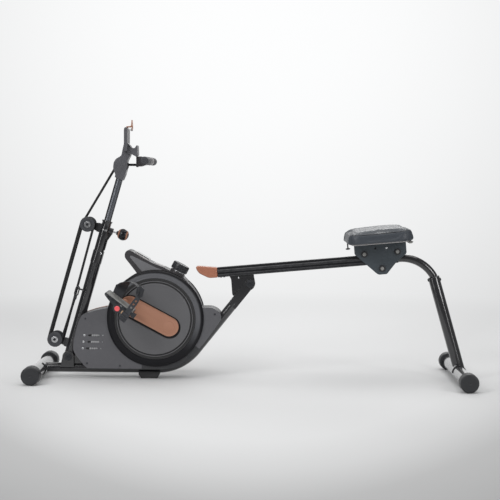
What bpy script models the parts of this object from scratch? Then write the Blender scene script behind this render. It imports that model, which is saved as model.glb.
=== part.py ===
"""Magnetic rowing machine with pedals, in metres, +Z up, +X towards the seat, -Y the near side.

The origin is on the floor under the middle of the machine. Every sub-part is one closed object.
What moves together hangs on an empty that stands on its joint's axis.
"""

import math

import bmesh
import bpy
from mathutils import Matrix, Vector

# Overall sizes
LENGTH = 1.600
FRONT_WIDTH = 0.438
REAR_WIDTH = 0.572

# Gaps: two fixed pieces face to face, and a piece that turns or slides in another
SEAT_GAP = 0.0004
RUN_GAP = 0.0005

# Stabilisers and end caps
CAP_RADIUS = 0.033
CAP_LENGTH = 0.048
CAP_END = 0.006
STABILISER_RADIUS = 0.0235
STABILISER_WALL = 0.002
SADDLE_WALL = 0.003
SADDLE_HALF_WIDTH = 0.036

# Base tube: a straight keel, one bend, and a straight rise to the fold pivot
TUBE_RADIUS = 0.0175
TUBE_WALL = 0.002
TUBE_HEIGHT = 0.0345
TUBE_SIDES = 12
DRAIN_RADIUS = 0.0040
DRAIN_X = -0.4700
BEND_RADIUS = 0.180
RISE_ANGLE = math.radians(51.5)
FOLD_PIVOT = (0.0027, 0.3505)
FORK_DEPTH = 0.088
FORK_EAR_HALF_GAP = 0.0132
FORK_REACH = TUBE_RADIUS - 0.0008

# Small foot under the base tube
FOOT_MIDDLE = -0.3650
FOOT_HALF_LENGTH = 0.0385
FOOT_HALF_WIDTH = 0.0250
FOOT_EDGE = 0.0100
FOOT_TAPER = 0.0085

# Fold bracket, which hangs under the rail and turns in the fork
BRACKET_HALF_WIDTH = 0.0125
BRACKET_WALL = 0.003
FOLD_BOLT_RADIUS = 0.005
LOCK_HOLE = (-0.0580, -0.0300)
LOCK_HOLE_RADIUS = 0.0042

# Seat rail, in the rail's own frame at the fold pivot: t along the rail to the rear, h square to it
RAIL_SLOPE = math.radians(5.17)
RAIL_FRONT = -0.115
RAIL_REAR = 0.5446
RAIL_BOTTOM = 0.0325
RAIL_SHOULDER = 0.0600
RAIL_TOP = 0.0685
RAIL_HALF_WIDTH = 0.0200
RAIL_RIDGE_HALF_WIDTH = 0.0090
RAIL_GROOVE_DEPTH = 0.0025
NOSE_LENGTH = 0.077

# Rear leg
LEG_AXIS_H = 0.0475
LEG_TUBE_RADIUS = 0.0145
LEG_TUBE_WALL = 0.002
LEG_LEAN = math.radians(16.2)
LEG_FOOT_OFFSET = 0.0065
LEG_SPIGOT_RADIUS = 0.0105
LEG_SPIGOT_LENGTH = 0.060
LOWER_LEG_RADIUS = 0.021
LOWER_LEG_WALL = 0.002
LOWER_LEG_TOP = 0.381
LEG_INSERT = 0.060
LEG_MOUTH_GAP = 0.0016

# Seat and carriage
SEAT_CENTRE = 0.477
SEAT_LENGTH = 0.227
SEAT_WIDTH = 0.340
SEAT_THICKNESS = 0.040
SEAT_CROWN = 0.006
SEAT_BASE = RAIL_TOP + 0.0455
CARRIAGE_WALL = 0.003
CARRIAGE_GAP = 0.0010
ROLLER_RADIUS = 0.0130
ROLLER_WIDTH = 0.0125
ROLLER_SPACING = 0.1204
LOWER_ROLLER_RADIUS = 0.0155
ROLLER_BOLT_RADIUS = 0.0030
BOLT_CAP_RADIUS = 0.0115

# Mast, in the mast's own frame at its foot bolt: s up the mast, x square to it and towards the seat
MAST_FOOT = (-0.6625, 0.0768)
MAST_LEAN = math.radians(15.85)
POST_RADIUS = 0.0194
POST_WALL = 0.0015
POST_TOP = 0.4047
COLLAR_BOTTOM = 0.3587
COLLAR_STEP = 0.0013
COLLAR_RADIUS = POST_RADIUS + COLLAR_STEP
SLEEVE_RADIUS = POST_RADIUS - POST_WALL - SEAT_GAP
SLEEVE_FLANGE = 0.0013
SLEEVE_INSERT = 0.075
SLEEVE_TOP = 0.519
INNER_RADIUS = 0.0127
INNER_WALL = 0.0015
INNER_TOP = 0.6940
INNER_BOTTOM = 0.4000
FOOT_BOLT_RADIUS = 0.005
MAST_BRACKET_WALL = 0.004
MAST_BRACKET_GAP = 0.0011
POST_FOOT_GAP = 0.0020

# Rope pulleys and rope
ROPE_RADIUS = 0.0044
PULLEY_PITCH = 0.0237
PULLEY_RADIUS = 0.0270
PULLEY_WIDTH = 0.0120
PULLEY_Y = 0.0235
PULLEY_OFFSET = -0.0640
LOWER_PULLEY_S = 0.0479
UPPER_PULLEY_S = 0.4868
PULLEY_AXLE_RADIUS = 0.0045
PULLEY_FLANGE_RADIUS = 0.0085
HEAD_PULLEY = (-0.4785, 0.7674)
HEAD_PULLEY_PITCH = 0.0130
HEAD_PULLEY_RADIUS = 0.0160
HEAD_PULLEY_WIDTH = 0.0120
HOOK_CENTRE = (-0.0345, 0.2420)
HOOK_WIRE = 0.0025
HOOK_HALF_LENGTH = 0.0165
HOOK_HALF_WIDTH = 0.0062

# Lock knob
KNOB_S = 0.4853
KNOB_CENTRE_X = 0.0683
KNOB_RADIUS = 0.0215
KNOB_SHAFT_RADIUS = 0.0040
BOSS_RADIUS = 0.0115
BOSS_END = 0.0310

# Pull handle
BAR_CENTRE = (-0.3697, 0.7940)
BAR_RADIUS = 0.0120
BAR_HALF_LENGTH = 0.1660
GRIP_RADIUS = 0.0145
GRIP_LENGTH = 0.1260
GRIP_END = 0.0040
YOKE_HALF_WIDTH = 0.0200
YOKE_FACE = -0.4080

# Head housing and phone tray
SNOUT_X = -0.4440
PLATE_X = (-0.4150, -0.4085)
HEAD_HALF_WIDTH = 0.0230
TRAY_HALF_WIDTH = 0.0450
ARM_HALF_WIDTH = 0.0300
BACK_REAR = -0.4545
BACK_FRONT = -0.4445
HEAD_PIN_RADIUS = 0.0030
HEAD_SOCKET = 0.0800
CLIP_TOP = 0.9155

# Casing, cranks and drive
CRANK_CENTRE = (-0.3411, 0.2228)
CASE_HALF_WIDTH = 0.0450
CASE_WALL = 0.0030
RING_RADIUS = 0.1765
RING_FACE = 0.0610
RECESS_RADIUS = 0.1515
RECESS_FLOOR = 0.0475
DISC_RADIUS = 0.1420
DISC_FACE = 0.0650
DISC_THICKNESS = 0.0100
CRANK_LENGTH = 0.1250
CRANK_ANGLE = math.radians(152.0)
ARM_WIDTH = 0.0700
ARM_LONG_END = 0.1380
ARM_SHORT_END = 0.0940
ARM_THICKNESS = 0.0080
ARM_RECESS = 0.0035
CRANK_AXLE_RADIUS = 0.0085
CRANK_PULLEY_RADIUS = 0.0950
FLYWHEEL_CENTRE = (-0.5200, 0.1470)
FLYWHEEL_RADIUS = 0.0840
FLYWHEEL_PULLEY_RADIUS = 0.0130
FLYWHEEL_SHAFT_RADIUS = 0.0065
FLYWHEEL_NEAR = -0.0340
FLYWHEEL_FAR = -0.0090
BELT_NEAR = 0.0200
BELT_FAR = 0.0290
BELT_THICKNESS = 0.0025
CORE_HALF_THICKNESS = 0.0020
CORE_FRONT = -0.5560
CORE_REAR = -0.3400
MAGNET_PIN_RADIUS = 0.0040
MAGNET_PIVOT = (-0.4420, 0.2280)
MAGNET_GAP = 0.0040

# Pedals
SPINDLE_RADIUS = 0.0070
SPINDLE_BOSS_RADIUS = 0.0115
PEDAL_INNER = 0.1050
PEDAL_OUTER = 0.2050
PEDAL_TILT = math.radians(36.6)
STRAP_THICKNESS = 0.0025
STRAP_MIDDLE = 0.0400

# Console and tension knob
POD_HALF_WIDTH = 0.0400
KNOB_SEAT = (-0.2596, 0.3955)
KNOB_TILT = math.radians(28.0)
TENSION_RADIUS = 0.0315
TENSION_HEIGHT = 0.0265
TENSION_STEM_RADIUS = 0.0050
TENSION_STEM_END = 0.0150
CABLE_RADIUS = 0.0025
TENSION_COLLAR_RADIUS = 0.0285
TENSION_COLLAR_HEIGHT = 0.0110

FRONT_X = CAP_RADIUS - LENGTH / 2
REAR_X = LENGTH / 2 - CAP_RADIUS
SIDE_BAR = 0.2000
ROUND = 16


def clear_scene():
    for item in list(bpy.data.objects):
        bpy.data.objects.remove(item, do_unlink=True)


def finish(name, colour, roughness, metallic=0.0):
    found = bpy.data.materials.get(name)
    if found:
        return found
    made = bpy.data.materials.new(name)
    made.use_nodes = True
    shader = made.node_tree.nodes["Principled BSDF"]
    shader.inputs["Base Color"].default_value = (*colour, 1.0)
    shader.inputs["Roughness"].default_value = roughness
    shader.inputs["Metallic"].default_value = metallic
    return made


def gloss_black():
    return finish("gloss_black_paint", (0.012, 0.012, 0.014), 0.25)


def casing_grey():
    return finish("textured_casing_plastic", (0.045, 0.046, 0.05), 0.55)


def black_plastic():
    return finish("black_plastic", (0.02, 0.02, 0.022), 0.45)


def copper_plastic():
    return finish("copper_plastic", (0.45, 0.20, 0.11), 0.45)


def bright_steel():
    return finish("bright_steel", (0.62, 0.62, 0.64), 0.3, 1.0)


def rubber():
    return finish("black_rubber", (0.018, 0.018, 0.018), 0.8)


def aluminium_black():
    return finish("anodised_rail", (0.05, 0.05, 0.055), 0.35, 0.8)


def frame_at(name, point, turn=0.0, parent=None):
    """An empty on a joint's axis or a piece's own frame. turn is about +Y."""
    empty = bpy.data.objects.new(name, None)
    bpy.context.scene.collection.objects.link(empty)
    world = Matrix.Translation(Vector(point)) @ Matrix.Rotation(turn, 4, "Y")
    empty["world"] = [value for row in world for value in row]
    if parent:
        empty.parent = parent
        empty.matrix_local = world_of(parent).inverted() @ world
    else:
        empty.matrix_local = world
    return empty


def world_of(empty):
    values = list(empty["world"])
    return Matrix([values[row * 4:row * 4 + 4] for row in range(4)])


def closed(mesh):
    bmesh.ops.recalc_face_normals(mesh, faces=mesh.faces)
    return mesh


def prism(outline, low, high):
    """A plate with its outline in XZ and its faces at two Y values."""
    mesh = bmesh.new()
    near = [mesh.verts.new((x, low, z)) for x, z in outline]
    far = [mesh.verts.new((x, high, z)) for x, z in outline]
    mesh.faces.new(near)
    mesh.faces.new(list(reversed(far)))
    count = len(outline)
    for i in range(count):
        k = (i + 1) % count
        mesh.faces.new((near[i], far[i], far[k], near[k]))
    return closed(mesh)


def box(x0, x1, y0, y1, z0, z1):
    return prism([(x0, z0), (x1, z0), (x1, z1), (x0, z1)], y0, y1)


def turned(profile, sides=ROUND, ring=False, phase=0.5):
    """A solid turned about Z. The profile's points are (radius, height); ring closes it off the axis."""
    mesh = bmesh.new()
    rows = []
    for radius, height in profile:
        if radius == 0.0:
            rows.append([mesh.verts.new((0.0, 0.0, height))])
            continue
        row = []
        for i in range(sides):
            turn = 2 * math.pi * (i + phase) / sides
            row.append(mesh.verts.new((radius * math.cos(turn), radius * math.sin(turn), height)))
        rows.append(row)
    pairs = list(zip(rows, rows[1:]))
    if ring:
        pairs.append((rows[-1], rows[0]))
    for lower, upper in pairs:
        for i in range(sides):
            k = (i + 1) % sides
            corners = [lower[i % len(lower)], lower[k % len(lower)]]
            corners += [upper[k % len(upper)], upper[i % len(upper)]]
            corners = [v for n, v in enumerate(corners) if v not in corners[:n]]
            if len(corners) > 2:
                mesh.faces.new(corners)
    return closed(mesh)


def rod(radius, length, sides=ROUND):
    return turned([(0.0, 0.0), (radius, 0.0), (radius, length), (0.0, length)], sides)


def pipe(radius, wall, low, high, sides=ROUND):
    profile = [(radius, low), (radius, high), (radius - wall, high), (radius - wall, low)]
    return turned(profile, sides, ring=True)


def moved(mesh, matrix):
    bmesh.ops.transform(mesh, matrix=matrix, verts=mesh.verts)
    if matrix.determinant() < 0:
        bmesh.ops.reverse_faces(mesh, faces=mesh.faces)
    return mesh


def along_y(mesh, point, start):
    """Turns a Z solid to run along +Y from start, with its axis through an XZ point."""
    turn = Matrix.Rotation(-math.pi / 2, 4, "X")
    return moved(mesh, Matrix.Translation((point[0], start, point[1])) @ turn)


def along_x(mesh, start, y, z):
    turn = Matrix.Rotation(math.pi / 2, 4, "Y")
    return moved(mesh, Matrix.Translation((start, y, z)) @ turn)


def mirrored(mesh):
    return moved(mesh, Matrix.Scale(-1, 4, (0, 1, 0)))


def arc(centre, radius, start, end, steps):
    """Points on an arc in XZ, with angles from +X towards +Z."""
    points = []
    for i in range(steps + 1):
        turn = start + (end - start) * i / steps
        points.append((centre[0] + radius * math.cos(turn), centre[1] + radius * math.sin(turn)))
    return points


def stadium(half_length, radius, steps=8):
    right = arc((half_length, 0.0), radius, -math.pi / 2, math.pi / 2, steps)
    left = arc((-half_length, 0.0), radius, math.pi / 2, 3 * math.pi / 2, steps)
    return right + left


def swept(points, radius, wall=0.0, sides=16):
    """A round bar or pipe along points that lie in an XZ plane."""
    path = [Vector((x, 0.0, z)) for x, z in points]
    mesh = bmesh.new()
    outer, inner = [], []
    for i, point in enumerate(path):
        back = (point - path[i - 1]).normalized() if i else None
        ahead = (path[i + 1] - point).normalized() if i + 1 < len(path) else None
        tangent = ((back or ahead) + (ahead or back)).normalized()
        stretch = 1.0 / max(0.5, tangent.dot(ahead or back))
        side = Vector((-tangent.z, 0.0, tangent.x)) * stretch
        for rows, size in ((outer, radius), (inner, radius - wall)):
            row = []
            for k in range(sides):
                turn = 2 * math.pi * (k + 0.5) / sides
                offset = side * (size * math.cos(turn)) + Vector((0.0, size * math.sin(turn), 0.0))
                row.append(mesh.verts.new(point + offset))
            rows.append(row)
    skins = [outer, inner] if wall else [outer]
    for rows in skins:
        for lower, upper in zip(rows, rows[1:]):
            for k in range(sides):
                n = (k + 1) % sides
                mesh.faces.new((lower[k], lower[n], upper[n], upper[k]))
    for end in (0, -1):
        if wall:
            for k in range(sides):
                n = (k + 1) % sides
                mesh.faces.new((outer[end][k], outer[end][n], inner[end][n], inner[end][k]))
        else:
            mesh.faces.new(outer[end])
    if not wall:
        for row in inner:
            bmesh.ops.delete(mesh, geom=row, context="VERTS")
    return closed(mesh)


def bolt_profile(radius, half, washer, head, cap):
    """A bolt through two cheeks: shank, a washer and a head on the near side, a nut on the far side."""
    seat = -half - washer[1]
    return [
        (0.0, seat - cap), (head, seat - cap), (head, seat), (washer[0], seat), (washer[0], -half),
        (radius, -half), (radius, half), (head, half), (head, half + cap), (0.0, half + cap),
    ]


def add(name, mesh, material, frame=None):
    """One sub-part. Its mesh is in the frame's own axes, or in the world's where no frame is given."""
    data = bpy.data.meshes.new(name)
    mesh.to_mesh(data)
    mesh.free()
    data.materials.append(material)
    data.shade_smooth()
    data.set_sharp_from_angle(angle=math.radians(35))
    item = bpy.data.objects.new(name, data)
    bpy.context.scene.collection.objects.link(item)
    if frame:
        item.parent = frame
    return item


def helper(item, mesh, operation):
    """A hidden cutter or an added body, worked into the item with an exact Boolean."""
    count = len(item.modifiers)
    tool = add(f"{item.name}_{operation.lower()}_{count}", mesh, item.data.materials[0])
    tool.parent = item.parent
    tool.matrix_local = item.matrix_local
    tool.hide_render = True
    tool.display_type = "WIRE"
    step = item.modifiers.new(f"{operation.lower()}_{count}", "BOOLEAN")
    step.operation = operation
    step.solver = "EXACT"
    step.object = tool


def carve(item, *meshes):
    for mesh in meshes:
        helper(item, mesh, "DIFFERENCE")


def weld(item, *meshes):
    for mesh in meshes:
        helper(item, mesh, "UNION")


def to_frame(mesh, frame):
    """Takes a mesh from world axes to a frame's own axes."""
    return moved(mesh, world_of(frame).inverted())


def rope(name, points, frame):
    """An elastic rope as a poly curve with filled ends, its points in world axes."""
    curve = bpy.data.curves.new(name, "CURVE")
    curve.dimensions = "3D"
    curve.bevel_depth = ROPE_RADIUS
    curve.bevel_resolution = 2
    curve.use_fill_caps = True
    spline = curve.splines.new("POLY")
    spline.points.add(len(points) - 1)
    back = world_of(frame).inverted() if frame else Matrix.Identity(4)
    for knot, point in zip(spline.points, points):
        knot.co = (*(back @ Vector(point)), 1.0)
    curve.materials.append(rubber())
    item = bpy.data.objects.new(name, curve)
    bpy.context.scene.collection.objects.link(item)
    if frame:
        item.parent = frame
    return item


def mast_point(x, s, y=0.0):
    """A point of the mast's own frame in world axes."""
    return Vector((
        MAST_FOOT[0] + x * math.cos(MAST_LEAN) + s * math.sin(MAST_LEAN),
        y,
        MAST_FOOT[1] - x * math.sin(MAST_LEAN) + s * math.cos(MAST_LEAN),
    ))


def crank_point(distance, angle=CRANK_ANGLE):
    return (CRANK_CENTRE[0] + distance * math.cos(angle), CRANK_CENTRE[1] + distance * math.sin(angle))


def base_path(overrun=0.0):
    """The base tube's centreline, from the front stabiliser's saddle to the fold pivot."""
    along = Vector((math.cos(RISE_ANGLE), math.sin(RISE_ANGLE)))
    run = (FOLD_PIVOT[1] - TUBE_HEIGHT) / math.sin(RISE_ANGLE)
    corner = Vector(FOLD_PIVOT) - along * run
    reach = BEND_RADIUS * math.tan(RISE_ANGLE / 2)
    start = FRONT_X + STABILISER_RADIUS / 3
    bend_centre = (corner.x - reach, TUBE_HEIGHT + BEND_RADIUS)
    bend = arc(bend_centre, BEND_RADIUS, -math.pi / 2, -math.pi / 2 + RISE_ANGLE, 8)
    end = Vector(FOLD_PIVOT) + along * overrun
    return [(start, TUBE_HEIGHT)] + bend + [tuple(end)]


def end_cap(name, x, width, side, frame=None):
    """A ribbed-edge plastic cap that closes a stabiliser and stands on the floor."""
    bore = STABILISER_RADIUS + SEAT_GAP
    edge = 0.005
    profile = [
        (bore, 0.0), (CAP_RADIUS - edge / 2, 0.0), (CAP_RADIUS, edge / 2), (CAP_RADIUS, CAP_LENGTH - edge),
        (CAP_RADIUS - edge * 0.3, CAP_LENGTH - edge * 0.3),
        (CAP_RADIUS - edge, CAP_LENGTH), (0.0, CAP_LENGTH),
        (0.0, CAP_LENGTH - CAP_END), (bore, CAP_LENGTH - CAP_END),
    ]
    mesh = turned(profile, ROUND, ring=True, phase=0.0)
    mesh = along_y(mesh, (x, CAP_RADIUS), width / 2 - CAP_LENGTH)
    if side < 0:
        mesh = mirrored(mesh)
    if frame:
        mesh = to_frame(mesh, frame)
    return add(name, mesh, black_plastic(), frame)


def stabiliser(name, x, width, frame=None):
    half = width / 2 - CAP_END - SEAT_GAP
    inner = STABILISER_RADIUS - STABILISER_WALL
    profile = [(STABILISER_RADIUS, -half), (STABILISER_RADIUS, half), (inner, half), (inner, -half)]
    mesh = along_y(turned(profile, ROUND, ring=True, phase=0.0), (x, CAP_RADIUS), 0.0)
    if frame:
        mesh = to_frame(mesh, frame)
    return add(name, mesh, gloss_black(), frame)


def saddle_plate(x, start, end):
    """A plate rolled round a stabiliser, from one angle to another."""
    centre = (x, CAP_RADIUS)
    inner = STABILISER_RADIUS + SEAT_GAP
    outer = inner + SADDLE_WALL
    outline = arc(centre, outer, start, end, 10) + arc(centre, inner, end, start, 10)
    return prism(outline, -SADDLE_HALF_WIDTH, SADDLE_HALF_WIDTH)


def make_front_base():
    stabiliser("front_stabiliser", FRONT_X, FRONT_WIDTH)
    end_cap("front_cap_near", FRONT_X, FRONT_WIDTH, -1)
    end_cap("front_cap_far", FRONT_X, FRONT_WIDTH, 1)

    rise = Vector((math.cos(RISE_ANGLE), math.sin(RISE_ANGLE)))
    side = Vector((-rise.y, rise.x)) * FORK_REACH
    tube = swept(base_path(-FORK_DEPTH - 0.004), TUBE_RADIUS, TUBE_WALL, TUBE_SIDES)
    base = add("base_tube", tube, gloss_black())
    fish_mouth = STABILISER_RADIUS + SEAT_GAP + SADDLE_WALL / 2
    carve(base, along_y(rod(fish_mouth, SIDE_BAR, 24), (FRONT_X, CAP_RADIUS), -SIDE_BAR / 2))
    weld(base, saddle_plate(FRONT_X, math.radians(-62), math.radians(62)))
    foot_x, foot_z = MAST_FOOT
    slot_half = POST_RADIUS + MAST_BRACKET_GAP
    half = slot_half + MAST_BRACKET_WALL
    crown = arc(MAST_FOOT, 0.021, 0.0, math.pi, 8)
    cheeks = [(foot_x - 0.030, TUBE_HEIGHT), (foot_x + 0.021, TUBE_HEIGHT)] + crown
    weld(base, prism(cheeks, -half, half))
    slot_floor = TUBE_HEIGHT + TUBE_RADIUS + MAST_BRACKET_GAP
    carve(base, box(foot_x - 0.050, foot_x + 0.050, -slot_half, slot_half, slot_floor, foot_z + 0.050))
    carve(base, along_y(rod(FOOT_BOLT_RADIUS + SEAT_GAP, SIDE_BAR, 12), MAST_FOOT, -SIDE_BAR / 2))

    ear_end = Vector(FOLD_PIVOT) - rise * (FORK_DEPTH + 0.020)
    eye = arc(FOLD_PIVOT, FORK_REACH, RISE_ANGLE - math.pi / 2, RISE_ANGLE + math.pi / 2, 8)
    weld(base, prism([tuple(ear_end - side)] + eye + [tuple(ear_end + side)], -FORK_REACH, FORK_REACH))
    slot_end = Vector(FOLD_PIVOT) - rise * FORK_DEPTH
    beyond = slot_end + rise * (FORK_DEPTH + 0.040)
    slot = [slot_end - side * 2, beyond - side * 2, beyond + side * 2, slot_end + side * 2]
    carve(base, prism([tuple(p) for p in slot], -FORK_EAR_HALF_GAP, FORK_EAR_HALF_GAP))
    carve(base, along_y(rod(FOLD_BOLT_RADIUS + SEAT_GAP, SIDE_BAR, 16), FOLD_PIVOT, -SIDE_BAR / 2))
    drain = rod(DRAIN_RADIUS, TUBE_HEIGHT, 8)
    carve(base, moved(drain, Matrix.Translation((DRAIN_X, 0.0, 0.0))))

    profile = bolt_profile(FOOT_BOLT_RADIUS, half + SEAT_GAP, (0.0150, 0.0020), 0.0095, 0.0060)
    add("mast_foot_bolt", along_y(turned(profile, 12), MAST_FOOT, 0.0), bright_steel())

    top = TUBE_HEIGHT - TUBE_RADIUS + 0.0075
    ends = (FOOT_MIDDLE - FOOT_HALF_LENGTH, FOOT_MIDDLE + FOOT_HALF_LENGTH)
    edge = top - FOOT_EDGE
    outline = [
        (ends[0] + FOOT_TAPER, 0.0), (ends[1] - FOOT_TAPER, 0.0), (ends[1], edge), (ends[1], top),
        (ends[0], top), (ends[0], edge),
    ]
    foot = add("mid_foot", prism(outline, -FOOT_HALF_WIDTH, FOOT_HALF_WIDTH), rubber())
    cradle = rod(TUBE_RADIUS + SEAT_GAP, SIDE_BAR, TUBE_SIDES)
    carve(foot, along_x(cradle, FOOT_MIDDLE - SIDE_BAR / 2, 0.0, TUBE_HEIGHT))


def case_outline(inset=0.0):
    """The casing's side outline: a front part that straddles the mast, the drum, and the rear fairing."""
    radius = RING_RADIUS - 0.0030 - inset
    drum = arc(CRANK_CENTRE, radius, math.radians(167.0), math.radians(13.5), 16)
    fairing = [
        (-0.1450 - inset * 0.3, 0.2640 - inset), (-0.1240 - inset * 0.6, 0.2585 - inset * 0.9),
        (-0.1060 - inset, 0.2445 - inset * 0.3), (-0.1020 - inset, 0.2200),
    ]
    tube = [
        (-0.1254 - inset, 0.1844), (-0.1601 - inset * 0.7, 0.1370 + inset * 0.5), (-0.2000, 0.0900 + inset),
        (-0.2500, 0.0520 + inset), (-0.3050, 0.0378 + inset), (-0.5890, 0.0378 + inset),
    ]
    front = [
        (-0.6035 + inset * 0.7, 0.0508 + inset * 0.7), (-0.6196 + inset, 0.0716 + inset * 0.4),
        (-0.6361 + inset, 0.0949), (-0.6408 + inset, 0.1136), (-0.6390 + inset, 0.1367),
        (-0.6269 + inset, 0.1882), (-0.6160 + inset, 0.2190), (-0.6084 + inset, 0.2325 - inset * 0.4),
        (-0.5922 + inset * 0.5, 0.2395 - inset * 0.8), (-0.5672 + inset * 0.2, 0.2480 - inset),
        (-0.5140, 0.2600 - inset),
    ]
    return drum + fairing + tube + front


def knob_axis_rod(radius, low, high, sides=ROUND):
    """A solid on the tension knob's axis, measured from the knob's underside."""
    mesh = rod(radius, high - low, sides)
    place = Matrix.Translation((KNOB_SEAT[0], 0.0, KNOB_SEAT[1])) @ Matrix.Rotation(KNOB_TILT, 4, "Y")
    return moved(mesh, place @ Matrix.Translation((0.0, 0.0, low)))


def make_casing():
    """Two shells that meet at the middle, each with a raised drum ring and a recess for the crank disc."""
    for name, side in (("casing_near", -1), ("casing_far", 1)):
        body = prism(case_outline(), 0.0002, CASE_HALF_WIDTH)
        drum = along_y(rod(RING_RADIUS, RING_FACE - 0.0300, 36), CRANK_CENTRE, 0.0300)
        cavity = prism(case_outline(CASE_WALL), -0.0100, CASE_HALF_WIDTH - CASE_WALL)
        hole = CRANK_AXLE_RADIUS + 0.0015
        stepped = [(0.0, -0.0200), (hole, -0.0200), (hole, RECESS_FLOOR), (RECESS_RADIUS, RECESS_FLOOR)]
        recess = along_y(turned(stepped + [(RECESS_RADIUS, 0.0900), (0.0, 0.0900)], 36), CRANK_CENTRE, 0.0)
        meshes = [body, drum, cavity, recess]
        if side < 0:
            meshes = [mirrored(mesh) for mesh in meshes]
        shell = add(name, meshes[0], casing_grey())
        weld(shell, meshes[1])
        carve(shell, *meshes[2:])
        carve(shell, swept(base_path(-0.100), TUBE_RADIUS + SEAT_GAP, 0.0, TUBE_SIDES))
        mast = Matrix.Translation((MAST_FOOT[0], 0.0, MAST_FOOT[1])) @ Matrix.Rotation(MAST_LEAN, 4, "Y")
        channel = moved(rod(COLLAR_RADIUS, 0.3600), Matrix.Translation((0.0, 0.0, -0.0600)))
        carve(shell, moved(channel, mast))
        carve(shell, knob_axis_rod(0.0070, -0.0600, 0.0100, 12))


def make_core():
    cx, cz = CRANK_CENTRE
    mx, mz = MAGNET_PIVOT
    floor = TUBE_HEIGHT + TUBE_RADIUS * math.cos(math.pi / TUBE_SIDES) + SEAT_GAP
    outline = (
        [(CORE_FRONT, floor), (CORE_REAR, floor), (cx + 0.024, cz - 0.020)]
        + arc(CRANK_CENTRE, 0.0300, math.radians(-40), math.radians(100), 6)
        + [(mx + 0.012, mz + 0.014), (mx - 0.012, mz + 0.010), (-0.4600, 0.1900)]
        + arc(FLYWHEEL_CENTRE, 0.0240, math.radians(60), math.radians(200), 6)
    )
    core = add("core_plate", prism(outline, -CORE_HALF_THICKNESS, CORE_HALF_THICKNESS), gloss_black())
    weld(core, box(CORE_FRONT, CORE_REAR, -0.0120, 0.0120, floor, floor + 0.0030))
    for centre, bore, shell, low, high in (
        (CRANK_CENTRE, CRANK_AXLE_RADIUS + RUN_GAP, 0.0190, -0.0160, 0.0160),
        (FLYWHEEL_CENTRE, FLYWHEEL_SHAFT_RADIUS + RUN_GAP, 0.0130, -0.0070, 0.0130),
    ):
        carve(core, along_y(rod((bore + shell) / 2, 0.1000), centre, -0.0500))
        ring = [(bore, low), (shell, low), (shell, high), (bore, high)]
        weld(core, along_y(turned(ring, ring=True), centre, 0.0))
    weld(core, along_y(rod(MAGNET_PIN_RADIUS, 0.0300, 12), MAGNET_PIVOT, -0.0310))


def make_drive(crank):
    half = DISC_FACE + ARM_THICKNESS - ARM_RECESS - 0.0035
    axle = along_y(rod(CRANK_AXLE_RADIUS, 2 * half), (0.0, 0.0), -half)
    add("crank_axle", axle, bright_steel(), crank)
    hub = 0.0160
    bore = CRANK_AXLE_RADIUS + SEAT_GAP
    mid = (BELT_NEAR + BELT_FAR) / 2
    rim = CRANK_PULLEY_RADIUS
    profile = [
        (bore, BELT_NEAR - 0.0015), (hub, BELT_NEAR - 0.0015), (hub, mid - 0.0030),
        (rim - 0.008, mid - 0.0030),
        (rim - 0.008, BELT_NEAR), (rim, BELT_NEAR), (rim, BELT_FAR), (bore, BELT_FAR),
    ]
    add("crank_pulley", along_y(turned(profile, 32, ring=True), (0.0, 0.0), 0.0), black_plastic(), crank)

    flywheel = frame_at("flywheel_axis", (FLYWHEEL_CENTRE[0], 0.0, FLYWHEEL_CENTRE[1]))
    shaft = FLYWHEEL_SHAFT_RADIUS
    small = FLYWHEEL_PULLEY_RADIUS
    dish = 0.0060
    profile = [
        (0.0, FLYWHEEL_NEAR + dish), (0.060, FLYWHEEL_NEAR + dish), (0.064, FLYWHEEL_NEAR),
        (FLYWHEEL_RADIUS, FLYWHEEL_NEAR), (FLYWHEEL_RADIUS, FLYWHEEL_FAR), (0.064, FLYWHEEL_FAR),
        (0.060, FLYWHEEL_FAR - dish), (shaft, FLYWHEEL_FAR - dish), (shaft, BELT_NEAR - 0.0020),
        (small, BELT_NEAR - 0.0020), (small, BELT_FAR + 0.0010), (0.0, BELT_FAR + 0.0010),
    ]
    wheel = along_y(turned(profile, 28), (0.0, 0.0), 0.0)
    add("flywheel", wheel, finish("cast_iron", (0.22, 0.22, 0.23), 0.5, 1.0), flywheel)
    make_belt()
    make_magnet()


def belt_loop(growth):
    """The belt's outline round both pulleys, grown from their surfaces."""
    big = Vector(CRANK_CENTRE)
    small = Vector(FLYWHEEL_CENTRE)
    gap = big - small
    big_radius = CRANK_PULLEY_RADIUS + growth
    small_radius = FLYWHEEL_PULLEY_RADIUS + growth
    heading = math.atan2(gap.y, gap.x)
    lean = math.acos((small_radius - big_radius) / gap.length)
    around_big = arc(big, big_radius, heading - lean, heading + lean, 20)
    around_small = arc(small, small_radius, heading + lean, heading - lean + 2 * math.pi, 6)
    return around_big + around_small


def make_belt():
    gap = 0.0006
    belt = prism(belt_loop(gap + BELT_THICKNESS), BELT_NEAR + 0.0010, BELT_FAR - 0.0010)
    belt = add("drive_belt", belt, rubber())
    carve(belt, prism(belt_loop(gap), BELT_NEAR - 0.0100, BELT_FAR + 0.0100))


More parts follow.
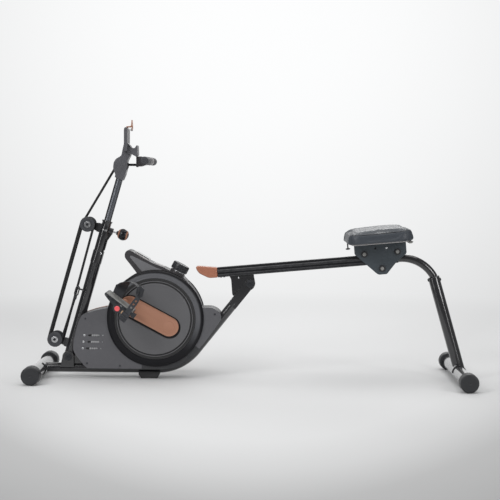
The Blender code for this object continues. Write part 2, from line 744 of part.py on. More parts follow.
def make_magnet():
    """A bracket that swings towards the flywheel's rim and carries the brake magnets."""
    pivot = frame_at("magnet_axis", (MAGNET_PIVOT[0], 0.0, MAGNET_PIVOT[1]))
    inner = FLYWHEEL_RADIUS + MAGNET_GAP
    outer = inner + 0.0060
    lean = math.atan2(MAGNET_PIVOT[1] - FLYWHEEL_CENTRE[1], MAGNET_PIVOT[0] - FLYWHEEL_CENTRE[0])
    end = math.radians(118.0)
    rim = arc(FLYWHEEL_CENTRE, outer, end, lean + 0.16, 7)
    eye = arc(MAGNET_PIVOT, 0.0095, lean + math.pi * 0.6, lean - math.pi * 0.6, 8)
    shoe = arc(FLYWHEEL_CENTRE, inner, lean - 0.06, end, 8)
    plate = to_frame(prism(rim + eye + shoe, -0.0300, -0.0130), pivot)
    bracket = add("magnet_bracket", plate, bright_steel(), pivot)
    carve(bracket, along_y(rod(MAGNET_PIN_RADIUS + RUN_GAP, SIDE_BAR, 12), (0.0, 0.0), -SIDE_BAR / 2))


def cable_path():
    """The tension cable, from under the knob to the magnet bracket's free end."""
    down = Vector((math.sin(KNOB_TILT), math.cos(KNOB_TILT)))
    top = Vector(KNOB_SEAT) - down * (TENSION_STEM_END + SEAT_GAP)
    return [
        (top.x, 0.0, top.y), (top.x - 0.012, -0.001, top.y - 0.022), (-0.300, -0.006, 0.336),
        (-0.350, -0.014, 0.320), (-0.410, -0.020, 0.300), (-0.462, -0.022, 0.273), (-0.505, -0.022, 0.2510),
        (-0.543, -0.022, 0.2457), (-0.5583, -0.022, 0.2359),
    ]


def make_console():
    bottom = RING_RADIUS + SEAT_GAP
    underside = arc(CRANK_CENTRE, bottom, math.radians(48.9), math.radians(112.4), 12)
    top = [
        (-0.4263, 0.4099), (-0.4480, 0.4370), (-0.4532, 0.4480), (-0.4528, 0.4575), (-0.4470, 0.4670),
        (-0.4380, 0.4705), (-0.4240, 0.4650), (-0.3834, 0.4397), (-0.3450, 0.4215), (-0.3088, 0.4078),
    ]
    slope = Vector((math.cos(KNOB_TILT), -math.sin(KNOB_TILT)))
    normal = Vector((math.sin(KNOB_TILT), math.cos(KNOB_TILT)))
    seat = Vector(KNOB_SEAT) - normal * (RUN_GAP + TENSION_COLLAR_HEIGHT)
    tail = [tuple(seat + slope * (TENSION_COLLAR_RADIUS + 0.0005)), (-0.2290, 0.3608)]
    pod = add("console_pod", prism(underside + top + tail, -POD_HALF_WIDTH, POD_HALF_WIDTH), casing_grey())
    hollow = arc(CRANK_CENTRE, RING_RADIUS - 0.0200, math.radians(58), math.radians(110), 8) + [
        (-0.4200, 0.4080), (-0.4460, 0.4420), (-0.4480, 0.4560), (-0.4400, 0.4650), (-0.3834, 0.4355),
        (-0.3105, 0.4035), (-0.2800, 0.3880),
    ]
    carve(pod, prism(hollow, -POD_HALF_WIDTH + 0.0030, POD_HALF_WIDTH - 0.0030))
    collar_foot = -RUN_GAP - TENSION_COLLAR_HEIGHT - 0.0030
    weld(pod, knob_axis_rod(TENSION_COLLAR_RADIUS, collar_foot, -RUN_GAP, 24))
    carve(pod, knob_axis_rod(TENSION_STEM_RADIUS + RUN_GAP, -0.0400, 0.0100, 12))

    key = (-0.3300, 0.4155)
    lean = math.atan2(0.4215 - 0.4078, 0.3450 - 0.3088)
    keypad = frame_at("button_axis", (key[0], 0.0, key[1]), lean)
    carve(pod, moved(box(-0.0140, 0.0140, -0.0120, 0.0120, -0.0120, 0.0200), world_of(keypad)))
    add("console_button", box(-0.0135, 0.0135, -0.0115, 0.0115, -0.0060, 0.0022), black_plastic(), keypad)

    tension = frame_at("tension_axis", (KNOB_SEAT[0], 0.0, KNOB_SEAT[1]), KNOB_TILT)
    lip = 0.0030
    profile = [
        (0.0, -TENSION_STEM_END), (TENSION_STEM_RADIUS, -TENSION_STEM_END), (TENSION_STEM_RADIUS, 0.0),
        (TENSION_RADIUS - 0.001, 0.0), (TENSION_RADIUS, 0.001), (TENSION_RADIUS, TENSION_HEIGHT - lip),
        (TENSION_RADIUS - lip, TENSION_HEIGHT), (0.0, TENSION_HEIGHT),
    ]
    add("tension_knob", turned(profile, 24), black_plastic(), tension)

    cable = rope("tension_cable", cable_path(), None)
    cable.data.bevel_depth = CABLE_RADIUS


def make_cranks():
    crank = frame_at("crank_axis", (CRANK_CENTRE[0], 0.0, CRANK_CENTRE[1]))
    make_drive(crank)
    face = DISC_FACE - ARM_RECESS
    outer = face + ARM_THICKNESS
    for side, word, angle in ((-1, "near", CRANK_ANGLE), (1, "far", CRANK_ANGLE + math.pi)):
        bore = CRANK_AXLE_RADIUS + SEAT_GAP
        back = DISC_FACE - DISC_THICKNESS
        hub = RECESS_FLOOR + 0.0020
        profile = [
            (bore, hub), (0.0260, hub), (0.0280, back), (DISC_RADIUS, back),
            (DISC_RADIUS, DISC_FACE - 0.0015), (DISC_RADIUS - 0.0015, DISC_FACE), (bore, DISC_FACE),
        ]
        disc = along_y(turned(profile, 36, ring=True), (0.0, 0.0), 0.0)
        middle = (ARM_LONG_END - ARM_SHORT_END) / 2
        reach = (ARM_LONG_END + ARM_SHORT_END - ARM_WIDTH) / 2
        place = Matrix.Rotation(-angle, 4, "Y") @ Matrix.Translation((middle, 0.0, 0.0))
        pocket = moved(prism(stadium(reach, ARM_WIDTH / 2 + 0.0010, 8), face - SEAT_GAP, 0.0900), place)
        arm = moved(prism(stadium(reach, ARM_WIDTH / 2, 8), face, outer), place)
        axle_hole = along_y(rod(bore, outer - 0.0030), (0.0, 0.0), 0.0)
        at = crank_point(CRANK_LENGTH, angle)
        local = (at[0] - CRANK_CENTRE[0], at[1] - CRANK_CENTRE[1])
        shoulder = PEDAL_INNER - 0.0010
        tip = PEDAL_OUTER - 0.0040
        spindle = [
            (0.0, face + 0.0030), (SPINDLE_BOSS_RADIUS, face + 0.0030), (SPINDLE_BOSS_RADIUS, shoulder),
            (SPINDLE_RADIUS, shoulder), (SPINDLE_RADIUS, tip), (0.0, tip),
        ]
        meshes = [disc, pocket, arm, axle_hole, along_y(turned(spindle), local, 0.0)]
        if side < 0:
            meshes = [mirrored(mesh) for mesh in meshes]
        plate = add(f"crank_disc_{word}", meshes[0], casing_grey(), crank)
        carve(plate, meshes[1])
        lever = add(f"crank_arm_{word}", meshes[2], copper_plastic(), crank)
        carve(lever, meshes[3])
        weld(lever, meshes[4])
        make_pedal(word, side, at, crank)


def pedal_outline():
    return [
        (-0.0685, 0.0125), (-0.0705, 0.0070), (-0.0660, 0.0010), (-0.0400, -0.0060), (-0.0200, -0.0100),
        (-0.0130, -0.0190), (-0.0030, -0.0230), (0.0080, -0.0215), (0.0300, -0.0160), (0.0460, -0.0060),
        (0.0510, 0.0040), (0.0490, 0.0125),
    ]


def strap_path():
    """The strap's centreline in the pedal's own frame: x, z, depth from the inner side, half width."""
    return [
        (0.0345, -0.0040, 1.000, 0.0100), (0.0345, 0.0180, 1.000, 0.0100), (0.0340, 0.0440, 1.000, 0.0105),
        (0.0325, 0.0640, 1.000, 0.0120), (0.0255, 0.0845, 0.930, 0.0150), (0.0060, 0.0925, 0.780, 0.0180),
        (-0.0200, 0.0885, 0.580, 0.0210), (-0.0370, 0.0710, 0.330, 0.0225), (-0.0400, 0.0510, 0.100, 0.0215),
        (-0.0390, 0.0330, 0.000, 0.0200), (-0.0365, 0.0200, 0.000, 0.0190), (-0.0330, 0.0010, 0.000, 0.0180),
    ]


def strap_mesh():
    """A flexible band: flat on the outer side, over the tread, and flat on the inner side."""
    inner = PEDAL_INNER - SEAT_GAP - STRAP_THICKNESS / 2
    outer = PEDAL_OUTER + SEAT_GAP + STRAP_THICKNESS / 2
    knots = strap_path()
    centres = [Vector((knot[0], inner + (outer - inner) * knot[2], knot[1])) for knot in knots]
    mesh = bmesh.new()
    rows = []
    count = len(knots)
    for i, centre in enumerate(centres):
        tangent = (centres[min(i + 1, count - 1)] - centres[max(i - 1, 0)]).normalized()
        share = i / (count - 1)
        radial = (centre - Vector((0.0, centre.y, STRAP_MIDDLE))).normalized()
        over = min(1.0, max(0.0, (share - 0.12) / 0.26)) * min(1.0, max(0.0, (0.79 - share) / 0.20))
        flat = Vector((0.0, 1.0 if share < 0.5 else -1.0, 0.0))
        normal = (radial * over + flat * (1 - over)).normalized()
        width = normal.cross(tangent).normalized()
        normal = tangent.cross(width).normalized()
        half = knots[i][3]
        lift = normal * (STRAP_THICKNESS / 2)
        rows.append([
            mesh.verts.new(centre - width * half - lift), mesh.verts.new(centre + width * half - lift),
            mesh.verts.new(centre + width * half + lift), mesh.verts.new(centre - width * half + lift),
        ])
    for lower, upper in zip(rows, rows[1:]):
        for k in range(4):
            n = (k + 1) % 4
            mesh.faces.new((lower[k], lower[n], upper[n], upper[k]))
    mesh.faces.new(rows[0])
    mesh.faces.new(rows[-1])
    return closed(mesh)


def make_pedal(word, side, at, crank):
    spin = frame_at(f"pedal_axis_{word}", (at[0], 0.0, at[1]), 0.0, crank)
    tilt = Matrix.Rotation(PEDAL_TILT, 4, "Y")
    body = moved(prism(pedal_outline(), PEDAL_INNER, PEDAL_OUTER), tilt)
    start = PEDAL_INNER - 0.0100
    bore = along_y(rod(SPINDLE_RADIUS + RUN_GAP, PEDAL_OUTER - 0.0030 - start, 20), (0.0, 0.0), start)
    slots = []
    for x in (-0.0400, 0.0180):
        slot = box(x, x + 0.0160, PEDAL_INNER + 0.0120, PEDAL_OUTER - 0.0120, 0.0040, 0.0400)
        slots.append(moved(slot, tilt))
    strap = moved(strap_mesh(), tilt)
    meshes = [body, bore, strap] + slots
    if side < 0:
        meshes = [mirrored(mesh) for mesh in meshes]
    body, bore, strap = meshes[:3]
    pedal = add(f"pedal_{word}", body, black_plastic(), spin)
    carve(pedal, bore, *meshes[3:])
    add(f"pedal_strap_{word}", strap, rubber(), spin)


def make_mast():
    mast = frame_at("mast_frame", (MAST_FOOT[0], 0.0, MAST_FOOT[1]), MAST_LEAN)
    bore = POST_RADIUS - POST_WALL
    room = MAST_FOOT[1] - TUBE_HEIGHT - TUBE_RADIUS - MAST_BRACKET_GAP - POST_FOOT_GAP
    low = (POST_RADIUS * math.sin(MAST_LEAN) - room) / math.cos(MAST_LEAN)
    profile = [
        (POST_RADIUS, low), (POST_RADIUS, COLLAR_BOTTOM - 0.0020), (COLLAR_RADIUS, COLLAR_BOTTOM),
        (COLLAR_RADIUS, POST_TOP), (bore, POST_TOP), (bore, low),
    ]
    post = add("mast_post", turned(profile, ROUND, ring=True), gloss_black(), mast)
    carve(post, along_y(rod(FOOT_BOLT_RADIUS + SEAT_GAP, SIDE_BAR, 12), (0.0, 0.0), -SIDE_BAR / 2))
    hook_x = HOOK_CENTRE[0] + HOOK_HALF_WIDTH
    tab = box(hook_x - 0.0055, -0.0090, -PULLEY_Y - 0.0052, -0.0120, 0.2490, 0.2545)
    weld(post, tab)
    hole = moved(rod(HOOK_WIRE + 0.0007, 0.0300, 12), Matrix.Translation((hook_x, -PULLEY_Y, 0.2400)))
    carve(post, hole)

    sleeve_bore = INNER_RADIUS + RUN_GAP
    profile = [
        (SLEEVE_RADIUS, POST_TOP - SLEEVE_INSERT), (SLEEVE_RADIUS, SLEEVE_TOP - 0.0070),
        (SLEEVE_RADIUS + SLEEVE_FLANGE, SLEEVE_TOP - 0.0060), (SLEEVE_RADIUS + SLEEVE_FLANGE, SLEEVE_TOP),
        (sleeve_bore, SLEEVE_TOP), (sleeve_bore, POST_TOP - SLEEVE_INSERT),
    ]
    sleeve = add("mast_sleeve", turned(profile, ROUND, ring=True), gloss_black(), mast)
    weld(sleeve, along_x(rod(BOSS_RADIUS, BOSS_END - 0.0150, 16), 0.0150, 0.0, KNOB_S))
    weld(sleeve, box(0.0270, 0.0290, -0.0070, 0.0070, 0.4360, KNOB_S - 0.0020))
    carve(sleeve, along_x(rod(KNOB_SHAFT_RADIUS + RUN_GAP, 0.0500, 16), 0.0080, 0.0, KNOB_S))

    lock = frame_at("lock_axis", mast_point(KNOB_CENTRE_X, KNOB_S), MAST_LEAN, mast)
    ball = [(0.0, -KNOB_RADIUS)]
    for i in range(1, 8):
        turn = math.pi * i / 8
        ball.append((KNOB_RADIUS * math.sin(turn), -KNOB_RADIUS * math.cos(turn)))
    ball.append((0.0, KNOB_RADIUS))
    knob = add("mast_lock_knob", along_x(turned(ball), 0.0, 0.0, 0.0), black_plastic(), lock)
    tip = INNER_RADIUS + 0.0015 - KNOB_CENTRE_X
    weld(knob, along_x(rod(KNOB_SHAFT_RADIUS, -tip - 0.0100, 16), tip, 0.0, 0.0))

    make_pulley_pair(mast, "lower", LOWER_PULLEY_S, POST_RADIUS)
    make_pulley_pair(mast, "upper", UPPER_PULLEY_S, SLEEVE_RADIUS)
    make_hook(mast)
    return mast


def make_pulley_pair(mast, word, s, carrier_radius):
    """A bracket seated on the mast's front, its axle, and a rope pulley on each side of it."""
    reach = abs(PULLEY_OFFSET)
    outline = [
        (-reach - 0.0080, s - 0.0075), (-0.0300, s - 0.0150), (-0.0240, s - 0.0150),
        (-0.0240, s + 0.0150), (-0.0300, s + 0.0150), (-reach - 0.0080, s + 0.0075),
    ]
    block = box(-0.0280, -0.0060, -0.0120, 0.0120, s - 0.0165, s + 0.0165)
    bracket = add(f"{word}_pulley_bracket", block, bright_steel(), mast)
    bore = carrier_radius + SEAT_GAP
    carve(bracket, moved(rod(bore, 0.2000), Matrix.Translation((0.0, 0.0, s - 0.1000))))
    weld(bracket, prism(outline, -0.0040, 0.0040))
    outer = PULLEY_Y + PULLEY_WIDTH / 2 + RUN_GAP
    inner = PULLEY_Y - PULLEY_WIDTH / 2 - RUN_GAP
    shank = PULLEY_AXLE_RADIUS
    flange = PULLEY_FLANGE_RADIUS
    end = outer + 0.0030
    axle = [
        (0.0, -end), (flange, -end), (flange, -outer), (shank, -outer), (shank, -inner), (flange, -inner),
        (flange, inner), (shank, inner), (shank, outer), (flange, outer), (flange, end), (0.0, end),
    ]
    weld(bracket, along_y(turned(axle, 12), (PULLEY_OFFSET, s), 0.0))
    for side, name in ((-1, "near"), (1, "far")):
        axis = frame_at(f"{word}_{name}_axis", mast_point(PULLEY_OFFSET, s), 0.0)
        pulley = sheave(PULLEY_PITCH, PULLEY_RADIUS, PULLEY_WIDTH, PULLEY_AXLE_RADIUS + RUN_GAP, 16)
        add(f"{word}_pulley_{name}", along_y(pulley, (0.0, 0.0), side * PULLEY_Y), black_plastic(), axis)


def sheave(pitch, radius, width, bore, sides):
    """A grooved wheel about Z, centred on its own middle."""
    half = width / 2
    floor = pitch - ROPE_RADIUS - 0.0004
    profile = [
        (bore, -half), (radius, -half), (radius, -half + 0.0007), (floor, -half + 0.0022),
        (floor, half - 0.0022), (radius, half - 0.0007), (radius, half), (bore, half),
    ]
    return turned(profile, sides, ring=True)


def make_hook(mast):
    """A closed wire ring that hangs the rope's end on the post's tab."""
    curve = bpy.data.curves.new("rope_hook", "CURVE")
    curve.dimensions = "3D"
    curve.bevel_depth = HOOK_WIRE
    curve.bevel_resolution = 2
    spline = curve.splines.new("POLY")
    cx, cs = HOOK_CENTRE
    straight = HOOK_HALF_LENGTH - HOOK_HALF_WIDTH
    loop = [(z, x) for x, z in stadium(straight, HOOK_HALF_WIDTH, 6)]
    spline.points.add(len(loop) - 1)
    for knot, (x, z) in zip(spline.points, loop):
        knot.co = (cx + x, -PULLEY_Y, cs + z, 1.0)
    spline.use_cyclic_u = True
    curve.materials.append(bright_steel())
    item = bpy.data.objects.new("rope_hook", curve)
    bpy.context.scene.collection.objects.link(item)
    item.parent = mast


def wrap(centre, radius, start, end, y_start, y_end, steps):
    """Points round a pulley in mast axes, angles from +x towards +s, with y changing evenly."""
    points = []
    for i in range(steps + 1):
        share = i / steps
        turn = start + (end - start) * share
        y = y_start + (y_end - y_start) * share
        points.append(mast_point(centre[0] + radius * math.cos(turn), centre[1] + radius * math.sin(turn), y))
    return points


def head_tangent():
    """Where the slanted strand leaves the far upper pulley and meets the head pulley, in mast axes."""
    centre = mast_local(HEAD_PULLEY)
    gap = Vector((centre[0] - PULLEY_OFFSET, centre[1] - UPPER_PULLEY_S))
    heading = math.atan2(gap.y, gap.x)
    return heading + math.acos((PULLEY_PITCH - HEAD_PULLEY_PITCH) / gap.length)


def mast_local(point):
    """A world XZ point in the mast's own frame."""
    x = point[0] - MAST_FOOT[0]
    z = point[1] - MAST_FOOT[1]
    return (
        x * math.cos(MAST_LEAN) - z * math.sin(MAST_LEAN),
        x * math.sin(MAST_LEAN) + z * math.cos(MAST_LEAN),
    )


def make_ropes(mast, head, handle):
    lower = (PULLEY_OFFSET, LOWER_PULLEY_S)
    upper = (PULLEY_OFFSET, UPPER_PULLEY_S)
    near, far = -PULLEY_Y, PULLEY_Y
    start_s = HOOK_CENTRE[1] - HOOK_HALF_LENGTH - HOOK_WIRE - SEAT_GAP
    start = mast_point(HOOK_CENTRE[0], start_s, near)
    gap = Vector((HOOK_CENTRE[0] - lower[0], start_s - lower[1]))
    first = math.atan2(gap.y, gap.x) - math.acos(PULLEY_PITCH / gap.length)
    tangent = head_tangent()
    points = [start]
    points += wrap(lower, PULLEY_PITCH, first, -math.pi, near, near, 9)
    points += wrap(upper, PULLEY_PITCH, math.pi, 0.0, near, near, 9)
    lead = PULLEY_RADIUS * 0.8
    points.append(mast_point(PULLEY_OFFSET + PULLEY_PITCH, UPPER_PULLEY_S - lead, near))
    points.append(mast_point(PULLEY_OFFSET + PULLEY_PITCH, LOWER_PULLEY_S + lead, far))
    points += wrap(lower, PULLEY_PITCH, 0.0, -math.pi, far, far, 9)
    points += wrap(upper, PULLEY_PITCH, math.pi, tangent, far, far, 3)
    centre = mast_local(HEAD_PULLEY)
    arrive = wrap(centre, HEAD_PULLEY_PITCH, tangent, math.pi / 2 + MAST_LEAN, 0.0, 0.0, 6)
    slant = mast_point(math.sin(tangent), -math.cos(tangent)) - mast_point(0.0, 0.0)
    points.append(points[-1] + slant * lead)
    rope("elastic_rope", points, mast)

    step = slant * (SEAT_GAP * 2)
    top = HEAD_PULLEY[1] + HEAD_PULLEY_PITCH
    snout = Vector((SNOUT_X, 0.0, top))
    run_in = arrive[0] - slant * HEAD_PULLEY_RADIUS
    rope("head_strand", [points[-1] + step, run_in] + arrive + [snout], head)
    ends = (Vector((SNOUT_X + SEAT_GAP, 0.0, top)), Vector((YOKE_FACE - SEAT_GAP, 0.0, top)))
    rope("pull_strand", ends, handle)


def make_head(mast):
    head = frame_at("head_axis", mast_point(0.0, INNER_BOTTOM), MAST_LEAN, mast)
    high = INNER_TOP - INNER_BOTTOM
    add("mast_inner_tube", pipe(INNER_RADIUS, INNER_WALL, 0.0, high), bright_steel(), head)

    column = [
        (-0.4900, 0.7350), (-0.4640, 0.7230), (-0.4545, 0.7424), (-0.4470, 0.7731), (-0.4470, 0.7899),
        (-0.4373, 0.8121), (-0.4340, 0.8205), (-0.4334, 0.8445), (-0.4440, 0.8580), (-0.4560, 0.8640),
        (-0.4604, 0.8509), (-0.4648, 0.8305), (-0.4673, 0.8138), (-0.4750, 0.8086), (-0.4850, 0.8030),
        (-0.4930, 0.7930), (-0.4970, 0.7800), (-0.4975, 0.7674), (-0.4945, 0.7560), (-0.4902, 0.7440),
    ]
    shell = add(
        "head_housing", to_frame(prism(column, -HEAD_HALF_WIDTH, HEAD_HALF_WIDTH), head), casing_grey(), head
    )
    back = [
        (BACK_REAR - 0.0030, 0.8300), (BACK_FRONT, 0.8300), (BACK_FRONT, 0.9060),
        (BACK_FRONT - 0.0025, 0.9130),
        (BACK_FRONT - 0.0060, 0.9155), (BACK_REAR + 0.0015, 0.9120), (BACK_REAR, 0.9060), (BACK_REAR, 0.8600),
    ]
    weld(shell, to_frame(prism(back, -TRAY_HALF_WIDTH, TRAY_HALF_WIDTH), head))
    tray = [
        (-0.4460, 0.8445), (-0.4340, 0.8440), (-0.4230, 0.8403), (-0.4180, 0.8420), (-0.4130, 0.8500),
        (-0.4105, 0.8510), (-0.4095, 0.8480), (-0.4085, 0.8150), (-0.4154, 0.8105), (-0.4322, 0.8198),
        (-0.4460, 0.8198),
    ]
    weld(shell, to_frame(prism(tray, -ARM_HALF_WIDTH, ARM_HALF_WIDTH), head))
    weld(shell, to_frame(box(PLATE_X[0], PLATE_X[1], -0.0160, 0.0160, 0.7720, 0.8300), head))
    top = HEAD_PULLEY[1] + HEAD_PULLEY_PITCH
    snout = [
        (-0.4560, 0.7600), (-0.4490, 0.7600), (SNOUT_X, 0.7720), (SNOUT_X, top + 0.0070),
        (-0.4560, top + 0.0070),
    ]
    weld(shell, to_frame(prism(snout, -0.0110, 0.0110), head))
    guide = along_x(rod(ROPE_RADIUS + 0.0016, 0.0900, 12), HEAD_PULLEY[0], 0.0, top)
    carve(shell, to_frame(guide, head))
    cavity = HEAD_PULLEY_RADIUS + 0.0016
    slant = math.radians(31.5)
    strand = Vector((math.sin(slant), math.cos(slant)))
    across = Vector((-strand.y, strand.x))
    inner_side = Vector(HEAD_PULLEY) + across * 0.0040
    outer_side = Vector(HEAD_PULLEY) + across * (HEAD_PULLEY_PITCH + ROPE_RADIUS + 0.0300)
    below = strand * 0.0600
    slot = [inner_side, inner_side - below, outer_side - below, outer_side + strand * 0.0040]
    half = HEAD_PULLEY_WIDTH / 2 + 0.0010
    carve(shell, to_frame(along_y(rod(cavity, 2 * half, 24), HEAD_PULLEY, -half), head))
    carve(shell, to_frame(prism([tuple(p) for p in slot], -half, half), head))
    socket = rod(INNER_RADIUS + SEAT_GAP, HEAD_SOCKET + SEAT_GAP, ROUND)
    carve(shell, moved(socket, Matrix.Translation((0.0, 0.0, high - HEAD_SOCKET))))
    pocket = box(BACK_REAR + 0.0025, BACK_REAR + 0.0075, -0.0085, 0.0085, 0.8700, 0.9400)
    carve(shell, to_frame(pocket, head))
    pin = along_y(rod(HEAD_PIN_RADIUS, 2 * half + 0.0100, 12), HEAD_PULLEY, -half - 0.0050)
    weld(shell, to_frame(pin, head))

    wheel = frame_at("head_pulley_axis", (HEAD_PULLEY[0], 0.0, HEAD_PULLEY[1]), 0.0, head)
    bore = HEAD_PIN_RADIUS + RUN_GAP
    disc = sheave(HEAD_PULLEY_PITCH, HEAD_PULLEY_RADIUS, HEAD_PULLEY_WIDTH, bore, 14)
    add("head_pulley", along_y(disc, (0.0, 0.0), 0.0), black_plastic(), wheel)
    make_clip(head)
    return head


def make_clip(head):
    """A sprung clip: a flat stem in the back plate, a bridge over the plate, and a finger over the phone."""
    clip = frame_at("clip_axis", (BACK_REAR + 0.0050, 0.0, CLIP_TOP), 0.0, head)
    half = 0.0022
    item = add("phone_clip", box(-half, half, -0.0080, 0.0080, -0.0430, 0.0030), copper_plastic(), clip)
    leaf = [
        (-half, 0.0009), (0.0170, 0.0009), (0.0180, -0.0090), (0.0200, -0.0090), (0.0205, 0.0030),
        (0.0185, 0.0280), (0.0165, 0.0280), (0.0155, 0.0050), (-half, 0.0045),
    ]
    weld(item, prism(leaf, -0.0120, 0.0120))


def make_handle():
    handle = frame_at("handle_axis", (BAR_CENTRE[0], 0.0, BAR_CENTRE[1]))
    end = BAR_HALF_LENGTH
    bar = add("pull_bar", along_y(rod(BAR_RADIUS, 2 * end, ROUND), (0.0, 0.0), -end), bright_steel(), handle)
    low = HEAD_PULLEY[1] + HEAD_PULLEY_PITCH - 0.0060
    bar_x, bar_z = BAR_CENTRE
    yoke = [
        (YOKE_FACE, low), (YOKE_FACE + 0.0110, low), (bar_x - 0.0080, bar_z - 0.0135),
        (bar_x + 0.0080, bar_z - 0.0135), (bar_x + 0.0145, bar_z), (bar_x + 0.0080, bar_z + 0.0135),
        (bar_x - 0.0080, bar_z + 0.0135), (YOKE_FACE + 0.0110, 0.8110), (YOKE_FACE, 0.8110),
    ]
    weld(bar, to_frame(prism(yoke, -YOKE_HALF_WIDTH, YOKE_HALF_WIDTH), handle))
    bore = BAR_RADIUS + SEAT_GAP
    inner = end - (GRIP_LENGTH - GRIP_END)
    floor = GRIP_LENGTH - GRIP_END + SEAT_GAP
    profile = [
        (bore, 0.0), (GRIP_RADIUS, 0.0), (GRIP_RADIUS, GRIP_LENGTH - 0.0050),
        (GRIP_RADIUS - 0.0020, GRIP_LENGTH - 0.0015), (GRIP_RADIUS - 0.0050, GRIP_LENGTH), (0.0, GRIP_LENGTH),
        (0.0, floor), (bore, floor),
    ]
    for side, word in ((-1, "near"), (1, "far")):
        grip = along_y(turned(profile, ROUND, ring=True), (0.0, 0.0), inner)
        if side < 0:
            grip = mirrored(grip)
        add(f"grip_{word}", grip, rubber(), handle)
    return handle


def rail_section():
    """Half of it is drawn and mirrored: a body with a side groove, roller shoulders, and a centre ridge."""
    low = RAIL_BOTTOM + 0.0110
    high = RAIL_BOTTOM + 0.0170
    deep = RAIL_HALF_WIDTH - RAIL_GROOVE_DEPTH
    right = [
        (RAIL_HALF_WIDTH, RAIL_BOTTOM), (RAIL_HALF_WIDTH, low), (deep, low + 0.0008), (deep, high - 0.0008),
        (RAIL_HALF_WIDTH, high), (RAIL_HALF_WIDTH, RAIL_SHOULDER), (RAIL_RIDGE_HALF_WIDTH, RAIL_SHOULDER),
        (RAIL_RIDGE_HALF_WIDTH, RAIL_TOP),
    ]
    left = [(-y, h) for y, h in reversed(right)]
    return right + left


def extruded_x(section, low, high):
    """A bar along X with its section in YZ."""
    mesh = bmesh.new()
    front = [mesh.verts.new((low, y, z)) for y, z in section]
    rear = [mesh.verts.new((high, y, z)) for y, z in section]
    mesh.faces.new(front)
    mesh.faces.new(list(reversed(rear)))
    for i in range(len(section)):
        k = (i + 1) % len(section)
        mesh.faces.new((front[i], rear[i], rear[k], front[k]))
    return closed(mesh)


def rail_point(t, h):
    """A point of the rail's own frame in world XZ."""
    return Vector((
        FOLD_PIVOT[0] + t * math.cos(RAIL_SLOPE) - h * math.sin(RAIL_SLOPE),
        FOLD_PIVOT[1] + t * math.sin(RAIL_SLOPE) + h * math.cos(RAIL_SLOPE),
    ))


def rail_world(t, h):
    point = rail_point(t, h)
    return Vector((point.x, 0.0, point.y))


def leg_line(z):
    """The rear leg's centreline at a height, in world X."""
    return REAR_X + LEG_FOOT_OFFSET - (z - CAP_RADIUS) * math.tan(LEG_LEAN)


def leg_bend(mouth_z):
    """The leg tube's arc from the rail's end to its mouth, and the angle that it still lacks there."""
    start = rail_point(RAIL_REAR + SEAT_GAP + 0.0040, LEG_AXIS_H)
    slope = math.tan(RAIL_SLOPE)
    lean = math.tan(LEG_LEAN)
    foot_x = REAR_X + LEG_FOOT_OFFSET
    corner_x = (foot_x + (CAP_RADIUS - start.y + slope * start.x) * lean) / (1 + slope * lean)
    corner = Vector((corner_x, start.y + slope * (corner_x - start.x)))
    mouth = Vector((leg_line(mouth_z), mouth_z))
    turn = math.pi / 2 - LEG_LEAN + RAIL_SLOPE
    drop = (mouth - corner).length
    ahead = drop * math.cos(turn) + (corner - start).length
    below = drop * math.sin(turn)
    radius = (ahead * ahead + below * below) / (2 * below)
    swing = math.atan2(ahead, radius - below)
    centre = start + Vector((math.sin(RAIL_SLOPE), -math.cos(RAIL_SLOPE))) * radius
    first = math.pi / 2 + RAIL_SLOPE
    return arc(centre, radius, first, first - swing, 9), turn - swing


def leg_path():
    """The curved leg tube in world XZ, and its end. It turns clear of the lower leg's mouth."""
    kink = leg_bend(LOWER_LEG_TOP)[1]
    rise = LEG_TUBE_RADIUS * math.tan(kink / 2) + LEG_MOUTH_GAP
    bend = leg_bend(LOWER_LEG_TOP + rise * math.cos(LEG_LEAN))[0]
    down = Vector((math.sin(LEG_LEAN), -math.cos(LEG_LEAN)))
    return bend, tuple(Vector(bend[-1]) + down * LEG_INSERT)


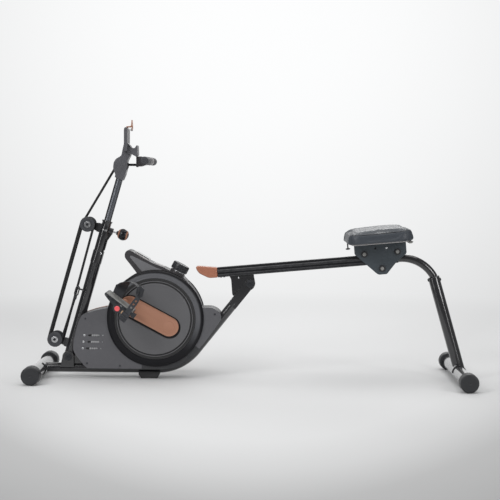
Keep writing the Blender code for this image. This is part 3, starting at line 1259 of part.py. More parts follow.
def make_rail():
    rail = frame_at("rail_axis", (FOLD_PIVOT[0], 0.0, FOLD_PIVOT[1]), -RAIL_SLOPE)
    beam = add("seat_rail", extruded_x(rail_section(), RAIL_FRONT, RAIL_REAR), aluminium_black(), rail)
    bore = LEG_SPIGOT_RADIUS + SEAT_GAP
    length = RAIL_REAR - RAIL_FRONT + 0.0200
    carve(beam, along_x(rod(bore, length, 16), RAIL_FRONT - 0.0100, 0.0, LEG_AXIS_H))

    nose_end = RAIL_FRONT - SEAT_GAP
    nose_tip = nose_end - NOSE_LENGTH
    outline = [
        (nose_end, RAIL_BOTTOM - 0.0010), (nose_end, RAIL_TOP), (nose_end - 0.0300, RAIL_TOP + 0.0045),
        (nose_end - 0.0560, RAIL_TOP + 0.0090), (nose_end - 0.0690, RAIL_TOP + 0.0110),
        (nose_tip + 0.0020, RAIL_TOP + 0.0085), (nose_tip, RAIL_TOP + 0.0020),
        (nose_end - 0.0680, RAIL_TOP - 0.0140), (nose_end - 0.0545, RAIL_TOP - 0.0235),
        (nose_end - 0.0330, RAIL_BOTTOM + 0.0010),
    ]
    nose = add("rail_nose", prism(outline, -RAIL_HALF_WIDTH, RAIL_HALF_WIDTH), copper_plastic(), rail)
    weld(nose, along_x(rod(LEG_SPIGOT_RADIUS, 0.0300, 16), nose_end - 0.0050, 0.0, LEG_AXIS_H))

    top = RAIL_BOTTOM - SEAT_GAP
    outline = [
        (-0.0725, top), (-0.0680, 0.0175), (-0.0685, -0.0300), (-0.0655, -0.0390), (-0.0580, -0.0430),
        (-0.0300, -0.0350), (0.0050, -0.0225), (0.0150, -0.0120), (0.0185, -0.0030), (0.0165, 0.0180),
        (0.0160, top),
    ]
    block = prism(outline, -BRACKET_HALF_WIDTH, BRACKET_HALF_WIDTH)
    bracket = add("fold_bracket", block, gloss_black(), rail)
    inner = BRACKET_HALF_WIDTH - BRACKET_WALL
    carve(bracket, box(-0.1000, 0.0500, -inner, inner, -0.0800, top - BRACKET_WALL))
    carve(bracket, along_y(rod(FOLD_BOLT_RADIUS + RUN_GAP, SIDE_BAR, 16), (0.0, 0.0), -SIDE_BAR / 2))
    carve(bracket, along_y(rod(LOCK_HOLE_RADIUS, SIDE_BAR, 12), LOCK_HOLE, -SIDE_BAR / 2))

    profile = bolt_profile(FOLD_BOLT_RADIUS, TUBE_RADIUS + SEAT_GAP, (0.0145, 0.0025), 0.0095, 0.0060)
    add("fold_bolt", along_y(turned(profile), FOLD_PIVOT, 0.0), bright_steel())

    bend, last = leg_path()
    path = [tuple(rail_point(RAIL_REAR + SEAT_GAP, LEG_AXIS_H))] + bend + [last]
    tube = swept(path, LEG_TUBE_RADIUS, LEG_TUBE_WALL, TUBE_SIDES)
    leg = add("rear_leg_upper", to_frame(tube, rail), gloss_black(), rail)
    plug = LEG_TUBE_RADIUS - LEG_TUBE_WALL / 2
    step = LEG_SPIGOT_LENGTH + SEAT_GAP
    profile = [
        (0.0, 0.0), (LEG_SPIGOT_RADIUS, 0.0), (LEG_SPIGOT_RADIUS, step), (plug, step), (plug, step + 0.0060),
        (0.0, step + 0.0060),
    ]
    weld(leg, along_x(turned(profile), RAIL_REAR - LEG_SPIGOT_LENGTH, 0.0, LEG_AXIS_H))

    length = (LOWER_LEG_TOP - CAP_RADIUS - 0.0060) / math.cos(LEG_LEAN)
    bore = LEG_TUBE_RADIUS + SEAT_GAP
    wide = LOWER_LEG_RADIUS - LOWER_LEG_WALL
    edge = 0.0020
    profile = [
        (bore, 0.0), (LOWER_LEG_RADIUS - edge, 0.0), (LOWER_LEG_RADIUS, edge), (LOWER_LEG_RADIUS, length),
        (wide, length), (wide, LEG_INSERT + 0.0200), (bore, LEG_INSERT + 0.0200),
    ]
    mouth = Matrix.Translation((leg_line(LOWER_LEG_TOP), 0.0, LOWER_LEG_TOP))
    lean = mouth @ Matrix.Rotation(math.pi - LEG_LEAN, 4, "Y")
    leaning = moved(turned(profile, ring=True), lean)
    lower = add("rear_leg_lower", to_frame(leaning, rail), gloss_black(), rail)
    fish_mouth = STABILISER_RADIUS + SEAT_GAP + SADDLE_WALL / 2
    carve(lower, to_frame(along_y(rod(fish_mouth, SIDE_BAR, 24), (REAR_X, CAP_RADIUS), -SIDE_BAR / 2), rail))
    weld(lower, to_frame(saddle_plate(REAR_X, math.radians(5), math.radians(185)), rail))
    front = lean @ Matrix.Translation((0.0030 - LOWER_LEG_RADIUS, 0.0, 0.0160))
    screw = moved(rod(0.0060, 0.0085, 12), front @ Matrix.Rotation(-math.pi / 2, 4, "Y"))
    weld(lower, to_frame(screw, rail))

    stabiliser("rear_stabiliser", REAR_X, REAR_WIDTH, rail)
    end_cap("rear_cap_near", REAR_X, REAR_WIDTH, -1, rail)
    end_cap("rear_cap_far", REAR_X, REAR_WIDTH, 1, rail)
    make_seat(rail)


def seat_outline(inset, steps):
    """A rounded rectangle seen from above, as t and y from the seat's middle."""
    half_length = SEAT_LENGTH / 2 - inset
    half_width = SEAT_WIDTH / 2 - inset
    corner = 0.045 - inset * 0.6
    points = []
    for sx, sy, start in ((1, 1, 0.0), (-1, 1, math.pi / 2), (-1, -1, math.pi), (1, -1, 3 * math.pi / 2)):
        centre = (sx * (half_length - corner), sy * (half_width - corner))
        points += arc(centre, corner, start, start + math.pi / 2, steps)
    return points


def make_cushion():
    """A padded seat: flat underneath, sides drawn in below, rounded edge, and a crowned top."""
    rows = (
        (0.0090, 0.0), (0.0020, 0.0030), (0.0, 0.0110), (0.0005, 0.0230), (0.0035, 0.0320), (0.0110, 0.0380),
        (0.0260, 0.0400), (0.0500, 0.0415), (0.0750, 0.0430),
    )
    scale = SEAT_THICKNESS / 0.0400
    mesh = bmesh.new()
    rings = []
    for inset, lift in rows:
        ring = []
        for x, y in seat_outline(inset, 5):
            edge = max(abs(x) / (SEAT_LENGTH / 2), abs(y) / (SEAT_WIDTH / 2))
            crown = SEAT_CROWN * max(0.0, 1.0 - edge * edge) if lift > 0.0350 else 0.0
            wedge = 0.0040 * x / SEAT_LENGTH if lift > 0.0100 else 0.0
            ring.append(mesh.verts.new((SEAT_CENTRE + x, y, SEAT_BASE + lift * scale + crown + wedge)))
        rings.append(ring)
    for lower, upper in zip(rings, rings[1:]):
        for i in range(len(lower)):
            k = (i + 1) % len(lower)
            mesh.faces.new((lower[i], lower[k], upper[k], upper[i]))
    mesh.faces.new(rings[0])
    mesh.faces.new(rings[-1])
    return closed(mesh)


def make_seat(rail):
    seat = frame_at("seat_axis", rail_world(SEAT_CENTRE, RAIL_TOP), -RAIL_SLOPE, rail)
    shift = Matrix.Translation((-SEAT_CENTRE, 0.0, -RAIL_TOP))
    add("seat_cushion", moved(make_cushion(), shift), finish("seat_vinyl", (0.03, 0.03, 0.032), 0.6), seat)

    roller_h = RAIL_SHOULDER + SEAT_GAP + ROLLER_RADIUS
    lower_h = RAIL_BOTTOM - SEAT_GAP - LOWER_ROLLER_RADIUS
    front_t = SEAT_CENTRE - ROLLER_SPACING / 2 + 0.0060
    rear_t = front_t + ROLLER_SPACING
    lower_t = SEAT_CENTRE + 0.0065
    inner = RAIL_HALF_WIDTH + 0.0050
    outer = inner + CARRIAGE_WALL
    top = SEAT_BASE - SEAT_GAP
    plate = top - CARRIAGE_WALL
    outline = [
        (front_t - 0.0320, top), (front_t - 0.0320, roller_h - 0.0010), (lower_t - 0.0210, lower_h - 0.0170),
        (lower_t - 0.0120, lower_h - 0.0215), (lower_t + 0.0130, lower_h - 0.0215),
        (lower_t + 0.0510, lower_h + 0.0170), (rear_t + 0.0330, roller_h - 0.0080), (rear_t + 0.0330, top),
    ]
    frame_mesh = moved(prism(outline, -outer, outer), shift)
    carriage = add("seat_carriage", frame_mesh, gloss_black(), seat)
    weld(carriage, moved(box(front_t - 0.0300, rear_t + 0.0300, -0.0750, 0.0750, plate, top), shift))
    tunnel = box(front_t - 0.1000, rear_t + 0.1000, -inner, inner, lower_h - 0.1000, plate)
    carve(carriage, moved(tunnel, shift))
    spots = ((front_t, roller_h), (rear_t, roller_h), (lower_t, lower_h))
    cap = outer + 0.0045
    lip = outer - 0.0010
    profile = [(0.0, -cap), (BOLT_CAP_RADIUS, -cap), (BOLT_CAP_RADIUS, -lip), (ROLLER_BOLT_RADIUS, -lip)]
    profile += [(radius, -y) for radius, y in reversed(profile)]
    for t, h in spots:
        weld(carriage, moved(along_y(turned(profile, 12), (t, h), 0.0), shift))
    wheel_inner = RAIL_RIDGE_HALF_WIDTH + 0.0012
    wheel_outer = wheel_inner + ROLLER_WIDTH
    bore = ROLLER_BOLT_RADIUS + RUN_GAP
    hub = bore + 0.0008
    spool = [
        (bore, -wheel_outer), (ROLLER_RADIUS, -wheel_outer), (ROLLER_RADIUS, -wheel_inner),
        (hub, -wheel_inner),
        (hub, wheel_inner), (ROLLER_RADIUS, wheel_inner), (ROLLER_RADIUS, wheel_outer), (bore, wheel_outer),
    ]
    wide = inner - CARRIAGE_GAP
    drum = [(bore, -wide), (LOWER_ROLLER_RADIUS, -wide), (LOWER_ROLLER_RADIUS, wide), (bore, wide)]
    wheels = (("front", spots[0], spool), ("rear", spots[1], spool), ("lower", spots[2], drum))
    for word, (t, h), profile in wheels:
        axis = frame_at(f"{word}_roller_axis", rail_world(t, h), -RAIL_SLOPE, seat)
        add(f"roller_{word}", along_y(turned(profile, ring=True), (0.0, 0.0), 0.0), black_plastic(), axis)


def main():
    clear_scene()
    make_front_base()
    make_casing()
    make_core()
    make_cranks()
    make_console()
    mast = make_mast()
    head = make_head(mast)
    handle = make_handle()
    make_ropes(mast, head, handle)
    make_rail()


main()
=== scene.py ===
"""A magnetic rowing machine with pedals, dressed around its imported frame, in metres.

+X runs from the mast to the seat, +Y to the far side and +Z up. Each section holds one piece, or a group of
like pieces, in the order in which the machine is put together.
"""

import math

import bmesh
import bpy
from mathutils import Matrix, Vector
from mathutils.bvhtree import BVHTree


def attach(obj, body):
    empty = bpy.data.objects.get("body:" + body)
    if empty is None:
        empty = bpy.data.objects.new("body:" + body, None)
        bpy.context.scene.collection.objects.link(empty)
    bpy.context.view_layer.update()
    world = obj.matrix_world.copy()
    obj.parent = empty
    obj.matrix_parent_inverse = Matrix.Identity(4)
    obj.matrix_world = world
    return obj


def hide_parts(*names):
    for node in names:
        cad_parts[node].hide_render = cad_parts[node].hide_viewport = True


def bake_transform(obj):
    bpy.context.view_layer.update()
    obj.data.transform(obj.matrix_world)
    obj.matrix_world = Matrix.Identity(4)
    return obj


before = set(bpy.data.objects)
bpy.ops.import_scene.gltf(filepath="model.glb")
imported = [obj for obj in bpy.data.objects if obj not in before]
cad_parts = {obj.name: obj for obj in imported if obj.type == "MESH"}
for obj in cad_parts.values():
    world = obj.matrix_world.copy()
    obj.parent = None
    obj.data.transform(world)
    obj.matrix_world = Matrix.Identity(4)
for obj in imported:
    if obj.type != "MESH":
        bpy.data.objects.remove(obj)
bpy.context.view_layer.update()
scene = bpy.context.scene

# The camera stands where the photographer stood: about 4.6 m off, a little above the seat, with a long lens. Its
# place and its turn were fitted to the four ends of the feet.
CAMERA_PLACE = Vector((0.0719, -4.5582, 0.7394))
CAMERA_YAW = math.radians(0.888)
CAMERA_PITCH = math.radians(3.35)
CAMERA_ROLL = math.radians(0.423)
CAMERA_LENS = 89.86

lens = bpy.data.cameras.new("photo_camera")
lens.lens = CAMERA_LENS
lens.sensor_width = 36.0
camera = bpy.data.objects.new("photo_camera", lens)
scene.collection.objects.link(camera)
ahead = Vector((
    -math.sin(CAMERA_YAW) * math.cos(CAMERA_PITCH),
    math.cos(CAMERA_YAW) * math.cos(CAMERA_PITCH),
    -math.sin(CAMERA_PITCH),
))
level = Vector((math.cos(CAMERA_YAW), math.sin(CAMERA_YAW), 0.0))
upright = level.cross(ahead)
right = math.cos(CAMERA_ROLL) * level + math.sin(CAMERA_ROLL) * upright
top = math.cos(CAMERA_ROLL) * upright - math.sin(CAMERA_ROLL) * level
camera.matrix_world = Matrix.Translation(CAMERA_PLACE) @ Matrix((right, top, -ahead)).transposed().to_4x4()
scene.camera = camera
scene.view_settings.view_transform = "Standard"

# The studio: a pale floor that runs out into a pale surround, brightest behind the machine and duller towards the
# edges of the picture. Soft boxes stand high on the left, low on the right, overhead and behind. A tall narrow one
# on each side draws a clean line down the round tubes.
FLOOR_HALF = 14.0
FADE_START, FADE_END = 1.1, 3.6
SURROUND_LIGHT = 0.46
BRIGHT_RISE = 0.14
TONES = ((0.0, 0.99), (0.009, 0.975), (0.04, 0.895), (0.078, 0.79), (0.1, 0.73), (0.124, 0.735),
         (0.143, 0.64), (0.165, 0.49), (0.2, 0.43), (0.6, 0.22))
SOFT_BOXES = (
    ("box_left", (-2.1, -2.6, 2.5), (-0.2, 0.0, 0.4), 1.5, 0.9, 36.0),
    ("box_right", (2.6, -2.4, 1.5), (0.2, 0.0, 0.4), 1.0, 0.7, 13.0),
    ("box_over", (0.0, 0.2, 3.2), (0.0, 0.0, 0.0), 4.2, 2.4, 42.0),
    ("box_behind", (0.6, 2.8, 2.2), (0.0, 0.0, 0.4), 1.6, 0.8, 20.0),
    ("strip_left", (-2.4, -2.5, 1.5), (-0.5, 0.0, 1.5), 0.34, 3.0, 17.0),
    ("strip_right", (2.6, -2.3, 1.2), (0.5, 0.0, 1.2), 0.3, 2.2, 12.0),
)


def nodes_of(owner):
    owner.use_nodes = True
    tree = owner.node_tree
    tree.nodes.clear()
    return tree


def put(tree, kind, **values):
    """A node with its settings. Its sockets are set or joined by name, with the underscores read as spaces."""
    node = tree.nodes.new(kind)
    for key, value in values.items():
        title = key.replace("_", " ")
        if hasattr(node, key):
            setattr(node, key, value)
        elif isinstance(value, bpy.types.NodeSocket):
            tree.links.new(value, node.inputs[title])
        else:
            node.inputs[title].default_value = value
    return node


def group_of(name, inputs, outputs):
    """An empty shader node group, with its two end nodes. Each socket is a name, a kind and a first value."""
    tree = bpy.data.node_groups.new(name, "ShaderNodeTree")
    for title, kind, value in inputs:
        tree.interface.new_socket(name=title, in_out="INPUT", socket_type=kind).default_value = value
    for title, kind in outputs:
        tree.interface.new_socket(name=title, in_out="OUTPUT", socket_type=kind)
    return tree, tree.nodes.new("NodeGroupInput"), tree.nodes.new("NodeGroupOutput")


def math_of(tree, operation, *values, **settings):
    """A Math node's output. Each value is a number or another node's output."""
    node = put(tree, "ShaderNodeMath", operation=operation, **settings)
    for socket, value in zip(node.inputs, values):
        if isinstance(value, (int, float)):
            socket.default_value = value
        else:
            tree.links.new(value, socket)
    return node.outputs[0]


def ranged(tree, value, kind="SMOOTHSTEP", **ends):
    """A value carried from one range to another, 0 to 1 where nothing else is said."""
    return put(tree, "ShaderNodeMapRange", interpolation_type=kind, Value=value, **ends).outputs["Result"]


def parted(tree, vector):
    """The three outputs of a vector's parts."""
    return put(tree, "ShaderNodeSeparateXYZ", Vector=vector).outputs


def mixed(tree, mask, under, over):
    """One colour laid over another where a mask is high. A colour is four numbers or another node's output."""
    return put(tree, "ShaderNodeMix", data_type="RGBA", Factor=mask, A=under, B=over).outputs["Result"]


def halved(tree, kind, mask, first, second):
    """Mixes two shaders by a mask, and gives them to the tree's output."""
    both = put(tree, "ShaderNodeMixShader")
    for socket, source in zip(both.inputs, (mask, first.outputs[0], second.outputs[0])):
        tree.links.new(source, socket)
    put(tree, kind, Surface=both.outputs[0])


FLOAT = "NodeSocketFloat"
COLOUR = "NodeSocketColor"
sockets = (("Across", FLOAT, 0.0), ("Up", FLOAT, 0.0))
studio_tone, start, end = group_of("studio_tone", sockets, (("Colour", COLOUR),))
across_shift = math_of(studio_tone, "ADD", start.outputs["Across"], math.sin(CAMERA_YAW))
up_shift = math_of(studio_tone, "SUBTRACT", start.outputs["Up"], BRIGHT_RISE)
squares = [math_of(studio_tone, "MULTIPLY", shift, shift) for shift in (across_shift, up_shift)]
spread = math_of(studio_tone, "ADD", *squares)
ramp = put(studio_tone, "ShaderNodeValToRGB", Fac=spread)
while len(ramp.color_ramp.elements) < len(TONES):
    ramp.color_ramp.elements.new(0.5)
for element, (place, tone) in zip(ramp.color_ramp.elements, TONES):
    element.position = place
for element, (place, tone) in zip(ramp.color_ramp.elements, TONES):
    element.color = (tone * 0.995, tone, tone * 1.003, 1.0)
studio_tone.links.new(ramp.outputs["Color"], end.inputs["Colour"])


def seen_by_eye(tree, *kinds):
    """1 for the rays that look at a surface, and 0 for those that only light another."""
    path = put(tree, "ShaderNodeLightPath")
    seen = path.outputs["Is Camera Ray"]
    for kind in kinds:
        seen = math_of(tree, "MAXIMUM", seen, path.outputs[kind])
    return seen


def tone_at(tree, x, z, depth):
    """The studio's tone at a place, from how far it is to the side, up and ahead of the camera."""
    across_by, up_by = math_of(tree, "DIVIDE", x, depth), math_of(tree, "DIVIDE", z, depth)
    tone = put(tree, "ShaderNodeGroup", node_tree=studio_tone, Across=across_by, Up=up_by)
    return tone.outputs["Colour"]


world = bpy.data.worlds.new("studio")
scene.world = world
tree = nodes_of(world)
way = parted(tree, put(tree, "ShaderNodeTexCoord").outputs["Generated"])
tone = tone_at(tree, way["X"], way["Z"], math_of(tree, "MAXIMUM", way["Y"], 0.05))
shown = put(tree, "ShaderNodeBackground", Strength=1.0, Color=tone)
lit = put(tree, "ShaderNodeBackground", Color=(1.0, 1.0, 1.0, 1.0), Strength=SURROUND_LIGHT)
halved(tree, "ShaderNodeOutputWorld", seen_by_eye(tree, "Is Glossy Ray", "Is Transmission Ray"), lit, shown)

floor_mesh = bpy.data.meshes.new("studio_floor")
corners = [(x * FLOOR_HALF, y * FLOOR_HALF, -0.0006) for x, y in ((-1, -1), (1, -1), (1, 1), (-1, 1))]
floor_mesh.from_pydata(corners, [], [(0, 1, 2, 3)])
floor = bpy.data.objects.new("studio_floor", floor_mesh)
scene.collection.objects.link(floor)
paint = bpy.data.materials.new("studio_floor")
floor_mesh.materials.append(paint)
tree = nodes_of(paint)
where = put(tree, "ShaderNodeNewGeometry").outputs["Position"]
spot = parted(tree, where)
depth = math_of(tree, "MAXIMUM", math_of(tree, "ADD", spot["Y"], -CAMERA_PLACE.y), 0.5)
tone = tone_at(tree, math_of(tree, "ADD", spot["X"], -CAMERA_PLACE.x), -CAMERA_PLACE.z, depth)
ground = put(tree, "ShaderNodeBsdfDiffuse", Color=tone)
far_off = put(tree, "ShaderNodeEmission", Strength=1.0, Color=tone)
reach = put(tree, "ShaderNodeVectorMath", operation="LENGTH", Vector=where)
fade = ranged(tree, reach.outputs["Value"], From_Min=FADE_START, From_Max=FADE_END)
seen = math_of(tree, "MULTIPLY", fade, seen_by_eye(tree, "Is Glossy Ray"))
halved(tree, "ShaderNodeOutputMaterial", seen, ground, far_off)

for name, place, aim, wide, tall, power in SOFT_BOXES:
    lamp = bpy.data.lights.new(name, "AREA")
    lamp.shape = "RECTANGLE"
    lamp.size = wide
    lamp.size_y = tall
    lamp.energy = power
    soft_box = bpy.data.objects.new(name, lamp)
    scene.collection.objects.link(soft_box)
    soft_box.location = place
    soft_box.rotation_euler = (Vector(aim) - Vector(place)).to_track_quat("-Z", "Y").to_euler()

# The front and rear feet are round steel tubes across the machine, powder coated gloss black before they are
# fitted. They are cut square at both ends, and the ends are hidden in the caps.
FOOT_TUBE_RADIUS = 0.0235
FOOT_TUBE_WALL = 0.002
FRONT_FOOT_X = -0.767
REAR_FOOT_X = 0.767
FOOT_AXIS_Z = 0.033
FRONT_FOOT_HALF = 0.2126
REAR_FOOT_HALF = 0.2796

# Wear shows where an edge is rubbed: the mask is high on sharp convex edges and broken up by noise. Each finish has
# its own colour for what lies bare there.
worn_edges, start, end = group_of("worn_edges", (("Reach", FLOAT, 0.54), ("Amount", FLOAT, 0.5)), (("Mask", FLOAT),))
shape = put(worn_edges, "ShaderNodeNewGeometry")
edge = ranged(worn_edges, shape.outputs["Pointiness"], From_Min=start.outputs["Reach"], From_Max=0.62)
place = put(worn_edges, "ShaderNodeTexCoord").outputs["Object"]
spread = put(worn_edges, "ShaderNodeTexNoise", Scale=85.0, Detail=3.0, Vector=place)
broken = math_of(worn_edges, "MULTIPLY", edge, spread.outputs["Fac"])
scaled = math_of(worn_edges, "MULTIPLY", broken, start.outputs["Amount"], use_clamp=True)
worn_edges.links.new(scaled, end.inputs["Mask"])

# Dust lies thinly on what faces up, in soft patches. Its mask rises with the slope of the surface, and slow noise
# thins it here and there.
thin_dust, start, end = group_of("thin_dust", (("Amount", FLOAT, 0.2), ("Scale", FLOAT, 14.0)), (("Mask", FLOAT),))
upward = parted(thin_dust, put(thin_dust, "ShaderNodeNewGeometry").outputs["Normal"])["Z"]
facing = ranged(thin_dust, upward, From_Min=0.25)
place = put(thin_dust, "ShaderNodeTexCoord").outputs["Object"]
patches = put(thin_dust, "ShaderNodeTexNoise", Detail=4.0, Vector=place, Scale=start.outputs["Scale"])
laid = math_of(thin_dust, "MULTIPLY", facing, patches.outputs["Fac"])
scaled = math_of(thin_dust, "MULTIPLY", laid, start.outputs["Amount"], use_clamp=True)
thin_dust.links.new(scaled, end.inputs["Mask"])

# A moulded or sprayed surface is never quite even: a fine grain in its height, and slow patches in its gloss. Each
# finish says how fine its own grain is.
sockets = (("Scale", FLOAT, 900.0), ("Patch Scale", FLOAT, 9.0))
fine_grain, start, end = group_of("fine_grain", sockets, (("Height", FLOAT), ("Patches", FLOAT)))
place = put(fine_grain, "ShaderNodeTexCoord").outputs["Object"]
grain = put(fine_grain, "ShaderNodeTexNoise", Detail=2.0, Roughness=0.6, Vector=place, Scale=start.outputs["Scale"])
slow = put(fine_grain, "ShaderNodeTexNoise", Detail=3.0, Vector=place, Scale=start.outputs["Patch Scale"])
fine_grain.links.new(grain.outputs["Fac"], end.inputs["Height"])
fine_grain.links.new(slow.outputs["Fac"], end.inputs["Patches"])

DUST_COLOUR = (0.42, 0.41, 0.4, 1.0)


def finish_of(name, slot, colour, worn, roughness, metallic=0.0, grain=900.0, depth=0.00002, swing=0.06, wear=0.4,
              dust=0.1, mottle=0.1, **sockets):
    """A finish: its colour, the colour that wear shows, its roughness and grain, and its dust. Its slot is not used.
    """
    made = bpy.data.materials.new(name)
    tree = nodes_of(made)
    surface = put(tree, "ShaderNodeGroup", node_tree=fine_grain, Scale=grain).outputs
    rubbed = put(tree, "ShaderNodeGroup", node_tree=worn_edges, Amount=wear)
    settled = put(tree, "ShaderNodeGroup", node_tree=thin_dust, Amount=dust)
    low, high = ((*(c * (1 + way * mottle) for c in colour), 1.0) for way in (-1, 1))
    clouded = mixed(tree, surface["Patches"], low, high)
    rubbed_off = mixed(tree, rubbed.outputs["Mask"], clouded, (*worn, 1.0))
    dusted = mixed(tree, settled.outputs["Mask"], rubbed_off, DUST_COLOUR)
    rough = ranged(tree, surface["Patches"], "LINEAR", To_Min=max(0.02, roughness - swing),
                   To_Max=min(1.0, roughness + swing))
    bump = put(tree, "ShaderNodeBump", Strength=1.0, Distance=depth, Height=surface["Height"])
    shader = put(tree, "ShaderNodeBsdfPrincipled", Metallic=metallic, Base_Color=dusted, Roughness=rough,
                 Normal=bump.outputs["Normal"], **sockets)
    put(tree, "ShaderNodeOutputMaterial", Surface=shader.outputs[0])
    return made


def shader_of(finish):
    """A finish's tree, its shader, and the colour that reaches the shader."""
    tree = finish.node_tree
    shader = next(node for node in tree.nodes if node.type == "BSDF_PRINCIPLED")
    return tree, shader, shader.inputs["Base Color"].links[0].from_socket


gloss_black = finish_of(
    "gloss_black_paint", "gloss_black_paint", (0.01, 0.01, 0.012), (0.1, 0.1, 0.105), 0.21, grain=420.0,
    depth=0.000004, swing=0.04, wear=0.5, dust=0.05, Coat_Weight=0.9, Coat_Roughness=0.05,
)


def turned(profile, sides=48, ring=False):
    """A solid turned about Z from points of radius and height. ring closes the profile off the axis."""
    mesh = bmesh.new()
    rows = []
    for radius, height in profile:
        angles = [2 * math.pi * i / sides for i in range(sides if radius > 0.0 else 1)]
        rows.append([mesh.verts.new((radius * math.cos(a), radius * math.sin(a), height)) for a in angles])
    pairs = list(zip(rows, rows[1:]))
    if ring:
        pairs.append((rows[-1], rows[0]))
    for lower, upper in pairs:
        for i in range(sides):
            k = (i + 1) % sides
            loop = [lower[i % len(lower)], lower[k % len(lower)], upper[k % len(upper)], upper[i % len(upper)]]
            loop = [v for n, v in enumerate(loop) if v not in loop[:n]]
            if len(loop) > 2:
                mesh.faces.new(loop)
    bmesh.ops.recalc_face_normals(mesh, faces=mesh.faces)
    return mesh


def rod(radius, low, high, sides=48, edge=0.0):
    """A round bar along Z, with its two rims cut back by a small edge."""
    if not edge:
        return turned([(0.0, low), (radius, low), (radius, high), (0.0, high)], sides)
    profile = [(0.0, low), (radius - edge, low), (radius, low + edge), (radius, high - edge)]
    return turned(profile + [(radius - edge, high), (0.0, high)], sides)


def pipe(radius, wall, low, high, sides=48):
    inner = radius - wall
    return turned([(radius, low), (radius, high), (inner, high), (inner, low)], sides, ring=True)


def moved(mesh, matrix):
    bmesh.ops.transform(mesh, matrix=matrix, verts=mesh.verts)
    if matrix.determinant() < 0:
        bmesh.ops.reverse_faces(mesh, faces=mesh.faces)
    return mesh


def across(mesh, x, z, y=0.0):
    """Lays a solid made along Z so that it runs along +Y through a point in XZ."""
    return moved(mesh, Matrix.Translation((x, y, z)) @ Matrix.Rotation(-math.pi / 2, 4, "X"))


def mirrored(mesh):
    return moved(mesh, Matrix.Scale(-1, 4, (0, 1, 0)))


def mm(*points):
    """Points written in millimetres, in metres."""
    return [tuple(value / 1000 for value in point) for point in points]


def sided(mesh, side):
    """A solid made for the far side (1), mirrored where it is meant for the near side (-1)."""
    return mirrored(mesh) if side < 0 else mesh


def shifted(mesh, x, y, z):
    return moved(mesh, Matrix.Translation((x, y, z)))


def frame_at(x, z, turn):
    """A place in the middle plane, turned about Y."""
    return Matrix.Translation((x, 0.0, z)) @ Matrix.Rotation(turn, 4, "Y")


def skin(rows, closed=True):
    """A solid over rings of points. Its ends are closed, or else the last ring is joined to the first."""
    mesh = bmesh.new()
    rings = [[mesh.verts.new(point) for point in row] for row in rows]
    for lower, upper in zip(rings, rings[1:] if closed else rings[1:] + rings[:1]):
        for i in range(len(lower)):
            k = (i + 1) % len(lower)
            mesh.faces.new((lower[i], lower[k], upper[k], upper[i]))
    if closed:
        mesh.faces.new(rings[0])
        mesh.faces.new(rings[-1])
    bmesh.ops.recalc_face_normals(mesh, faces=mesh.faces)
    return mesh


def blank_of(mesh, name="blank"):
    data = bpy.data.meshes.new(name)
    mesh.to_mesh(data)
    mesh.free()
    item = bpy.data.objects.new(name, data)
    scene.collection.objects.link(item)
    return item


def machined(mesh, cuts=(), joins=(), keeps=()):
    """Joins solids to a blank, cuts others out of it, keeps only what lies in others, and gives the solid back."""
    blank = blank_of(mesh)
    spent = [blank]
    for operation, tools in (("UNION", joins), ("DIFFERENCE", cuts), ("INTERSECT", keeps)):
        for tool in tools:
            step = blank.modifiers.new("step", "BOOLEAN")
            step.operation = operation
            step.solver = "EXACT"
            step.object = blank_of(tool, "tool")
            spent.append(step.object)
    result = bmesh.new()
    result.from_object(blank, bpy.context.evaluated_depsgraph_get())
    for item in spent:
        data = item.data
        bpy.data.objects.remove(item)
        bpy.data.meshes.remove(data)
    return result


def piece(name, meshes, material, body, nodes=(), ease=0.0, steps=2, sharp=35.0):
    """One object made of one or more solids, with eased edges. It rides on a body and stands for CAD nodes."""
    data = bpy.data.meshes.new(name)
    whole = bmesh.new()
    for part in meshes if isinstance(meshes, (list, tuple)) else [meshes]:
        part.to_mesh(data)
        part.free()
        whole.from_mesh(data)
    whole.to_mesh(data)
    whole.free()
    data.materials.append(material)
    data.shade_smooth()
    data.set_sharp_from_angle(angle=math.radians(sharp))
    item = bpy.data.objects.new(name, data)
    scene.collection.objects.link(item)
    if ease:
        eased = item.modifiers.new("eased_edges", "BEVEL")
        eased.width = ease
        eased.segments = steps
        eased.limit_method = "ANGLE"
        eased.angle_limit = math.radians(sharp)
        eased.harden_normals = True
    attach(item, body)
    if nodes:
        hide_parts(*nodes)
    return item


for name, x, half, body in (
    ("front_stabiliser", FRONT_FOOT_X, FRONT_FOOT_HALF, "base"),
    ("rear_stabiliser", REAR_FOOT_X, REAR_FOOT_HALF, "rail"),
):
    tube = across(pipe(FOOT_TUBE_RADIUS, FOOT_TUBE_WALL, -half, half, 64), x, FOOT_AXIS_Z)
    piece(f"{name}_tube", tube, gloss_black, body, (name,))

# The end caps are pushed over the foot tubes and stand on the floor. They are injection moulded in a satin black
# plastic, with a rolled outer rim, a raised band at the open end, and a small gate dimple in the middle.
SIDES = (("near", -1), ("far", 1))
CAP_RADIUS = 0.033
CAP_LENGTH = 0.048
FRONT_HALF = 0.219
REAR_HALF = 0.286

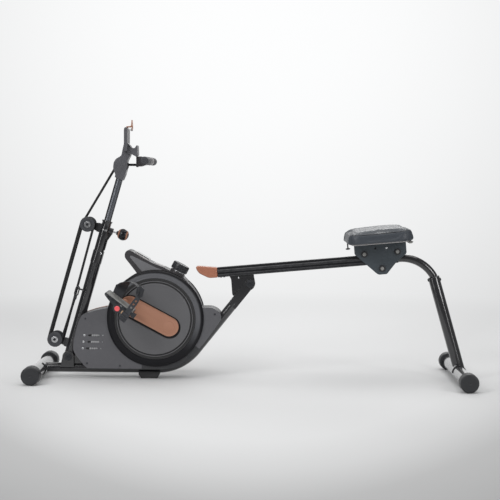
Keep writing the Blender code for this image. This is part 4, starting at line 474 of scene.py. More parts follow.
satin_plastic = finish_of(
    "satin_black_plastic", "black_plastic", (0.022, 0.023, 0.026), (0.07, 0.07, 0.075), 0.46, grain=1300.0,
    depth=0.00004,
)
inner = FOOT_TUBE_RADIUS + 0.0003
cap_profile = [
    (inner, 0.0), (CAP_RADIUS - 0.0022, 0.0), (CAP_RADIUS - 0.0008, 0.0006), (CAP_RADIUS, 0.002),
    (CAP_RADIUS, 0.007), (CAP_RADIUS - 0.0009, 0.008), (CAP_RADIUS - 0.0009, 0.01),
    (CAP_RADIUS - 0.0002, 0.011), (CAP_RADIUS, 0.0125), (CAP_RADIUS, 0.0415), (CAP_RADIUS - 0.0005, 0.044),
    (CAP_RADIUS - 0.0018, 0.046), (CAP_RADIUS - 0.0038, 0.0473), (CAP_RADIUS - 0.0065, 0.0478),
    (0.024, CAP_LENGTH), (0.004, CAP_LENGTH), (0.0032, 0.0474), (0.0, 0.047), (0.0, 0.0424), (inner, 0.0424),
]
for name, x, half, body in (
    ("front_cap", FRONT_FOOT_X, FRONT_HALF, "base"),
    ("rear_cap", REAR_FOOT_X, REAR_HALF, "rail"),
):
    for word, side in SIDES:
        cap = sided(across(turned(cap_profile, 72, ring=True), x, FOOT_AXIS_Z, half - CAP_LENGTH), side)
        piece(f"{name}_moulded_{word}", cap, satin_plastic, body, (f"{name}_{word}",))

# The base is one 35 mm steel tube: a straight keel, one long bend, and a rise that ends in a forked lug for the
# rail. The saddle in front, the mast's cheek plates and the lug are welded on, and all of it is powder coated.
TUBE_RADIUS = 0.0175
TUBE_WALL = 0.002
TUBE_AXIS_Z = 0.0345
BEND_RADIUS = 0.18
RISE = math.radians(51.5)
FOLD_X, FOLD_Z = 0.0027, 0.3505
FORK_DEPTH = 0.088
FORK_HALF_GAP = 0.0132
LUG_REACH = TUBE_RADIUS - 0.0004
MAST_X, MAST_Z = -0.6625, 0.0768
CHEEK_HALF_GAP = 0.0205
CHEEK_THICKNESS = 0.004


def arc(centre, radius, start, end, steps):
    """Points on an arc in XZ, its angles from +X towards +Z."""
    turns = [start + (end - start) * i / steps for i in range(steps + 1)]
    return [(centre[0] + radius * math.cos(a), centre[1] + radius * math.sin(a)) for a in turns]


def plate(outline, low, high):
    """A flat solid with its outline in XZ, from one Y to another."""
    mesh = bmesh.new()
    near = [mesh.verts.new((x, low, z)) for x, z in outline]
    far = [mesh.verts.new((x, high, z)) for x, z in outline]
    mesh.faces.new(near)
    mesh.faces.new(list(reversed(far)))
    for i in range(len(outline)):
        k = (i + 1) % len(outline)
        mesh.faces.new((near[i], far[i], far[k], near[k]))
    bmesh.ops.recalc_face_normals(mesh, faces=mesh.faces)
    return mesh


def block(x0, x1, y0, y1, z0, z1):
    return plate([(x0, z0), (x1, z0), (x1, z1), (x0, z1)], y0, y1)


def drawn(points, radius, sides=32, wall=0.0):
    """A bar or tube along a path, with UVs in metres round it and along it."""
    path = [Vector(p) if len(p) == 3 else Vector((p[0], 0.0, p[1])) for p in points]
    last = len(path) - 1
    ways = [(path[min(i + 1, last)] - path[max(i - 1, 0)]).normalized() for i in range(last + 1)]
    mesh = bmesh.new()
    uv = mesh.loops.layers.uv.new("along")
    side = ways[0].cross(Vector((0.0, 1.0, 0.0)))
    if side.length < 0.1:
        side = ways[0].cross(Vector((1.0, 0.0, 0.0)))
    skins = [radius, radius - wall] if wall else [radius]
    rings = [[] for _ in skins]
    lengths = [0.0]
    turns = [2 * math.pi * k / sides for k in range(sides)]
    for i, (point, way) in enumerate(zip(path, ways)):
        side = (side - way * side.dot(way)).normalized()
        other = way.cross(side)
        if i:
            lengths.append(lengths[-1] + (point - path[i - 1]).length)
        for rows, size in zip(rings, skins):
            rows.append([mesh.verts.new(point + (side * math.cos(a) + other * math.sin(a)) * size) for a in turns])
    for rows, size in zip(rings, skins):
        for i in range(last):
            for k in range(sides):
                n = (k + 1) % sides
                face = mesh.faces.new((rows[i][k], rows[i][n], rows[i + 1][n], rows[i + 1][k]))
                for loop, (turn, step) in zip(face.loops, ((k, i), (k + 1, i), (k + 1, i + 1), (k, i + 1))):
                    loop[uv].uv = (turn / sides * 2 * math.pi * size, lengths[step])
    for end in (0, -1):
        if not wall:
            mesh.faces.new(rings[0][end])
            continue
        for k in range(sides):
            n = (k + 1) % sides
            mesh.faces.new((rings[0][end][k], rings[0][end][n], rings[1][end][n], rings[1][end][k]))
    bmesh.ops.recalc_face_normals(mesh, faces=mesh.faces)
    return mesh


def saddle(x, start, end, wall=0.003, half=0.036):
    """A plate rolled round a foot tube, from one angle to another."""
    inner = FOOT_TUBE_RADIUS + 0.0003
    outline = arc((x, FOOT_AXIS_Z), inner + wall, start, end, 28) + arc((x, FOOT_AXIS_Z), inner, end, start, 28)
    return plate(outline, -half, half)


def weld_bead(centre, radius, way, size=0.0015, sides=60):
    """A fillet weld laid round a tube: a thin ring with the ripples of its passes."""
    up = Vector(way).normalized()
    side = up.cross(Vector((0.0, 1.0, 0.0))).normalized()
    other = up.cross(side)
    rows = []
    for i in range(sides):
        turn = 2 * math.pi * i / sides
        out = side * math.cos(turn) + other * math.sin(turn)
        bulge = size * (1.0 + 0.22 * (i % 2))
        tilts = [2 * math.pi * k / 6 for k in range(6)]
        spots = [out * (radius + bulge * math.cos(t)) + up * bulge * math.sin(t) for t in tilts]
        rows.append([Vector(centre) + spot for spot in spots])
    return skin(rows, closed=False)


rise_way = Vector((math.cos(RISE), 0.0, math.sin(RISE)))
rise_side = Vector((-math.sin(RISE), 0.0, math.cos(RISE)))
fold = Vector((FOLD_X, 0.0, FOLD_Z))


def keel_path(short_by):
    """The base tube's centreline, which stops short of the fold bolt."""
    corner_x = FOLD_X - (FOLD_Z - TUBE_AXIS_Z) / math.tan(RISE)
    bend_centre = (corner_x - BEND_RADIUS * math.tan(RISE / 2), TUBE_AXIS_Z + BEND_RADIUS)
    bend = arc(bend_centre, BEND_RADIUS, -math.pi / 2, RISE - math.pi / 2, 24)
    end = fold - rise_way * short_by
    return [(FRONT_FOOT_X + 0.015, TUBE_AXIS_Z)] + bend + [(end.x, end.z)]


def in_fork(along, aside):
    """A point measured from the fold bolt, along the rising tube and square to it, in XZ."""
    point = fold + rise_way * along + rise_side * aside
    return (point.x, point.z)


foot_cut = across(rod(FOOT_TUBE_RADIUS + 0.0012, -0.1, 0.1, 64), FRONT_FOOT_X, FOOT_AXIS_Z)
keel = machined(drawn(keel_path(FORK_DEPTH + 0.004), TUBE_RADIUS, 48, TUBE_WALL), cuts=[foot_cut])
piece("base_tube_bent", keel, gloss_black, "base", ("base_tube",))
eye = arc((FOLD_X, FOLD_Z), LUG_REACH, RISE - math.pi / 2, RISE + math.pi / 2, 28)
lug_start = -FORK_DEPTH - 0.02
lug = [in_fork(lug_start, -LUG_REACH)] + eye + [in_fork(lug_start, LUG_REACH)]
slot = [in_fork(-FORK_DEPTH, -0.04), in_fork(0.04, -0.04), in_fork(0.04, 0.04), in_fork(-FORK_DEPTH, 0.04)]
bolt_hole = across(rod(0.0054, -0.05, 0.05, 32), FOLD_X, FOLD_Z)
lug = machined(plate(lug, -LUG_REACH, LUG_REACH), cuts=[plate(slot, -FORK_HALF_GAP, FORK_HALF_GAP), bolt_hole])
piece("base_fork_lug", lug, gloss_black, "base", ease=0.001)
cheek = [(MAST_X - 0.03, TUBE_AXIS_Z), (MAST_X + 0.021, TUBE_AXIS_Z)] + arc((MAST_X, MAST_Z), 0.021, 0.0, math.pi, 28)
outside = CHEEK_HALF_GAP + CHEEK_THICKNESS
cheeks = [plate(cheek, CHEEK_HALF_GAP, outside), plate(cheek, -outside, -CHEEK_HALF_GAP)]
cheeks.append(block(MAST_X - 0.03, MAST_X + 0.021, -outside, outside, TUBE_AXIS_Z, TUBE_AXIS_Z + 0.004))
piece("mast_cheek_plates", cheeks, gloss_black, "base", ease=0.0008)
front_saddle = saddle(FRONT_FOOT_X, math.radians(-62), math.radians(62))
piece("front_saddle", front_saddle, gloss_black, "base", ease=0.0007)
beads = [
    weld_bead((FRONT_FOOT_X + 0.0272, 0.0, TUBE_AXIS_Z), TUBE_RADIUS, (1, 0, 0)),
    weld_bead(fold - rise_way * (FORK_DEPTH + 0.0065), TUBE_RADIUS, rise_way, 0.0012),
]
piece("base_weld_beads", beads, gloss_black, "base")
gusset = mm((-641.5, 50.5), (-605.5, 50.5), (-620.8, 71.2), (-636.8, 93.8), (-640, 80))
piece("mast_foot_gusset", plate(gusset, -0.016, 0.016), gloss_black, "base", ease=0.001)

# The mast's foot and the rail's hinge are held by bright zinc plated bolts: a six sided head with a chamfered
# crown on a washer on the near side, and a lock nut on the far side. Small screws hold the saddles on the feet.
zinc = finish_of(
    "zinc_plate", "bright_steel", (0.62, 0.625, 0.64), (0.7, 0.7, 0.7), 0.3, metallic=1.0, grain=600.0, depth=0.00001,
    wear=0.2, dust=0.04,
)
dark_zinc = finish_of(
    "black_oxide", "bright_steel", (0.05, 0.052, 0.058), (0.2, 0.2, 0.21), 0.38, metallic=0.7, grain=600.0,
    depth=0.00002,
)


def washer(radius, bore, thickness):
    edge = thickness * 0.3
    profile = [(bore, 0.0), (radius, 0.0), (radius, thickness - edge), (radius - edge, thickness), (bore, thickness)]
    return turned(profile, 40, ring=True)


def hex_head(radius, height, socket=0.0):
    """A six sided head about Z with its seat at zero, a turned crown and perhaps a socket."""
    mesh = turned([(0.0, 0.0), (radius, 0.0), (radius, height), (0.0, height)], 6)
    crown = [(0.0, -0.001), (radius, -0.001), (radius, height - 0.0012), (radius * 0.86, height), (0.0, height)]
    result = machined(mesh, keeps=[turned(crown, 36)])
    return machined(result, cuts=[rod(socket, height * 0.4, height * 2, 6)]) if socket else result


def dome_head(radius, height, socket=0.45):
    """A domed head about Z with its seat at zero and a round dimple for its socket."""
    lifts = (0.0, 0.35, 0.7, 1.0, 1.25)
    dome = [(radius * math.cos(a), height * (0.35 + 0.65 * math.sin(a))) for a in lifts]
    hole = radius * socket
    dome = [point for point in dome if point[0] > hole]
    dimple = [(hole, height), (hole, height * 0.35), (0.0, height * 0.35)]
    return turned([(0.0, 0.0), (radius, 0.0)] + dome + dimple, 36)


def on_side(mesh, side, x, z, y):
    """Turns a head made about Z to face the near side (-1) or the far side (1), with its seat at a Y."""
    return sided(across(mesh, x, z, abs(y)), side)


def near_and_far(make, x, z, y):
    return [on_side(make(), side, x, z, y) for side in (-1, 1)]


for name, x, z, half, node in (
    ("mast_foot", MAST_X, MAST_Z, outside, "mast_foot_bolt"),
    ("rail_hinge", FOLD_X, FOLD_Z, TUBE_RADIUS, "fold_bolt"),
):
    shank = across(rod(0.005, -half - 0.004, half + 0.004, 32), x, z)
    washers = near_and_far(lambda: washer(0.0148, 0.0052, 0.002), x, z, half + 0.0004)
    piece(f"{name}_bolt", [shank] + washers, dark_zinc, "base", (node,))
    heads = near_and_far(lambda: hex_head(0.0094, 0.0058, 0.0042), x, z, half + 0.0024)
    piece(f"{name}_bolt_heads", heads, dark_zinc, "base", ease=0.0003)
for name, x, z, lean, body in (
    ("front_saddle_screw", FRONT_FOOT_X, FOOT_AXIS_Z, math.radians(-19), "base"),
    ("rear_saddle_screw", REAR_FOOT_X, FOOT_AXIS_Z, math.radians(120), "rail"),
):
    reach = FOOT_TUBE_RADIUS + 0.0003 + 0.003
    screws = []
    for y in (-0.0285, 0.0285):
        way = Vector((math.cos(lean), 0.0, math.sin(lean)))
        turn = way.to_track_quat("Z", "Y").to_matrix().to_4x4()
        seat = Matrix.Translation(Vector((x, y, z)) + way * reach)
        screws.append(moved(dome_head(0.0048, 0.0026), seat @ turn))
    piece(name, screws, zinc, body)

# A rubber foot under the keel keeps the frame off the floor. It is one moulding with a cradle for the tube, two
# fixing screws from below, and grip ribs along its lower edge.
FOOT_MIDDLE = -0.365
FOOT_HALF_LENGTH = 0.0385
FOOT_HALF_WIDTH = 0.025
FOOT_TAPER = 0.0085

black_rubber = finish_of(
    "black_rubber", "black_rubber", (0.02, 0.02, 0.021), (0.05, 0.05, 0.05), 0.72, grain=1600.0, depth=0.00006,
    dust=0.22,
)
low, high = FOOT_MIDDLE - FOOT_HALF_LENGTH, FOOT_MIDDLE + FOOT_HALF_LENGTH
foot_outline = [
    (low + FOOT_TAPER, 0.0), (high - FOOT_TAPER, 0.0), (high, 0.0145), (high, 0.0245), (low, 0.0245), (low, 0.0145),
]
cradle = drawn([(low - 0.02, TUBE_AXIS_Z), (high + 0.02, TUBE_AXIS_Z)], TUBE_RADIUS + 0.0003, 48)
ribs = [block(low + 0.012 + 0.0085 * i, low + 0.0145 + 0.0085 * i, -0.1, 0.1, 0.0022, 0.0052) for i in range(7)]
outer_ribs = []
for rib in ribs:
    for side in (-1, 1):
        twin = rib.copy()
        bmesh.ops.translate(twin, verts=twin.verts, vec=(0.0, side * (FOOT_HALF_WIDTH + 0.1 - 0.0012), 0.0))
        outer_ribs.append(twin)
    rib.free()
foot = machined(plate(foot_outline, -FOOT_HALF_WIDTH, FOOT_HALF_WIDTH), cuts=[cradle] + outer_ribs)
piece("mid_foot_rubber", foot, black_rubber, "base", ("mid_foot",), ease=0.001)

# Inside the casing a steel plate carries the crank's bearing, the brake and the flywheel, which a ribbed belt turns.
# These parts show only through the vents, so they keep the shapes of the frame and get their own finishes.
cast_iron = finish_of(
    "machined_iron", None, (0.4, 0.4, 0.41), (0.62, 0.62, 0.63), 0.34, metallic=0.9, grain=260.0, depth=0.00006,
    dust=0.02,
)
belt_rubber = finish_of(
    "belt_rubber", None, (0.018, 0.018, 0.019), (0.06, 0.06, 0.06), 0.62, grain=2400.0, depth=0.00005,
)
plate_paint = finish_of(
    "black_plate_paint", "casing_plastic", (0.014, 0.014, 0.016), (0.12, 0.12, 0.12), 0.42, grain=700.0,
    depth=0.00004,
)
cable_skin = finish_of(
    "cable_skin", None, (0.016, 0.016, 0.018), (0.05, 0.05, 0.05), 0.5, grain=1800.0, depth=0.00003,
)
for nodes, material in (
    (("flywheel",), cast_iron),
    (("drive_belt",), belt_rubber),
    (("core_plate",), plate_paint),
    (("magnet_bracket", "crank_axle"), zinc),
    (("crank_pulley",), satin_plastic),
    (("tension_cable",), cable_skin),
):
    for node in nodes:
        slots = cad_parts[node].data.materials
        slots.clear()
        slots.append(material)

# The casing is two shells of textured dark grey plastic, screwed together round the frame. Each has a raised drum
# round the crank, three vents over the flywheel, and a rounded edge that meets the other in a fine seam.
CRANK_X, CRANK_Z = -0.3411, 0.2228
CASE_HALF = 0.045
CASE_WALL = 0.003
RING_RADIUS = 0.1765
RING_FACE = 0.061
RECESS_RADIUS = 0.1535
RECESS_FLOOR = 0.0475
COLLAR_RADIUS = 0.0207
MAST_LEAN = math.radians(15.85)
KNOB_SEAT_X, KNOB_SEAT_Z = -0.2596, 0.3955
KNOB_TILT = math.radians(28.0)
VENTS = (
    (0.159, -0.5994, -0.5854, -0.5437, -0.5322), (0.135, -0.6028, -0.5884, -0.5438, -0.5334),
    (0.111, -0.6052, -0.5937, -0.5505, -0.5394),
)
VENT_HALF_HEIGHT = 0.0036

casing_plastic = finish_of(
    "casing_plastic", "casing_plastic", (0.092, 0.092, 0.102), (0.14, 0.14, 0.145), 0.47, grain=1500.0, depth=0.00007,
    swing=0.05, wear=0.35, dust=0.14,
)


def case_outline(inset=0.0):
    """The casing seen from the side: the drum, the fairing behind it, the sill, and the front round the mast."""
    drum = arc((CRANK_X, CRANK_Z), RING_RADIUS - 0.003 - inset, math.radians(167.0), math.radians(13.5), 48)
    fairing = [
        (-0.145 - inset * 0.3, 0.264 - inset), (-0.133 - inset * 0.5, 0.2622 - inset),
        (-0.124 - inset * 0.6, 0.2585 - inset * 0.9), (-0.114 - inset * 0.8, 0.2525 - inset * 0.6),
        (-0.106 - inset, 0.2445 - inset * 0.3), (-0.102 - inset, 0.232), (-0.102 - inset, 0.22),
    ]
    sill = [
        (-0.1254 - inset, 0.1844), (-0.1601 - inset * 0.7, 0.137 + inset * 0.5), (-0.2, 0.09 + inset),
        (-0.224, 0.069 + inset), (-0.25, 0.052 + inset), (-0.277, 0.042 + inset), (-0.305, 0.0378 + inset),
        (-0.589, 0.0378 + inset),
    ]
    front = [
        (-0.6035 + inset * 0.7, 0.0508 + inset * 0.7), (-0.6196 + inset, 0.0716 + inset * 0.4),
        (-0.63 + inset, 0.084), (-0.6361 + inset, 0.0949), (-0.64 + inset, 0.104), (-0.6408 + inset, 0.1136),
        (-0.6403 + inset, 0.125), (-0.639 + inset, 0.1367), (-0.633 + inset, 0.1625), (-0.6269 + inset, 0.1882),
        (-0.6216 + inset, 0.205), (-0.616 + inset, 0.219), (-0.6127 + inset, 0.2266 - inset * 0.2),
        (-0.6084 + inset, 0.2325 - inset * 0.4), (-0.6014 + inset * 0.7, 0.2368 - inset * 0.6),
        (-0.5922 + inset * 0.5, 0.2395 - inset * 0.8), (-0.5672 + inset * 0.2, 0.248 - inset),
        (-0.54, 0.2546 - inset), (-0.514, 0.26 - inset),
    ]
    return drum + fairing + sill + front


def long_hole(x, z, length, half, low, high):
    """A slot with round ends, cut across a shell."""
    right = arc((x + length - half, z), half, -math.pi / 2, math.pi / 2, 10)
    left = arc((x + half, z), half, math.pi / 2, 3 * math.pi / 2, 10)
    return plate(right + left, low, high)


mast_frame = frame_at(MAST_X, MAST_Z, MAST_LEAN)
knob_frame = frame_at(KNOB_SEAT_X, KNOB_SEAT_Z, KNOB_TILT)
for word, side in SIDES:
    body = plate(case_outline(), 0.0002, CASE_HALF)
    ring = across(rod(RING_RADIUS - 0.0025, 0.03, RING_FACE - 0.011, 128, 0.0008), CRANK_X, CRANK_Z)
    cavity = plate(case_outline(CASE_WALL), -0.01, CASE_HALF - CASE_WALL)
    hollow = [(0.0, -0.02), (0.01, -0.02), (0.01, RECESS_FLOOR), (RECESS_RADIUS, RECESS_FLOOR)]
    recess = across(turned(hollow + [(RECESS_RADIUS, 0.09), (0.0, 0.09)], 128), CRANK_X, CRANK_Z)
    keel_cut = drawn(keel_path(-0.1), TUBE_RADIUS + 0.0005, 40)
    mast_cut = moved(rod(COLLAR_RADIUS, -0.06, 0.3, 48), mast_frame)
    knob_cut = moved(rod(0.007, -0.06, 0.01, 24), knob_frame)
    vents = [long_hole(low, z, high - low, VENT_HALF_HEIGHT, 0.03, 0.06) for z, screw, low, high, spot in VENTS]
    shell = [sided(mesh, side) for mesh in [body, ring, cavity, recess, keel_cut, mast_cut, knob_cut] + vents]
    shell = machined(shell[0], joins=[shell[1]], cuts=shell[2:])
    name = f"casing_shell_{word}"
    piece(name, shell, casing_plastic, "base", (f"casing_{word}",), ease=0.0018, steps=3)

# A glossy dark ring is pressed over the drum of each shell. Its inner lip stands round the crank disc, and its face
# falls away to the outside in one long curve. Its face is painted paler towards the upper right: a painted highlight.
# The radii and the colour of the painted highlight on the ring's face.
HIGHLIGHT_INNER, HIGHLIGHT_OUTER = 0.162, 0.169
PAINTED_HIGHLIGHT_COLOUR = (0.115, 0.117, 0.126, 1.0)
ring_gloss = finish_of(
    "ring_gloss", "casing_plastic", (0.012, 0.012, 0.014), (0.09, 0.09, 0.095), 0.34, grain=700.0, depth=0.00001,
    dust=0.06, Specular_IOR_Level=0.14,
)
# The face is painted paler on its upper right, between two radii: a painted highlight.
tree, shader, clean = shader_of(ring_gloss)
spot = parted(tree, put(tree, "ShaderNodeNewGeometry").outputs["Position"])
back = math_of(tree, "SUBTRACT", spot["X"], CRANK_X)
rise = math_of(tree, "SUBTRACT", spot["Z"], CRANK_Z)
upward = math_of(tree, "ADD", math_of(tree, "MULTIPLY", back, 0.5), math_of(tree, "MULTIPLY", rise, 0.866))
squares = math_of(tree, "ADD", math_of(tree, "MULTIPLY", back, back), math_of(tree, "MULTIPLY", rise, rise))
top = ranged(tree, upward, From_Min=-0.055, From_Max=0.095)
face = ranged(tree, squares, From_Min=HIGHLIGHT_OUTER ** 2, From_Max=HIGHLIGHT_INNER ** 2)
painted_highlight = mixed(tree, math_of(tree, "MULTIPLY", top, face), clean, PAINTED_HIGHLIGHT_COLOUR)
tree.links.new(painted_highlight, shader.inputs["Base Color"])
RING_LIP = 0.1478
RING_PROFILE = (
    (RECESS_RADIUS, 0.048), (RECESS_RADIUS, 0.0583), (RING_LIP, 0.059), (RING_LIP, 0.0602), (0.1483, 0.0609),
    (0.149, RING_FACE), (0.1508, RING_FACE), (0.1516, 0.0605), (0.153, 0.0601), (0.156, 0.0598), (0.16, 0.0592),
    (0.1635, 0.0583), (0.1665, 0.0571), (0.1695, 0.0554), (0.172, 0.0534), (0.1742, 0.0509), (0.1757, 0.0486),
    (RING_RADIUS, 0.0464), (RING_RADIUS, 0.0452), (RING_RADIUS - 0.0028, 0.0452), (RING_RADIUS - 0.0028, 0.048),
)
for word, side in SIDES:
    ring = sided(across(turned(RING_PROFILE, 160, ring=True), CRANK_X, CRANK_Z), side)
    piece(f"casing_ring_{word}", ring, ring_gloss, "base", sharp=50.0)

# A black strip lies on each shell under the drum, where the sill meets the frame's bend: a dark sheet that paints the
# shade under the drum. It stands half a millimetre proud, and its upper edge follows the ring.
bend_edge = mm((-180, 113.6), (-200, 90), (-224, 69), (-250, 52), (-277, 42), (-305, 37.8), (-390, 37.8))
bend_edge += arc((CRANK_X, CRANK_Z), RING_RADIUS - 0.0004, math.radians(-106), math.radians(-34), 30)
shade_strips = [plate(bend_edge, side * (CASE_HALF - 0.001), side * (CASE_HALF + 0.0005)) for side in (-1, 1)]
piece("casing_bend_shade_strips", shade_strips, satin_plastic, "base")

# Each vent has a pale louvre clipped into its rear part, a bright screw ahead of it and a small pin behind it. Black
# gauze lies behind the open end.
SLAT_PITCH = 0.0078
louvre_plastic = finish_of(
    "louvre_plastic", "casing_plastic", (0.38, 0.38, 0.39), (0.5, 0.5, 0.51), 0.42, grain=1200.0, depth=0.00003,
)
louvres, bright, gauze = [], [], []
for z, screw, low, high, spot in VENTS:
    start = low + 0.0125
    for side in (-1, 1):
        bars = [block(start, high - 0.0012, 0.0405, 0.042, z - 0.0031, z + 0.0031)]
        for i in range(int((high - start) / SLAT_PITCH)):
            x = start + SLAT_PITCH * i
            slat = [(x, z - 0.0032), (x + 0.0046, z - 0.0032), (x + 0.0062, z + 0.0032), (x + 0.0016, z + 0.0032)]
            bars.append(plate(slat, 0.041, 0.045))
        screen = block(low - 0.002, high + 0.002, 0.0395, 0.0402, z - 0.005, z + 0.005)
        louvres += [sided(bar, side) for bar in bars]
        gauze.append(sided(screen, side))
        bright.append(on_side(dome_head(0.0042, 0.0019, 0.3), side, screw, z, CASE_HALF - 0.0002))
        bright.append(on_side(dome_head(0.0017, 0.0008, 0.3), side, spot, z, CASE_HALF - 0.0002))
piece("vent_louvres", louvres, louvre_plastic, "base", ease=0.0002)
piece("vent_gauze", gauze, plate_paint, "base")
piece("vent_screws", bright, zinc, "base")

# A thin copper coloured bead lies in the seam along the top of the front shells: its colour paints the light
# reflected along the seam. Countersunk screws hold the two shells together. The screws are black and sit in shallow
# wells.
SCREWS = mm((-596, 220), (-590, 56), (-124, 240), (-225, 83), (-470, 48))

copper = finish_of(
    "copper_paint", "copper_plastic", (0.47, 0.235, 0.155), (0.62, 0.36, 0.26), 0.36, metallic=0.35, grain=900.0,
    depth=0.00002, swing=0.05, dust=0.06, mottle=0.05,
)
seam_bead_path = [(x, z + 0.0004) for x, z in case_outline() if x < -0.51 and z > 0.225][::-1]
seam_reflection_bead = drawn([(x, CASE_HALF - 0.0012, z) for x, z in seam_bead_path], 0.0015, 10)
piece("casing_seam_reflection_bead", seam_reflection_bead, copper, "base")
head = mm((0, 0), (3.8, 0), (3, 1.1), (1.3, 1.3), (1.3, 0.3), (0, 0.3))
screws = []
for x, z in SCREWS:
    screws += near_and_far(lambda: turned(head, 28), x, z, CASE_HALF)
piece("casing_screws", screws, dark_zinc, "base")

# The crank discs turn in the recesses of the casing. They are turned smooth in the same plastic, with two black rings
# laid in the grooves near the rim, and a pocket for the arm. A black liner on the pocket's floor paints its shadow.
DISC_FACE = 0.065
DISC_BACK = 0.055
CRANK_ANGLE = math.radians(152.0)
CRANK_LENGTH = 0.125
ARM_HALF_WIDTH = 0.035
ARM_LONG_END = 0.138
ARM_SHORT_END = 0.094
ARM_BACK = 0.0615
ARM_FACE = 0.0695
POCKET_FLOOR = 0.0575
POCKET_GAP = 0.0062
POCKET_SHIFT = (-0.0015, 0.0, 0.0018)

disc_plastic = finish_of(
    "disc_plastic", "casing_plastic", (0.112, 0.112, 0.118), (0.16, 0.16, 0.165), 0.4, grain=1500.0, depth=0.00005,
    wear=0.3, dust=0.1,
)


def stadium(half_length, radius, steps=24):
    right = arc((half_length, 0.0), radius, -math.pi / 2, math.pi / 2, steps)
    left = arc((-half_length, 0.0), radius, math.pi / 2, 3 * math.pi / 2, steps)
    return right + left


arm_middle = (ARM_LONG_END - ARM_SHORT_END) / 2
arm_reach = (ARM_LONG_END + ARM_SHORT_END) / 2 - ARM_HALF_WIDTH
CRANKS = (("near", -1, CRANK_ANGLE), ("far", 1, CRANK_ANGLE + math.pi))
for word, side, angle in CRANKS:
    place = frame_at(CRANK_X, CRANK_Z, -angle) @ Matrix.Translation((arm_middle, 0.0, 0.0))
    profile = [
        (0.0089, 0.0495), (0.026, 0.0495), (0.028, DISC_BACK), (0.1455, DISC_BACK), (0.147, DISC_BACK + 0.0015),
        (0.147, 0.0596), (0.138, 0.06), (0.1378, 0.0634), (0.1372, 0.064), (0.1356, 0.064), (0.135, 0.0634),
        (0.1347, 0.06), (0.1298, 0.06), (0.1294, 0.0638), (0.128, DISC_FACE), (0.0089, DISC_FACE),
    ]
    disc = across(turned(profile, 144, ring=True), CRANK_X, CRANK_Z)
    pocket_place = place @ Matrix.Translation(POCKET_SHIFT)
    pocket = moved(plate(stadium(arm_reach, ARM_HALF_WIDTH + POCKET_GAP), POCKET_FLOOR, 0.09), pocket_place)
    # The liner is a black sheet on the pocket's floor: painted shadow in the pocket.
    pocket_shade_liner = moved(plate(stadium(arm_reach, ARM_HALF_WIDTH + POCKET_GAP), POCKET_FLOOR - 0.0003, 0.0582), pocket_place)
    pad = moved(plate(stadium(arm_reach, ARM_HALF_WIDTH - 0.004), 0.058, ARM_BACK), place)
    groove_rings = [across(turned([(low, 0.0597), (high, 0.0597), (high, 0.0608), (low, 0.0608)], 144, ring=True),
                    CRANK_X, CRANK_Z) for low, high in ((0.1299, 0.1346), (0.1381, 0.1466))]
    parts = [sided(mesh, side) for mesh in [disc, pocket, pocket_shade_liner, pad] + groove_rings]
    disc = machined(parts[0], cuts=[parts[1]])
    piece(f"crank_pocket_shade_{word}", parts[2:], black_rubber, "crank")
    name = f"crank_disc_turned_{word}"
    piece(name, disc, disc_plastic, "crank", (f"crank_disc_{word}",), ease=0.0004)

# The crank arms are copper painted castings with rounded shoulders, a shallow dished panel, and a boss for the
# pedal's spindle, which is bright steel. A flush round cover at the short end hides the balance weight.
COVER_REACH = 0.059
COVER_PROFILE = mm((0, 0), (20, 0), (20, 0.2), (19.6, 0.5), (18.8, 0.6), (18, 0.4), (0, 0.4))
ARM_ROWS = (
    (0.0, ARM_FACE - ARM_BACK), (0.0, 0.0024), (0.0007, 0.0011), (0.0021, 0.0003), (0.0042, 0.0), (0.01, 0.0),
    (0.013, 0.0009),
)
for word, side, angle in CRANKS:
    middle = frame_at(CRANK_X, CRANK_Z, -angle) @ Matrix.Translation((arm_middle, 0.0, 0.0))
    pedal_x = CRANK_X + CRANK_LENGTH * math.cos(angle)
    pedal_z = CRANK_Z + CRANK_LENGTH * math.sin(angle)
    arm = moved(skin([[(x, ARM_FACE - drop, z) for x, z in stadium(arm_reach, ARM_HALF_WIDTH - inset)]
                      for inset, drop in ARM_ROWS]), middle)
    boss = mm((0, 64), (15, 64), (14.2, 72), (12.2, 74), (11.5, 103.5), (10.8, 104), (0, 104))
    spindle = across(turned(boss, 48), pedal_x, pedal_z)
    arm_cut = across(rod(0.0089, 0.0, 0.0665, 32), CRANK_X, CRANK_Z)
    parts = [sided(mesh, side) for mesh in (arm, spindle, arm_cut)]
    arm = machined(parts[0], joins=[parts[1]], cuts=[parts[2]])
    piece(f"crank_arm_cast_{word}", arm, copper, "crank", (f"crank_arm_{word}",), sharp=30.0)
    shaft = sided(across(rod(0.0068, 0.1035, 0.2005, 32), pedal_x, pedal_z), side)
    piece(f"pedal_spindle_{word}", shaft, zinc, "crank")
    x = CRANK_X - COVER_REACH * math.cos(angle)
    z = CRANK_Z - COVER_REACH * math.sin(angle)
    cover = on_side(turned(COVER_PROFILE, 48), side, x, z, ARM_FACE - 0.0009)
    piece(f"crank_cover_{word}", cover, copper, "crank")

# The console is a wedge shaped pod that stands on the drum: a dark moulding with a paler panel set in each side, a
# glass display in a pale bezel on its slope, a pad of three keys, and a collar for the tension knob.
POD_HALF_WIDTH = 0.04
KEY_X, KEY_Z = -0.33, 0.4155
KEY_LEAN = math.atan2(0.0137, 0.0362)
POD_TOP = mm(
    (-426.3, 409.9), (-448, 437), (-451.8, 442.5), (-453.2, 448), (-453.5, 453), (-452.8, 457.5), (-450.5, 463),
    (-447, 467), (-442.8, 469.7), (-438, 470.5), (-431, 468.7), (-424, 465), (-383.4, 439.7), (-345, 421.5),
    (-308.8, 407.8),
)
PANEL = mm(
    (-434.1, 444.1), (-434.3, 448.5), (-431.8, 450.8), (-426.1, 450), (-375.5, 425.8), (-341.1, 409), (-318.1, 399.9),
)

